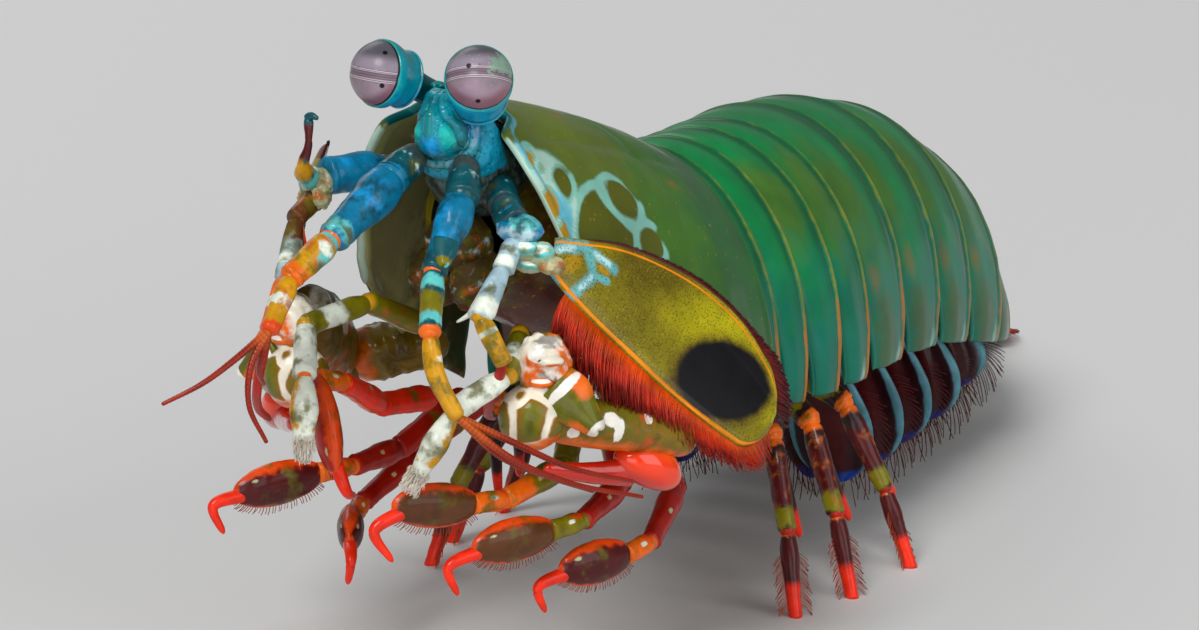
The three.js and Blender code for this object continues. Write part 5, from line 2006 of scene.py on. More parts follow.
@dataclass
class Antennules:
    """The first feelers: three stout segments and three ringed whips on each side."""

    left: tuple[Array, ...] = (
        vec(3.8, -39, 46.3), vec(5.2, -42.3, 43.8), vec(5.8, -48.6, 38.4), vec(7.8, -53, 34),
        vec(10.8, -53.6, 27))
    right: tuple[Array, ...] = (
        vec(-0.4, -39.9, 46.8), vec(-0.9, -43.9, 45.2), vec(-2, -52.4, 41.3), vec(-3.4, -57.3, 38.6),
        vec(-3.2, -61.4, 34.8))
    left_whips: tuple[tuple[Array, ...], ...] = (
        (vec(14, -49.5, 24.2), vec(16.5, -44.5, 21.2), vec(19.2, -36.5, 18.2)),
        (vec(14.3, -50.8, 23.2), vec(17.2, -45.3, 20), vec(20.6, -37.5, 17.2)),
        (vec(13.6, -50.6, 23), vec(16.2, -46.6, 20.6), vec(18.2, -42.4, 18.6)))
    right_whips: tuple[tuple[Array, ...], ...] = (
        (vec(-4.4, -64.6, 33), vec(-6, -67.8, 31.2), vec(-8.6, -70.2, 29.6)),
        (vec(-3.6, -63.8, 32.2), vec(-3.4, -64.6, 29), vec(-2.4, -63.4, 25.4)),
        (vec(-3.6, -62, 32.6), vec(-4.4, -61.2, 31), vec(-5, -59.4, 29.4)))
    whip: float = 0.38
    rings_per_mm: float = 2.6
    finish: Finish = limb_finish("antennule", Hue.AZURE)
    whip_finish: Finish = Finish(
        "feeler whip", 0x962408,
        (coat("orange", 0xC85A10, 1, 0.2), Layer(Hue.MAROON, "groove", 0.3, 0.9, 0, 1, 0.3)), mottle=0.15,
        rough=(0.25, 0.4))

    def stems(self) -> tuple[tuple[Segment, ...], tuple[Segment, ...]]:
        """The segments of the left and right stems.

        Returns:
            Four segments for each side.
        """
        base = ("stone", Mark("teal", 0.8, 0.5), "deep", Mark("moss", 0.4, 1.4), Mark("foam", 0.5, 0.9))
        azure = ("azure", "deep", "sky")
        left = (
            Segment(1.4, 1.6, base),
            Segment(
                1.65, 1.2,
                (
                    *azure, Mark("rust", 0.72, 0.07), Mark("olive", 0.7, 0.07, -0.3, 0.5),
                    *bands("teal", (0.72, 1.1)), Mark("moss", 0.85, 0.25)),
                joint="teal"),
            Segment(
                1.05, 1,
                (
                    "teal", *bands("olive", (0.3, 0.86)), *bands("cyan", (0.1, 0.36), (0.68, 0.88)),
                    *bands("orange", (0.88, 1.1)), Mark("moss", 0.4, 0.9)),
                joint="orange"),
            Segment(
                0.85, 0.78,
                ("yellow", "moss", *bands("orange", (-0.1, 0.1)), Mark("white", 0.3, 0.06, -0.5, 0.6)),
                (-0.5, -0.5, 0.2), joint="orange"))
        right = (
            Segment(1.4, 1.7, base),
            Segment(
                2, 1.5,
                (
                    *azure, Mark("cyan", 0.9, 0.1, -0.2, 0.6), Mark("moss", 0.9, 0.4),
                    Mark("ember", 0.98, 0.06, 0.6, 0.5)),
                joint="azure"),
            Segment(
                1.25, 1.15,
                (
                    "yellow", *bands("cyan", (-0.1, 0.22)), Mark("cyan", 0.42, 0.22, -0.6, 0.3),
                    Mark("white", 0.3, 0.1, -0.4, 0.3), *bands("orange", (0.72, 1.1)), "moss", "rust"),
                joint="orange"),
            Segment(
                0.95, 0.85,
                ("yellow", *bands("white", (0.36, 0.56)), *bands("ember", (0.8, 1.1)), "rust"),
                joint="orange"))
        return left, right

    def whips(self, tip: Array, routes: Sequence[Sequence[Array]]) -> list[Patch]:
        """The whips of one side, ringed from end to end.

        Args:
            tip: Where the stem ends.
            routes: Three points for each whip.

        Returns:
            A patch for each whip.
        """
        patches = []
        for route in routes:
            path = (tip, *route)
            length = sum(np.linalg.norm(b - a) for a, b in zip(path, path[1:]))
            count = int(length * self.rings_per_mm)
            share = np.linspace(0, 1, count * 4 + 1)
            groove = 0.5 - 0.5 * np.cos(share * count * 2 * math.pi)
            half = self.whip * (1 - 0.5 * share) * (1 - 0.08 * groove)
            half[[0, -1]] *= 0.3
            values = {"groove": groove, "orange": 1 - share / 0.3}
            patches.append(swept(through(path, share), half, half, vec(0.3, 0.2, 1), 10, values=values))
        return patches

    def flap(self) -> Patch:
        """The small triangular flap at the end of the left stem's first segment.

        Returns:
            The patch.
        """
        outline = ((0, 1.1, 0), (0.4, 1.05, 0.15), (0.8, 0.6, 0.3), (1, 0.25, 0.4))
        leaf = Leaf(vec(6.3, -47.2, 40.9), vec(6.5, -49, 39), vec(0.45, -0.86, 0.24), outline, 0.5, 0.4)
        return leaf.patch(
            [Mark("teal", 0.5, 1), Mark("olive", 0.95, 0.3), Mark("cyan", 0.95, 0.12, 0.6, 0.3)], 16, 12)

    def build(self, shop: Workshop) -> None:
        """Makes both antennules."""
        left, right = self.stems()
        for side, joints, segments, routes in (
            ("l", self.left, left, self.left_whips), ("r", self.right, right, self.right_whips)):
            stem = limb(joints, segments)
            if side == "l":
                stem.append(self.flap())
            shop.piece(f"antennule_stem_{side}", stem, self.finish, Slot.FEELER_STEM, [f"antennule_{side}"])
            whips = self.whips(joints[-1], routes)
            shop.piece(
                f"antennule_whips_{side}", whips, self.whip_finish, Slot.FLAGELLA,
                [f"antennule_flagella_{side}"])


@dataclass
class Antennae:
    """The second feelers: a root beside the face, a knuckle, a jointed stem and one whip."""

    finish: Finish = limb_finish("antenna", Hue.AZURE, mottle=0.22)
    whip: float = 0.5

    def left(self) -> list[Patch]:
        """The left antenna.

        Returns:
            Its bodies.
        """
        stone = ("stone", Mark("teal", 0.6, 0.5), "deep", Mark("foam", 0.5, 1), Mark("moss", 0.5, 1))
        pale = ("lilac", Mark("white", 0.8, 0.22, -0.1, 0.5), Mark("foam", 0.5, 1), Mark("moss", 0.5, 0.9))
        fold = (
            "cream", Mark("cyan", 0.35, 0.35, 0.85, 0.5), Mark("white", 0.3, 0.16, 0.9, 0.3),
            Mark("moss", 0.5, 0.9))
        root = limb(
            (vec(4.6, -34, 43.6), vec(6.3, -36.6, 42.2), vec(8.3, -38.4, 41)),
            (Segment(1.3, 1.5, stone), Segment(1.5, 1.5, (*stone, Mark("sky", 0.7, 0.5)))))
        cap = (
            "azure", Mark("cyan", 0.25, 0.25, 0.7, 0.5), Mark("lilac", 0.55, 0.22, 0.95, 0.4), "deep",
            "sky", "foam")
        lumps = [
            lump(vec(9, -38.7, 40.5), (2.25, 1.6, 1.4), cap, 0.13),
            lump(vec(9.6, -39.1, 38.9), (1.7, 1.3, 1), (*fold, Mark("azure", 0.2, 0.3)), 0.13, 3),
            lump(vec(11.1, -38.7, 38.5), (1.3, 1.1, 1.15), fold, 0.13, 4),
            lump(vec(12, -38.4, 37.5), (1.25, 1.1, 0.9), ("cream", "rust", "moss"), 0.12, 5),
            lump(vec(9.9, -38.7, 37.4), (1.5, 1.1, 0.8), fold, 0.13, 6)]
        yellow = ("yellow", *bands("white", (0.28, 0.4)), "moss")
        stem = limb(
            (vec(8.9, -39.4, 39.6), vec(8.9, -41.6, 37.6), vec(8.8, -45.8, 34.1), vec(11.2, -45.9, 30.2)),
            (
                Segment(0.95, 1, (*pale, Mark("azure", 0.2, 0.4, 0, 0.5))),
                Segment(
                    0.95, 1.2, (*pale, Mark("white", 0.8, 0.2), Mark("olive", 0.62, 0.08, -0.25, 0.2)),
                    flat=0.85),
                Segment(0.9, 0.85, yellow, joint="yellow")))
        spur = rod(
            (vec(8.2, -45.4, 34.5), vec(7.5, -46, 33.9), vec(6.9, -46.6, 33.5)), (0.3, 0.22, 0.1),
            ["white"])
        whip = rod(
            (vec(11.2, -45.9, 30.2), vec(9.4, -44.2, 27.2), vec(6.6, -40.4, 24), vec(4.4, -35, 22)),
            (self.whip, 0.45, 0.4, 0.3), ["blood"])
        return [*root, *lumps, *stem, spur, whip]

    def right(self) -> list[Patch]:
        """The right antenna, with the tall spine of its scale's root.

        Returns:
            Its bodies.
        """
        azure = (
            "azure", "sky", Mark("deep", 0.2, 0.5), Mark("lilac", 0.7, 0.3, 1, 0.3),
            *bands("teal", (0.97, 1.1)))
        fold = ("cream", "moss", "foam", "rust")
        root = limb(
            (vec(-3.2, -37.2, 44.2), vec(-4.4, -39.2, 44.6), vec(-6.9, -44.7, 44.9)),
            (Segment(1.3, 1.4, ("stone", "deep", "foam")), Segment(1.9, 1.7, azure)))
        lumps = [
            lump(vec(-7.4, -45.9, 44.4), (1.6, 1.4, 1.5), fold, 0.18, 3),
            lump(vec(-8, -45.9, 42.9), (1.3, 1.2, 1.2), fold, 0.18, 4),
            lump(vec(-8.6, -44.8, 44.3), (1.1, 1.3, 1.3), (*fold, Mark("cyan", 0.3, 0.3)), 0.18, 5),
            lump(vec(-6.3, -47.1, 43.5), (1, 1, 1.1), (*fold, Mark("ember", 0.8, 0.2)), 0.28, 6)]
        stem = limb(
            (vec(-7.3, -46.2, 43.4), vec(-7.3, -49.8, 42), vec(-5.9, -53.8, 37.6), vec(-5.6, -57.6, 33.8)),
            (
                Segment(1, 0.9, ("brown", "moss", "rust")),
                Segment(
                    0.85, 1.1,
                    ("brown", *bands("lilac", (0.3, 1.1)), *bands("white", (0.6, 0.8)), "moss"), flat=0.85),
                Segment(1, 0.85, ("orange", *bands("white", (0.4, 0.62)), "rust"))))
        tall = (
            *bands("azure", (-3, -2)), "teal", *bands("yellow", (0.2, 0.56)),
            *bands("maroon", (0.46, 0.96)), *bands("cyan", (-0.2, 0.3)), Mark("moss", 0.2, 0.3))
        spine = rod(
            (vec(-7.5, -46.6, 44.8), vec(-7, -49, 46.4), vec(-6.2, -49.2, 48.8), vec(-6.5, -48.8, 51)),
            (0.95, 0.85, 0.5, 0.34, 0.5), tall, uneven=0.16)
        whip = rod(
            (vec(-5.6, -57.6, 33.8), vec(-6.6, -57.6, 29.6), vec(-8.6, -54.6, 26), vec(-9.8, -50.4, 23.6)),
            (self.whip, 0.45, 0.4, 0.3), ["blood"])
        barb = (vec(-6.6, -48.8, 50.8), vec(-6, -49, 51.1), vec(-5.3, -49.1, 50.9))
        feather = rod(barb, (0.4, 0.34, 0.16), ["teal"], uneven=0.2)
        return [*root, *lumps, *stem, spine, feather, whip]

    def build(self, shop: Workshop) -> None:
        """Makes both antennae."""
        for side, patches in (("l", self.left()), ("r", self.right())):
            shop.piece(f"antenna_stem_{side}", patches, self.finish, Slot.FEELER_STEM, [f"antenna_{side}"])


SCALE_OUTLINE = (
    (-0.02, 1.3, 0.0), (0.08, 2.6, 0.3), (0.22, 4.1, 0.9), (0.42, 5.35, 1.3), (0.62, 5.95, 1.2),
    (0.8, 5.6, 0.6), (0.92, 4.7, -0.2), (1.0, 4.0, -0.6))


@dataclass
class Scales:
    """The two leaf-like antennal scales with their eye-spots and fringes."""

    left: Leaf = field(
        default_factory=lambda: Leaf(
            vec(11.3, -37.6, 38.4), vec(25.6, -21.4, 21.6), vec(0.72, -0.42, 0.5), SCALE_OUTLINE, 0.75,
            0.55))
    right: Leaf = field(
        default_factory=lambda: Leaf(
            vec(-9.4, -43.4, 43.4), vec(-22.2, -24.4, 33.4), vec(-0.84, -0.42, 0.3), SCALE_OUTLINE, 0.75,
            0.55, flip=-1))
    spot_at: tuple[float, float] = (20.9, -0.5)
    spot_size: tuple[float, float] = (5.8, 3.9)
    spot_tilt: float = 28.0
    finish: Finish = Finish(
        "antennal scale", 0x807406,
        (
            Layer(0xB8AE06, "bright", 0, 1, 0.3, 0.8, 0.85),
            Layer(0x5A4A06, "shade", 0, 0.9, 0.4, 0.6, 0.7),
            Layer(Hue.AMBER, "rust", 0, 0.6, 0.3, 0.9, 0.8),
            Layer(0x5CB4B8, "cyan", -0.2, 0.7, 0.5, 0.6, 0.9),
            Layer(0xBCE2E6, "white", -0.2, 0.9, 0.4, 0.8, 0.85),
            Layer(0x3A0C08, "halo", -0.22, 0.1, 0.15, 0.8, 0.6),
            Layer(Hue.BLACK, "spot", -0.02, 0.16, 0.08, 0.8),
            Layer(0x5E1A0A, "margin", 0.2, 0.6, 0.1, 0.8), Layer(0xF08C04, "line", 0.25, 0.7, 0.1, 1)),
        dots=(Dots(0x332C04, 5, 0.5, 0.6, 0.62), Dots(0xC8C012, 4.6, 0.36, 0.3, 0.4)), mottle=0.16,
        grain=0.7, pits=0.9, bump=0.3, depth=0.04, rough=(0.35, 0.5), coat=0.25, glow=0.1, late=4)
    hair: Finish = Finish(
        "scale fringe", 0xF05208, (Layer(0xD02806, "along", 0.2, 0.6), Layer(0x700E0C, "along", 0.6, 1)),
        mottle=0.3, bump=0.0, rough=(0.4, 0.5), coat=0.2, glow=0.2)
    rim_hair: Finish = Finish(
        "scale rim fringe", 0x6A1A10, (Layer(0x42101C, "along", 0.2, 1),), bump=0.0, rough=(0.4, 0.5))

    def paint(self, leaf: Leaf, patch: Patch) -> Patch:
        """Lays the eye-spot, the pale base marks and the edge lines on a scale.

        Args:
            leaf: The scale's blade.
            patch: Its body.

        Returns:
            The same body, with its values.
        """
        share, turn = patch.values["share"], patch.values["turn"]
        knots, halves, _ = zip(*leaf.outline)
        length = np.linalg.norm(leaf.tip - leaf.root)
        y = curve(knots, halves, share) * turn + curve(knots, [row[2] for row in leaf.outline], share)
        x = share * length
        tilt = math.radians(self.spot_tilt)
        dx, dy = x - self.spot_at[0], y - self.spot_at[1]
        long, wide = dx * math.cos(tilt) + dy * math.sin(tilt), dy * math.cos(tilt) - dx * math.sin(tilt)
        marks = {
            "cyan": (
                (0.2, 0.6, 3.0, 2.3, 0.8), (3.0, 2.3, 6.2, 2.1, 0.65), (3.4, 1.6, 4.6, 0.3, 0.7),
                (4.6, 0.3, 3.4, -2.6, 0.7), (4.6, 0.3, 6.0, 0.6, 0.45), (0.2, -0.9, 1.6, -2.4, 0.6)),
            "white": ((4.2, 2.2, 5.6, 2.2, 0.42), (4.4, 0.0, 3.9, -1.4, 0.36), (0.3, 0.2, 1.8, 1.5, 0.4)),
            "rust": ((1.6, -0.8, 2.4, 0.4, 0.9), (2.6, -2.6, 9.0, -4.2, 0.4), (5.0, 1.3, 5.6, 1.4, 0.5))}
        for kind, strokes in marks.items():
            found = np.full(len(x), -1.0)
            for ax, ay, bx, by, wide_by in strokes:
                t = np.clip(
                    ((x - ax) * (bx - ax) + (y - ay) * (by - ay)) / ((bx - ax) ** 2 + (by - ay) ** 2), 0,
                    1)
                away = np.hypot(x - ax - t * (bx - ax), y - ay - t * (by - ay))
                found = np.maximum(found, 1 - away / wide_by)
            patch.values[kind] = found
        half = curve(knots, halves, share)
        from_top = (1 - turn) * half
        from_edge = (1 - np.abs(turn)) * half
        patch.values |= {
            "spot": 1 - np.hypot(long / self.spot_size[0], wide / self.spot_size[1]),
            "bright": smooth(9, 17, x) * smooth(-0.9, 0.2, turn) - 0.15,
            "shade": bell(x, 12, 5) * bell(turn, 0.9, 0.45) + bell(x, 9, 3) * 0.5,
            "margin": 1 - from_top / (
                0.55 + 0.5 * share) - smooth(0.9, 1.0, share) - 2 * smooth(0.14, 0.05, share),
            "line": np.maximum(
                bell(from_edge, 0.34, 0.16) * (turn < 0), bell(from_top, 0.75 + 0.5 * share, 0.13))}
        patch.values["halo"] = patch.values["spot"]
        return patch

    def fringe(self, leaf: Leaf, edge: float) -> list[Tufts]:
        """The hairs along one edge: short above (1), long below (-1), and swept back at the tip.

        Args:
            leaf: The scale's blade.
            edge: Which edge.

        Returns:
            Three layers of tufts.
        """
        along, across, out = leaf.axes()
        ahead = unit(along)
        tufts = []
        count = 320
        share = np.linspace(0.11, 0.999, count)
        roots, way = leaf.border(share, edge)
        tip = smooth(0.86, 1.0, share)[:, None]
        lean = way * (1 - 0.6 * tip) + ahead * (0.3 + 0.9 * tip)
        if edge > 0:
            length = 0.45 + 0.5 * share + 1.4 * smooth(0.75, 0.97, share)
            bend = np.tile(ahead, (count, 1))
        else:
            length = 3.2 + 2.0 * bell(share, 0.3, 0.22) - 0.6 * smooth(0.75, 1.0, share)
            bend = np.tile(-across * 0.6 + ahead, (count, 1))
            lean = way + ahead * (0.15 + 0.6 * smooth(0.6, 1.0, share))[:, None]
        place = np.stack([0.05 + 0.9 * share, np.full(count, 0.5 + 0.42 * edge)], -1)
        for layer in (-1, 0, 1):
            shifted = lean + out * 0.14 * layer
            size = length * (1 - 0.12 * abs(layer))
            tufts.append(Tufts(roots - unit(lean) * 0.25, shifted, bend, size, 0.045, 0.28, 0.07, place))
        return tufts

    def build(self, shop: Workshop) -> None:
        """Makes both scales and their fringes."""
        for side, leaf in (("l", self.left), ("r", self.right)):
            patch = self.paint(leaf, leaf.patch((), 110, 60, lambda s, t: 0.06 * bell(t, 0.35, 0.06)))
            shop.piece(f"scale_{side}", patch, self.finish, Slot.ANTENNAL_SCALE, [f"antennal_scale_{side}"])
            shop.fringe(f"scale_fringe_{side}", self.fringe(leaf, -1.0), self.hair, Slot.ANTENNAL_SCALE)
            shop.fringe(
                f"scale_rim_fringe_{side}", self.fringe(leaf, 1.0), self.rim_hair, Slot.ANTENNAL_SCALE)


@dataclass
class Mouth:
    """The lip and the pair of jaws behind the antennules."""

    finish: Finish = limb_finish("mouth", 0x4C3A1C, rough=(0.45, 0.6), coat=0.08, shine=0.15)

    def build(self, shop: Workshop) -> None:
        """Makes the mouth.

        Args:
            shop: Makes and places the pieces.
        """
        blotched = ("moss", Mark("rust", 0.5, 1.2), Mark("foam", 0.5, 0.8))
        patches = [lump(vec(0.8, -34.9, 37.8), (3.2, 2.9, 2.9), blotched, 0.3, 31)]
        for sign in SIDES.values():
            jaw = lump(
                vec(0.5 + 2.1 * sign, -34.6, 34.4), (2.5, 3.3, 2.9),
                (Mark("brown", 0.95, 0.3), *blotched), 0.3, 33)
            patches.append(jaw)
        shop.piece("mouth_jaws", patches, self.finish, Slot.MOUTH, ["mouthparts"])


@dataclass
class Claws:
    """The folded raptorial claws. Offsets are from the wrist, with x outwards."""

    hip: Array = field(default_factory=lambda: vec(11.5, -14.5, 22.8))
    elbows: Values = field(
        default_factory=lambda: {"l": vec(20.2, -19.6, 20.4), "r": vec(-20.6, -19.2, 21.2)})
    wrists: Values = field(default_factory=lambda: {"l": vec(14, -37.2, 29.4), "r": vec(-15, -37, 30.4)})
    carpus: Array = field(default_factory=lambda: vec(-1.6, -3.4, -0.6))
    palm: Array = field(default_factory=lambda: vec(-2.4, -4.2, -5))
    carpus_size: tuple[float, float, float] = (2.5, 2.3, 3.1)
    palm_radius: float = 2.95
    hand_end: Array = field(default_factory=lambda: vec(7.4, 8.6, -9))
    heel: Array = field(default_factory=lambda: vec(4.6, 4.8, -10.7))
    heel_size: tuple[float, float, float] = (2.0, 2.05, 3.5)
    tip: Array = field(default_factory=lambda: vec(-1.6, -3.6, -9.8))
    cells: tuple[Cell, ...] = netted(
        "cell", (0.54, -0.02, 2.7, 1.1), (0.52, -0.36, 2.4, 0.85), (0.24, -0.16, 1, 1.2),
        (0.6, 0.31, 2.3, 0.9), (0.44, 0.6, 2.8), (0.5, -0.68, 2.2), (0.45, 0.86, 2), (0.84, -0.4, 1.9),
        (0.82, 0.1, 1.9), (0.84, 0.6, 1.8))
    finish: Finish = Finish(
        "raptorial claw", 0x80660F,
        (
            coat("ivory", 0xF0E8D4, 0.3, 0.15), Layer(0x86600A, "cell", 0, 0.22, 0.2, 1),
            Layer(0x6A6A0C, "cell", 0.2, 0.75, 0.3, 0.9),
            Layer(0x45440A, "cell", 0.7, 1.4, 0.5, 0.9, 0.7), coat("olive", 0x6E6410, 0.4, 0.3),
            coat("orange", 0xE86A10, 0.45, 0.3, 1), coat("brown", 0x5A2E08, 0.4, 0.4),
            coat("grey", 0xA39C92, 0.3, 0.3), coat("red", Hue.RED, 0.5, 0.2),
            coat("white", 0xF4F0E6, 0.2, 0.2, 1.6), blotch("moss", 0x4E4206, 0.4, 0.5),
            blotch("rust", 0xC04A08, 0.35, 0.6), blotch("foam", 0xEDE6DC, 0.25, 0.9)),
        mottle=0.14, grain=1.0, pits=0.4, bump=0.3, rough=(0.26, 0.44), coat=0.32, glow=0.1)
    club: Finish = Finish(
        "club", 0xF23A06,
        (
            # top: lighter orange over the club's upper half, a painted highlight
            Layer(0xB80A18, "low", 0.2, 1, 0.2, 0.4, 0.8), Layer(0xFF7A1C, "top", 0.35, 1, 0.2, 0.4, 0.6),
            Layer(0xC81E08, "blade", 0, 0.5, 0.1, 0.6)),
        mottle=0.05, grain=0.5, pits=0.1, bump=0.06, rough=(0.08, 0.14), coat=1.0, glow=0.15)

    def arm(self, hip: Array, elbow: Array, wrist: Array) -> list[Patch]:
        """The short upper arm and the deep merus in front of it.

        Args:
            hip: Where the arm starts.
            elbow: Its bend.
            wrist: The claw's wrist.

        Returns:
            Thigh, knob and merus.
        """
        thigh = rod(
            (hip, (hip + elbow) / 2 + UP * 0.4, elbow), (2.0, 2.5, 2.7, 2.3),
            ["moss", Mark("orange", 0.95, 0.3)], rim=0.25, uneven=0.1)
        knob = lump(elbow, (2.45, 2.6, 2.4), [Mark("orange", 0.4, 0.4, 0.3, 0.4), "moss"], 0.3, 8)
        end = elbow + (wrist - elbow) * 0.88
        marks = [
            Mark("ivory", 0.9, 0.12, -0.3, 0.3), Mark("cell", 0.5, 0.35, 0.5, 0.3),
            Mark("orange", 0.45, 0.5, 1, 0.3),
            *spots("white", (0.62, 0.08, -0.4, 0.16), (0.35, 0.06, 0.45, 0.16)),
            Mark("olive", 0.4, 0.6, -0.4, 0.6), "moss", Mark("rust", 0.5, 0.9)]
        merus = rod(
            (elbow, (elbow + end) / 2 + UP * 0.5, end), (1.9, 2.5, 2.6, 2.1), marks, flat=1.45, rim=0.18,
            steps=34, sides=40, uneven=0.06)
        return [thigh, knob, merus]

    def hand_ways(self, sign: float) -> Array:
        """The folded hand's ways outwards, ahead and up."""
        return np.stack([vec(0.89 * sign, 0.45, 0), vec(0.45 * sign, -0.89, 0), UP])

    def wrist_piece(self, centre: Array, sign: float) -> list[Patch]:
        """The crumpled carpus, with its folds and pale top.

        Args:
            centre: Its middle.
            sign: 1 on the left side, -1 on the right.

        Returns:
            The carpus and two flaps.
        """
        axes = self.hand_ways(sign) * vec(*self.carpus_size)[:, None]
        body = ball(centre, axes, 48, 64)
        out = unit(body.points - centre)
        share, turn = body.values["share"], body.values["turn"]
        slit = bell(np.hypot((share - 0.56) / 0.1, turn / 0.16), 0, 1)
        folds = 0.22 * ripple(body.points, 2.0, 17) + 0.2 * np.abs(ripple(body.points, 1.3, 18)) - 0.1
        body.points = body.points + out * (folds - 0.75 * slit)[:, None]
        marks = [
            *spots("ivory", (0.3, 0.34, -0.2, 0.6), (0.5, 0.4, 1, 0.4)),
            *spots("grey", (0.16, 0.12, 0.1, 0.4), (0.56, 0.06, 0, 0.12)),
            *spots(
                "orange", (0.5, 0.24, -0.12, 0.24), (0.46, 0.3, 0.34, 0.24), (0.3, 0.12, 0.5, 0.3),
                (0.1, 0.08, 0.4, 0.3), (0.8, 0.2, 0, 0.5)),
            Mark("brown", 0.6, 0.06, 0.12, 0.12),
            *spots("white", (0.32, 0.1, -0.1, 0.14), (0.7, 0.05, -0.1, 0.2)), "foam",
            Mark("rust", 0.6, 0.8)]
        lid = axes[1] / self.carpus_size[1]
        flaps = [
            ball(
                centre + lid * 1.5 + UP * 0.9 + axes[0] * 0.2,
                np.stack([axes[0] * 0.52, lid * 0.9, UP * 0.55]), 16, 24),
            ball(
                centre + lid * 1.4 - UP * 1.1 - axes[0] * 0.1,
                np.stack([axes[0] * 0.46, lid * 0.8, UP * 0.5]), 16, 24)]
        marked(flaps[0], ["ivory", Mark("orange", 0.7, 0.2, 0.1, 0.3), Mark("brown", 0.4, 0.1, -0.3, 0.1)])
        marked(flaps[1], ["orange", Mark("white", 0.3, 0.15, 0, 0.4)])
        return [marked(body, marks), *flaps]

    def globe(self, centre: Array, sign: float) -> Patch:
        """The round near end of the hand, netted in white.

        Args:
            centre: Its middle.
            sign: 1 on the left side, -1 on the right.

        Returns:
            The patch.
        """
        axes = self.hand_ways(sign) * self.palm_radius

        def place(along: Array, turn: Array) -> Array:
            """A point of the globe."""
            p, t = along * math.pi, turn * math.pi
            return centre + np.stack([np.sin(p) * np.sin(t), np.sin(p) * np.cos(t), np.cos(p)], -1) @ axes

        body = ball(centre, axes, 64, 90)
        body.values |= network(body.points, self.cells, place, 0.42)
        marked(body, ["ivory", *spots("orange", (0.9, 0.24), (0.72, 0.1, 0.3, 0.3))])
        out = unit(body.points - centre)
        body.points = body.points + out * (
            0.1 * smooth(-0.3, 0.3, body.values["cell"]) + 0.05 * ripple(body.points, 2, 6))[:, None]
        return body

    def hand(self, palm: Array, end: Array, sign: float) -> list[Patch]:
        """The hand folded back, and the triangular plate over its root.

        Args:
            palm: The middle of the hand's near end.
            end: Its far end.
            sign: 1 on the left side, -1 on the right.

        Returns:
            The hand and the plate.
        """
        marks = [
            Mark("olive", 0.35, 0.4, 0.3 * sign, 0.4), Mark("orange", 0.5, 0.8, 0.95, 0.34),
            Mark("brown", 0.75, 0.25, -0.1, 0.3),
            *spots(
                "white", (0.4, 0.05, 0.36 * sign, 0.12), (0.45, 0.03, 0.5 * sign, 0.2),
                (0.62, 0.03, 0.26 * sign, 0.1), (0.2, 0.04, 0.6 * sign, 0.1)),
            Mark("moss", 0.6, 0.9), Mark("rust", 0.6, 0.8)]
        body = rod(
            (palm, (palm + end) / 2 + vec(0.3 * sign, -0.4, 0.3), end), (2.0, 2.2, 2.0, 1.6), marks,
            steps=34, sides=40)
        outline = ((0, 2.0, 0), (0.3, 2.3, 0), (0.7, 1.3, -0.1), (1, 0.5, -0.2))
        root = palm + vec(1.9 * sign, 0.6, 3)
        leaf = Leaf(
            root, palm + vec(6 * sign, 1.4, -0.8), vec(0.45 * sign, -0.85, 0.3), outline, 0.9, 0.9,
            flip=sign)
        paint = [
            "cell", *spots("orange", (0.3, 0.32, 0.7, 0.6), (0.8, 0.3, -0.8, 0.5)),
            *spots("white", (0.16, 0.09, 0.1, 0.95), (0.98, 0.09))]
        return [body, leaf.patch(paint, 30, 22)]

    def bulb(self, heel: Array, palm: Array, tip: Array) -> list[Patch]:
        """The swollen heel of the last segment, and the slender blade that folds forward from it.

        Args:
            heel: The heel's middle.
            palm: The middle of the hand's near end.
            tip: The blade's tip.

        Returns:
            Both bodies.
        """
        way, side, lift = upright(palm - heel)
        rx, ry, rz = self.heel_size
        body = ball(heel, np.stack([side * rx, lift * ry, way * rz]), 50, 60)
        local = (body.points - heel) @ np.stack([way, lift], 1)
        sag = -0.25 * (local[:, 0] / rz) ** 2
        body.points = body.points + sag[:, None] * lift
        height = local[:, 1] / ry
        # top drives the painted highlight over the club's upper half
        body.values |= {"low": -height, "top": height}
        path = (heel - lift * 0.9 + way * 0.8, (heel + tip) / 2 - lift * 0.6, tip)
        blade_rod = rod(path, (1.1, 0.85, 0.65, 0.42), ["blade"], flat=1.3, steps=26)
        return [body, blade_rod]

    def build(self, shop: Workshop) -> None:
        """Makes both claws."""
        for side, sign in SIDES.items():
            mirror = vec(sign, 1, 1)
            elbow, wrist = self.elbows[side], self.wrists[side]
            carpus, palm, end, heel, tip = (
                wrist + offset * mirror for offset in (
                    self.carpus, self.palm, self.hand_end, self.heel, self.tip))
            for name, patches, finish, slot in (
                ("merus", self.arm(self.hip * mirror, elbow, wrist), self.finish, Slot.CLAW),
                ("carpus", self.wrist_piece(carpus, sign), self.finish, Slot.CLAW),
                ("propodus", [self.globe(palm, sign), *self.hand(palm, end, sign)], self.finish, Slot.CLAW),
                ("dactyl", self.bulb(heel, palm, tip), self.club, Slot.CLUB),
            ):
                shop.piece(f"claw_{name}_{side}", patches, finish, slot, [f"raptorial_{name}_{side}"])


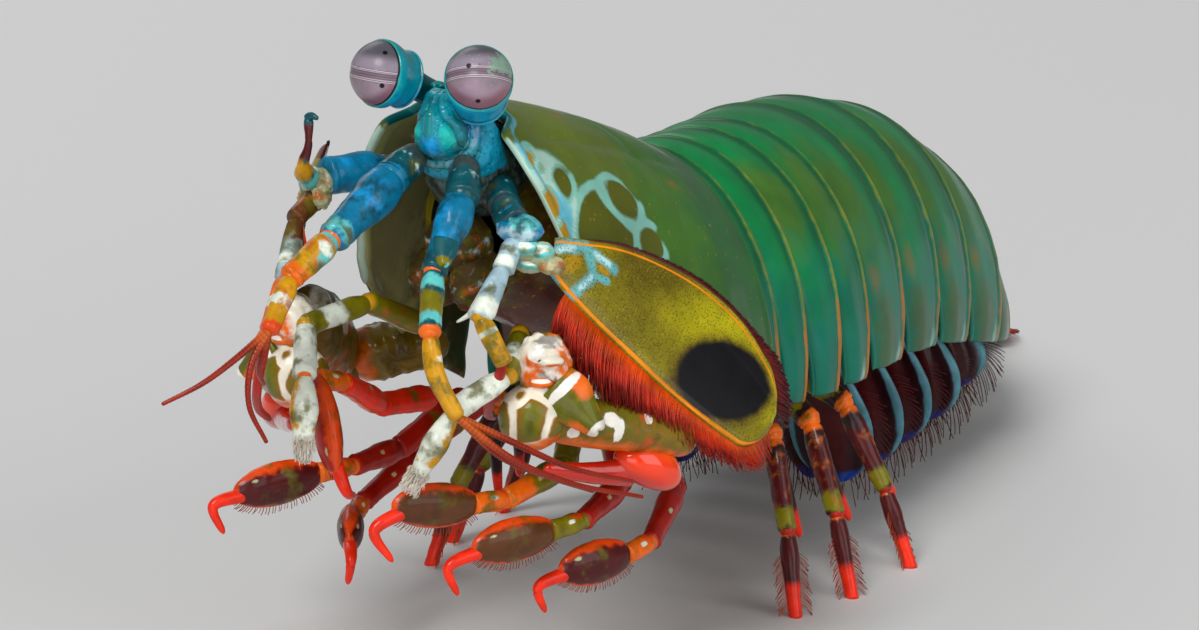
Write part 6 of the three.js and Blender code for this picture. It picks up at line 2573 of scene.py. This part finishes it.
@dataclass
class Cleaners:
    """The first maxillipeds: slender limbs with a brush at the end."""

    routes: dict[str, tuple[Array, ...]] = field(
        default_factory=lambda: {
            "l": (
                vec(5.4, -30.5, 27.5), vec(8.4, -37.6, 30.6), vec(10.6, -43.9, 28.6), vec(7.5, -48.2, 26),
                vec(5.7, -51.6, 20.8)),
            "r": (
                vec(-5.4, -30.5, 28.5), vec(-6.6, -38.4, 32.2), vec(-8.8, -45.8, 31.4),
                vec(-6.4, -50.2, 28.2), vec(-4.8, -53.2, 22.8))})
    hairs: int = 460
    finish: Finish = limb_finish("cleaning limb", 0xB8860C)
    brush: Finish = Finish(
        "cleaning brush", 0xD8B890, (Layer(0xF2EADA, "along", 0.1, 0.7),), mottle=0.15, bump=0.0,
        rough=(0.5, 0.6), coat=0.1, glow=0.2)

    def segments(self) -> tuple[Segment, ...]:
        """The four segments from the body outwards."""
        pale = ("white", "moss", *bands("orange", (0.9, 1.1)))
        return (
            Segment(1.1, 1, ("olive", "rust")),
            Segment(1.05, 1, ("olive", *bands("white", (0.4, 0.8)), "moss"), joint="yellow"),
            Segment(1, 1.1, pale, joint="yellow"),
            Segment(
                0.8, 0.8, ("yellow", "moss", *spots("white", (0.45, 0.6, -0.15, 0.45), (0.95, 0.2))),
                flat=0.85, joint="orange", swell=0.5))

    def tuft(self, wrist: Array, end: Array) -> Tufts:
        """The brush: hairs that stand out round the last half of the last segment.

        Args:
            wrist: Where the last segment starts.
            end: Where it ends.

        Returns:
            The tufts.
        """
        rng = np.random.default_rng(SEED)
        way, side, lift = upright(end - wrist)
        share = rng.uniform(0.92, 1.14, self.hairs)
        angle = rng.uniform(0, 2 * math.pi, self.hairs)
        out = np.cos(angle)[:, None] * side + np.sin(angle)[:, None] * lift
        radius = 0.85 * np.sqrt(np.clip(1 - ((share - 0.9) / 0.26) ** 2, 0.05, 1))
        roots = wrist + share[:, None] * (end - wrist) + out * radius[:, None]
        lean = out * 1.2 + way * (8 * (share[:, None] - 0.85))
        place = np.stack([share / 1.2, angle / (2 * math.pi)], -1) * 0.9 + 0.05
        reach = 0.35 + 0.55 * smooth(0.94, 1.12, share)
        return Tufts(roots, lean, np.tile(way, (self.hairs, 1)), reach, 0.03, 0.5, 0.35, place)

    def build(self, shop: Workshop) -> None:
        """Makes both limbs and their brushes."""
        for side, route in self.routes.items():
            limbs = limb(route, self.segments())
            shop.piece(f"cleaning_limb_{side}", limbs, self.finish, Slot.CLEANER, [f"maxilliped_1_{side}"])
            shop.fringe(
                f"cleaning_brush_{side}", [self.tuft(route[-2], route[-1])], self.brush, Slot.CLEANER)


@dataclass(frozen=True)
class Grasper:
    """One grasping limb: its arm's joints, the end of its hand, its finger and its colours."""

    name: str
    arm: tuple[Array, ...]
    end: Array
    finger: tuple[Array, ...]
    main: str = "blood"
    hand: str = "maroon"
    accent: str = "orange"


@dataclass
class Graspers:
    """The third to fifth maxillipeds: an arm, a flat round hand with a toothed rim and a hooked finger."""

    limbs: tuple[Grasper, ...] = (
        Grasper(
            "maxilliped_3_l",
            (vec(7.4, -25, 20.4), vec(10.4, -33, 17.8), vec(8.8, -41, 16.4), vec(7.4, -44.4, 16.6)),
            vec(3.4, -51.4, 17.6), (vec(3.6, -51.2, 17.2), vec(2.2, -53.2, 15.6), vec(3.6, -52.4, 12.8)),
            "olive", "brown", "orange"),
        Grasper(
            "maxilliped_3_r",
            (vec(-7.4, -25, 20.4), vec(-8.2, -33.4, 21.4), vec(-7.8, -41, 25.2), vec(-8.6, -44.2, 26.2)),
            vec(-5.2, -47.2, 18.8), (vec(-5.2, -47, 19.2), vec(-4, -47.2, 17), vec(-4.6, -44.8, 16)),
            "red", "blood", "orange"),
        Grasper(
            "maxilliped_4_l",
            (vec(7.4, -18.5, 19.4), vec(12.4, -25.5, 14.6), vec(12.8, -34, 13.2), vec(11.6, -37.6, 13)),
            vec(7.6, -44.6, 12.6), (vec(7.7, -44.4, 12.3), vec(6, -46.8, 11), vec(6.8, -46.4, 8.6)),
            "blood", "brown", "olive"),
        Grasper(
            "maxilliped_4_r",
            (
                vec(-7.4, -18.5, 19.4), vec(-10.4, -26.5, 15.4), vec(-10.6, -34.6, 15.6),
                vec(-11.8, -38.8, 15.8)),
            vec(-16.2, -45.8, 15), (vec(-16, -45.6, 14.8), vec(-17.6, -47.8, 14), vec(-16.6, -47.6, 11.6))),
        Grasper(
            "maxilliped_5_l",
            (vec(7.4, -12.5, 18.6), vec(14, -17.5, 12.4), vec(15.6, -26, 9.6), vec(15, -29.4, 9.2)),
            vec(11.6, -35.6, 8.8), (vec(11.7, -35.4, 8.5), vec(10.2, -37.8, 7.4), vec(10.8, -37.4, 5.2))),
        Grasper(
            "maxilliped_5_r",
            (
                vec(-7.4, -12.5, 18.6), vec(-13.6, -17.5, 12.4), vec(-14.6, -26, 9.6),
                vec(-13.8, -29.4, 9.2)),
            vec(-10.4, -35.8, 8.8), (vec(-10.5, -35.6, 8.5), vec(-9, -38, 7.4), vec(-9.6, -37.6, 5.2))))
    thick: float = 1.25
    deep: float = 1.95
    spare: float = 0.4
    teeth: int = 34
    finish: Finish = limb_finish("grasping limb", Hue.BLOOD)
    bristles: Finish = Finish(
        "grasping bristles", 0x9C3A14, (), mottle=0.2, bump=0.0, rough=(0.4, 0.5), coat=0.3)

    def body(self, one: Grasper) -> list[Patch]:
        """The arm, hand and finger of one limb.

        Args:
            one: The limb.

        Returns:
            Its bodies.
        """
        arm = limb(
            one.arm,
            (
                Segment(1.25, 1.15, (one.main, Mark(one.accent, 0.3, 0.25), Mark("moss", 0.5, 0.6))),
                Segment(
                    1.2, 1,
                    (
                        one.main, Mark(one.accent, 0.8, 0.25), Mark("cream", 0.5, 0.05, -0.3, 0.08),
                        Mark("ember", 0.5, 0.6, 1, 0.2)),
                    joint=one.main),
                Segment(
                    0.95, 0.95,
                    (
                        one.accent, Mark("white", 0.5, 0.13, -0.3, 0.1), "moss",
                        Mark("ember", 0.2, 0.3, 0, 0.4)),
                    joint=one.accent)))
        wrist = one.arm[-1]
        along = one.end - wrist
        way, side, lift = upright(along)
        half = np.linalg.norm(along) / 2 + self.spare
        axes = np.stack([side * self.thick, lift * self.deep, way * half])
        hand = ball((wrist + one.end) / 2, axes, 34, 44)
        ring = 0.1 * bell(np.abs(np.cos(hand.values["turn"] * math.pi)), 1, 0.1)
        hand.points = hand.points + unit(hand.points - hand.points.mean(axis=0)) * (
            ring + 0.05 * ripple(hand.points, 1.8, 3))[:, None]
        marks = [
            one.hand, Mark("moss", 0.5, 0.7),
            *spots("ember", (0.5, 0.7, 0, 0.3), (0.5, 0.54, 1, 0.2), (0.97, 0.16), (0.03, 0.12)),
            *spots("cream", (0.3, 0.04, -0.28, 0.05), (0.3, 0.04, 0.28, 0.05))]
        hook = rod((wrist * 0.08 + one.finger[0] * 0.92, *one.finger[1:]), (0.7, 0.6, 0.45, 0.28), ["red"])
        return [*arm, marked(hand, marks), hook]

    def hairs(self, one: Grasper) -> Tufts:
        """Short bristles along the hand's lower rim and the arm.

        Args:
            one: The limb.

        Returns:
            The tufts.
        """
        wrist = one.arm[-1]
        way, _, lift = upright(one.end - wrist)
        half = np.linalg.norm(one.end - wrist) / 2 + self.spare
        angle = np.linspace(0.15, 0.85, self.teeth) * math.pi
        out = np.cos(angle)[:, None] * way * -1 - np.sin(angle)[:, None] * lift
        centre = (wrist + one.end) / 2
        roots = centre - np.cos(angle)[:, None] * way * half - np.sin(angle)[:, None] * lift * self.deep
        place = np.stack([angle / 3.2, np.full(self.teeth, 0.5)], -1)
        return Tufts(
            roots, out, np.tile(way, (self.teeth, 1)), np.full(self.teeth, 0.8), 0.05, 0.2, 0.15, place)

    def build(self, shop: Workshop) -> None:
        """Makes the six limbs."""
        for one in self.limbs:
            shop.piece(f"grasper_{one.name[-3:]}", self.body(one), self.finish, Slot.GRASPER, [one.name])
        shop.fringe("grasper_bristles", [self.hairs(one) for one in self.limbs], self.bristles, Slot.GRASPER)


def grounded(patch: Patch) -> Patch:
    """The patch with whatever would pass the floor pressed flat on it."""
    patch.points[:, 2] = np.maximum(patch.points[:, 2], FLOOR)
    return patch


@dataclass
class Walkers:
    """The three pairs of walking legs that the model stands on."""

    spine: Spine
    legs: tuple[tuple[int, tuple[Array, ...], Array], ...] = (
        (1, (vec(14.8, 2.2, 13), vec(18, -1.2, 4.8), vec(20, -3.4, -3.3)), vec(16.6, 4.8, 2.4)),
        (2, (vec(15.6, 9.2, 13), vec(19.6, 6.6, 4.8), vec(22.2, 5, -3.3)), vec(18.4, 12.6, 2.4)),
        (3, (vec(15.6, 17.2, 13), vec(20, 17.4, 4.8), vec(23, 17.4, -3.3)), vec(18.8, 22.8, 2.4)))
    root_across: float = 9.6
    root_drop: float = 3.2
    finish: Finish = limb_finish("walking leg", 0x2A1216)
    bristles: Finish = Finish(
        "walking leg bristles", 0xA83A1E, (), mottle=0.2, bump=0.0, rough=(0.4, 0.5), coat=0.3)

    def root(self, i: int, sign: float) -> Array:
        """Where a leg leaves the belly."""
        at, side, up, _, height = self.spine.section(i + 0.45)
        return at + sign * self.root_across * side + (STERNUM_RISE - height - self.root_drop) * up

    def leg(self, i: int, joints: Sequence[Array], branch: Array, sign: float) -> tuple[list[Patch], Tufts]:
        """One leg and the bristles of its last segment.

        Args:
            i: The ring that it grows from.
            joints: Its joints below the root.
            branch: The tip of its side branch.
            sign: 1 on the left side, -1 on the right.

        Returns:
            The bodies and the tufts.
        """
        mirror = vec(sign, 1, 1)
        knees = [self.root(i, sign), *(p * mirror for p in joints)]
        split = knees[1] * 0.8 + knees[2] * 0.2
        body = limb(
            knees,
            (
                Segment(1.45, 1.15, ("moss", Mark("olive", 0.5, 0.3), Mark("orange", 0.95, 0.12))),
                Segment(
                    1.1, 0.95,
                    (
                        Mark("maroon", 0.5, 0.3), "rust", Mark("orange", 0.04, 0.1),
                        Mark("olive", 0.85, 0.16)),
                    joint="orange"),
                Segment(
                    0.9, 0.7,
                    (Mark("maroon", 0.3, 0.3), Mark("red", 0.8, 0.3), Mark("orange", 0.02, 0.08)),
                    joint="blood")))
        body.append(
            rod(
                (split, (split + branch * mirror) / 2, branch * mirror), (0.75, 0.7, 0.55, 0.4),
                [Mark("red", 0.9, 0.3)]))
        share = np.tile(np.linspace(0.25, 0.85, 26), 2)
        start, end = knees[2], knees[3]
        side = unit(np.cross(end - start, UP))
        out = np.where(np.arange(52) < 26, 1.0, -1.0)[:, None] * side
        roots = start + share[:, None] * (end - start) + out * 0.6
        lean = out + unit(end - start) * 0.5
        place = np.stack([share, 0.5 + 0.2 * out[:, 0]], -1)
        return [grounded(patch) for patch in body], Tufts(
            roots, lean, np.tile(unit(end - start), (52, 1)), np.full(52, 1.5), 0.045, 0.3, 0.12, place)

    def build(self, shop: Workshop) -> None:
        """Makes the six legs.

        Args:
            shop: Makes and places the pieces.
        """
        tufts = []
        for number, (i, joints, branch) in enumerate(self.legs, 1):
            for side, sign in SIDES.items():
                body, hairs = self.leg(i, joints, branch, sign)
                tufts.append(hairs)
                name = f"walking_leg_{number}_{side}"
                shop.piece(f"leg_{number}_{side}", body, self.finish, Slot.WALKING_LEG, [name])
        shop.fringe("leg_bristles", tufts, self.bristles, Slot.WALKING_LEG)


@dataclass
class TailFan:
    """The telson with its keels and teeth, and a uropod on each side.

    Points are (left, back, up) in the tail.
    """

    spine: Spine
    turn: float = 6.0
    forward: float = 6.0
    outline: tuple[tuple[float, float, float], ...] = (
        (0, 8.4, 0), (0.1, 11.3, 0), (0.45, 12.9, 0), (0.74, 11.4, 0), (0.9, 8.4, 0), (1, 6.4, 0))
    finish: Finish = Finish(
        "tail fan", 0x0E6A3C,
        (
            Layer(Hue.DEEP_GREEN, "root", 0.2, 0.9, 0.3, 0.4, 0.9),
            Layer(Hue.OLIVE_YELLOW, "flank", 0.2, 0.9, 0.5, 0.5, 0.7),
            Layer(Hue.TEAL, "teal", 0, 0.6, 0.3, 0.5, 0.8),
            Layer(0xC8B030, "keel", 0.3, 0.9, 0.3, 0.8, 0.75), Layer(0xC23A0C, "rim", 0.2, 0.8, 0.2, 0.8),
            Layer(Hue.AZURE, "azure", 0, 0.4, 0.2, 0.8), Layer(Hue.RED, "red", 0, 0.4, 0.1, 0.8),
            Layer(Hue.BUFF, "white", 0, 0.3, 0.1, 1)),
        dots=(Dots(Hue.DEEP_GREEN, 1.2, 0.35, 0.25, 0.4),), mottle=0.2, grain=0.7, bump=0.3, coat=0.6)
    hair: Finish = Finish(
        "tail fringe", 0xC8300A, (Layer(0x6A0E0A, "along", 0.3, 1),), bump=0.0, rough=(0.4, 0.5),
        coat=0.3, glow=0.15)

    def place(self, x: float, y: float, z: float) -> Array:
        """A point of the tail in the animal's frame.

        Args:
            x: Millimetres to the left.
            y: Millimetres back.
            z: Millimetres above the floor.

        Returns:
            The point.
        """
        at, _, up, _, _ = self.spine.section(float(len(SOMITES)))
        back = heading(0, SOMITES[-1].yaw + self.turn)
        left = np.cross(back, UP)
        root = vec(at[0], at[1], 0) - self.forward * vec(up[0], up[1], 0)
        return root + x * left + y * back + (FLOOR + z) * UP

    def telson(self) -> list[Patch]:
        """The tail plate and its teeth.

        Returns:
            The plate and its teeth.
        """
        leaf = Leaf(self.place(0, 0.8, 12.2), self.place(0, 23.5, 1.3), UP, self.outline, 2, 1.7)

        def relief(share: Array, turn: Array) -> Array:
            """Keels that run back, and knobs where they end.

            Args:
                share: Shares of the length.
                turn: Places across it.

            Returns:
                Heights in millimetres.
            """
            side = np.abs(turn)
            height = 0.7 * bell(turn, 0, 0.045) * smooth(0.05, 0.2, share) * (1 - smooth(0.8, 0.9, share))
            for at, wide, low, high in (
                (0.22, 0.04, 0.2, 0.78), (0.45, 0.045, 0.3, 0.86), (0.72, 0.05, 0.15, 0.8)):
                line = at * (1 - 0.25 * share) + 0.02
                height = height + 0.55 * bell(side, line, wide) * smooth(low, low + 0.15, share) * (
                    1 - smooth(high, high + 0.1, share))
            return height + 0.35 * bell(side, 0.93, 0.06)

        patch = leaf.patch((), 110, 120, relief)
        share, side = patch.values["share"], np.abs(patch.values["turn"])
        patch.values |= {
            "root": smooth(0.35, 0.0, share), "flank": bell(side, 0.58, 0.16) * smooth(0.1, 0.5, share),
            "teal": bell(share, 0.62, 0.16) * bell(side, 0.3, 0.12) * 1.4 - 0.4,
            "keel": relief(share, patch.values["turn"]) * 1.5 - smooth(0.9, 0.97, side),
            "rim": np.maximum(smooth(0.9, 0.98, side), smooth(0.9, 0.98, share))}
        teeth = []
        along = unit(leaf.tip - leaf.root)
        for share_at, turn_at, size, length in (
            (0.985, 0.42, 0.95, 3.0), (0.86, 0.94, 0.85, 2.6), (0.58, 0.98, 0.7, 2.2)):
            for sign in SIDES.values():
                start = leaf.at(np.array([share_at - 0.08]), np.array([turn_at * sign]))[0]
                tip = start + along * (length + 1.6) + leaf.axes()[1] * 0.25 * sign
                teeth.append(
                    rod(
                        (start, (start + tip) / 2 + UP * 0.1, tip), (0.5 * size, size, 0.7 * size, 0.25),
                        [Mark("red", 0.6, 0.35), Mark("white", 1, 0.2)]))
        for number in range(12):
            turn_at = -0.33 + 0.06 * number
            start = leaf.at(np.array([0.985]), np.array([turn_at]))[0]
            teeth.append(
                rod(
                    (start, start + along * 0.7, start + along * 1.3), (0.26, 0.26, 0.2, 0.12), ["white"],
                    steps=4, sides=8))
        return [grounded(body) for body in (patch, *teeth)]

    def uropod(self, sign: float) -> tuple[list[Patch], list[Tufts]]:
        """One uropod: stem, forked spine, outer arm with its blade and spines, and inner blade.

        Args:
            sign: 1 on the left side, -1 on the right.

        Returns:
            The bodies and the tufts.
        """

        def at(x: float, y: float, z: float) -> Array:
            """A point on this side of the tail."""
            return self.place(x * sign, y, z)

        joint, fork = at(12.6, 4.2, 5.2), at(11.2, 3.4, 3.8)
        bodies = [
            rod(
                (at(9.2, -1.6, 7.8), at(11.2, 1.2, 6.8), joint), (2.0, 2.3, 2.4),
                [Mark("azure", 0.8, 0.3, 0, 0.3), Mark("flank", 0.3, 0.4)]),
            rod(
                (fork, at(10.6, 9.5, 2.4), at(9.4, 15.5, 0.5)), (1.2, 1.1, 0.9, 0.4),
                [Mark("red", 0.7, 0.3), Mark("white", 1, 0.15)]),
            rod(
                (fork, at(12.4, 8.4, 2.2), at(12.8, 13.2, 0.5)), (1.1, 1.0, 0.8, 0.4),
                [Mark("red", 0.7, 0.3), Mark("white", 1, 0.15)]),
            rod(
                (at(12.8, 3.6, 5.2), at(16.2, 8, 4.1), at(19.2, 12.6, 2.6)), (1.5, 1.8, 1.9),
                [Mark("azure", 0.6, 0.3, 0, 0.4), Mark("flank", 0.2, 0.3)], flat=0.8)]
        for number in range(9):
            share = 0.3 + 0.085 * number
            start = at(12.8 + 6.6 * share + 1.2, 3.6 + 9 * share - 0.6, 5.2 - 2.6 * share)
            tip = start + (at(1.1, 1.5, 0) - at(0, 0, 0)) * (0.8 + 0.8 * share) - UP * 0.2
            bodies.append(
                rod((start, (start + tip) / 2, tip), (0.28, 0.32, 0.24, 0.12), ["red"], steps=5, sides=8))
        paddle = ((0, 1.6, 0), (0.2, 2.9, 0), (0.55, 4.0, 0), (0.85, 3.5, 0), (1, 2.4, 0))
        tufts = []
        for root, tip, paint in (
            (at(18.8, 12.0, 2.6), at(22.2, 23, 0.6), "azure"),
            (at(13.8, 5.6, 3.6), at(14.8, 21.8, 0.6), "teal")):
            leaf = Leaf(root, tip, UP, paddle, 0.9, 0.3)
            marks = [Mark(paint, 0.45, 0.5, 0, 0.6), Mark("red", 1, 0.3)]
            bodies.append(leaf.patch(marks, 34, 22, lambda s, t: 0.3 * bell(t, 0, 0.08)))
            for edge in (1.0, -1.0):
                share = np.linspace(0.15, 0.999, 70)
                roots, way = leaf.border(share, edge)
                along = unit(leaf.tip - leaf.root)
                lean = way + along * (0.5 + 1.5 * smooth(0.85, 1.0, share))[:, None]
                place = np.stack([0.05 + 0.9 * share, np.full(70, 0.5 + 0.4 * edge)], -1)
                tufts.append(
                    Tufts(
                        roots - way * 0.2, lean, np.tile(along, (70, 1)), 1.2 + 1.0 * share, 0.05, 0.15,
                        0.08, place))
        return [grounded(body) for body in bodies], tufts

    def build(self, shop: Workshop) -> None:
        """Makes the tail fan.

        Args:
            shop: Makes and places the pieces.
        """
        shop.piece("telson_plate", self.telson(), self.finish, Slot.TAIL_FAN, ["telson"])
        fringes = []
        for side, sign in SIDES.items():
            bodies, tufts = self.uropod(sign)
            fringes += tufts
            shop.piece(f"uropod_blades_{side}", bodies, self.finish, Slot.TAIL_FAN, [f"uropod_{side}"])
        shop.fringe("uropod_fringe", fringes, self.hair, Slot.TAIL_FAN)


@dataclass
class Studio:
    """The camera where the photograph was taken from, the lamps and the floor."""

    target: Array = field(default_factory=lambda: vec(0, -38, 53))
    distance: float = 420.0
    azimuth: float = 27.0
    elevation: float = 13.0
    width: int = 1199
    height: int = 630
    pixels_per_mm: float = 11.3
    target_pixel: tuple[float, float] = (433.0, 80.0)
    sensor: float = 36.0
    key: Array = field(default_factory=lambda: vec(0.05, -0.62, 0.72))
    key_angle: float = 27.0
    key_power: float = 1.95
    lamps: tuple[tuple[str, Array, float, float], ...] = (
        ("fill_lamp", vec(0.75, -0.25, 0.35), 0.6, 2.2), ("front_lamp", vec(0.3, -0.85, 0.1), 0.5, 1.3),
        ("rim_lamp", vec(-0.6, 0.45, 0.6), 0.5, 1.2))

    def camera(self, shop: Workshop) -> Thing:
        """The camera.

        Args:
            shop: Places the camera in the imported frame.

        Returns:
            The camera's object.
        """
        a, e = math.radians(self.azimuth), math.radians(self.elevation)
        ahead = vec(-math.sin(a) * math.cos(e), math.cos(a) * math.cos(e), -math.sin(e))
        right = vec(math.cos(a), math.sin(a), 0)
        up = np.cross(right, ahead)
        focal = self.distance * self.pixels_per_mm
        aside = (self.target_pixel[0] - self.width / 2) / focal * right
        lift = (self.height / 2 - self.target_pixel[1]) / focal * up
        at = shop.placed(self.target - self.distance * (ahead + aside + lift))
        lens = bpy.data.cameras.new("camera")
        lens.sensor_width = self.sensor
        lens.lens = self.sensor * focal / self.width
        lens.clip_start = 0.01
        camera = bpy.data.objects.new("camera", lens)
        turned = Matrix([right, up, -ahead]).transposed().to_4x4()
        camera.matrix_world = Matrix.Translation(Vector(at)) @ turned
        return camera

    def lamp(self, name: str, at: Array, size: float, power: float) -> Thing:
        """A soft square lamp that faces the animal.

        Args:
            name: The lamp's name.
            at: Where it stands, in metres.
            size: Its side.
            power: Its power in watts.

        Returns:
            The lamp's object.
        """
        light = bpy.data.lights.new(name, "AREA")
        light.size, light.energy = size, power
        lamp = bpy.data.objects.new(name, light)
        lamp.matrix_world = Matrix.Translation(at) @ Vector(at).to_track_quat("Z", "Y").to_matrix().to_4x4()
        return lamp

    def sun(self) -> Thing:
        """The soft key light, the same all over the floor.

        Returns:
            The lamp's object.
        """
        light = bpy.data.lights.new("key_lamp", "SUN")
        light.angle, light.energy = math.radians(self.key_angle), self.key_power
        sun = bpy.data.objects.new("key_lamp", light)
        sun.matrix_world = Vector(self.key).to_track_quat("Z", "Y").to_matrix().to_4x4()
        return sun

    def floor(self) -> Thing:
        """A wide pale floor.

        Returns:
            The floor's object.
        """
        mesh = bpy.data.meshes.new("floor")
        reach = 6.0
        corners = [(-reach, -reach, 0), (reach, -reach, 0), (reach, reach, 0), (-reach, reach, 0)]
        mesh.from_pydata(corners, [], [(0, 1, 2, 3)])
        material = bpy.data.materials.new("floor")
        material.use_nodes = True
        shader = material.node_tree.nodes["Principled BSDF"]
        shader.inputs["Base Color"].default_value = (0.72, 0.72, 0.71, 1)
        shader.inputs["Roughness"].default_value = 0.6
        mesh.materials.append(material)
        return bpy.data.objects.new("floor", mesh)

    def build(self, shop: Workshop) -> None:
        """Sets up the studio.

        Args:
            shop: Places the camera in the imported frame.
        """
        camera = self.camera(shop)
        things = [camera, self.floor(), self.sun(), *(self.lamp(*row) for row in self.lamps)]
        for thing in things:
            bpy.context.scene.collection.objects.link(thing)
        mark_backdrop(*things)
        bpy.context.scene.camera = camera
        bpy.context.scene.view_settings.view_transform = "Standard"
        world = bpy.data.worlds.new("studio")
        world.use_nodes = True
        nodes = Nodes(world.node_tree)
        world.node_tree.nodes.clear()
        tint_of_air = (0.9, 0.92, 0.95, 1)
        light, seen = (
            nodes.add("ShaderNodeBackground", {"Color": tint_of_air, "Strength": power}).outputs[0]
            for power in (0.22, 0.6)
        )
        ray = nodes.add("ShaderNodeLightPath").outputs["Is Camera Ray"]
        mixed = nodes.add("ShaderNodeMixShader", {0: ray, 1: light, 2: seen})
        nodes.tree.links.new(mixed.outputs[0], nodes.add("ShaderNodeOutputWorld").inputs["Surface"])
        bpy.context.scene.world = world


def corners(box: tuple[Vector, Vector]) -> list[list[float]]:
    """Both corners of a box as plain lists."""
    return [list(corner) for corner in box]


def main() -> None:
    """Builds the animal and its studio."""
    logging.basicConfig(level=logging.INFO, format="%(message)s")
    shop = Workshop(LEFT_CORNEA)
    trunk = trunk_spine()
    for part in (
        Flesh(trunk), Tergites(trunk), Pleopods(trunk), Carapace(saddle_spine()), Head(), Eyes(),
        Antennules(), Antennae(), Scales(), Mouth(), Claws(), Cleaners(), Graspers(), Walkers(trunk),
        TailFan(trunk), Studio()):
        part.build(shop)
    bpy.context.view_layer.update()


if __name__ == "__main__":
    main()
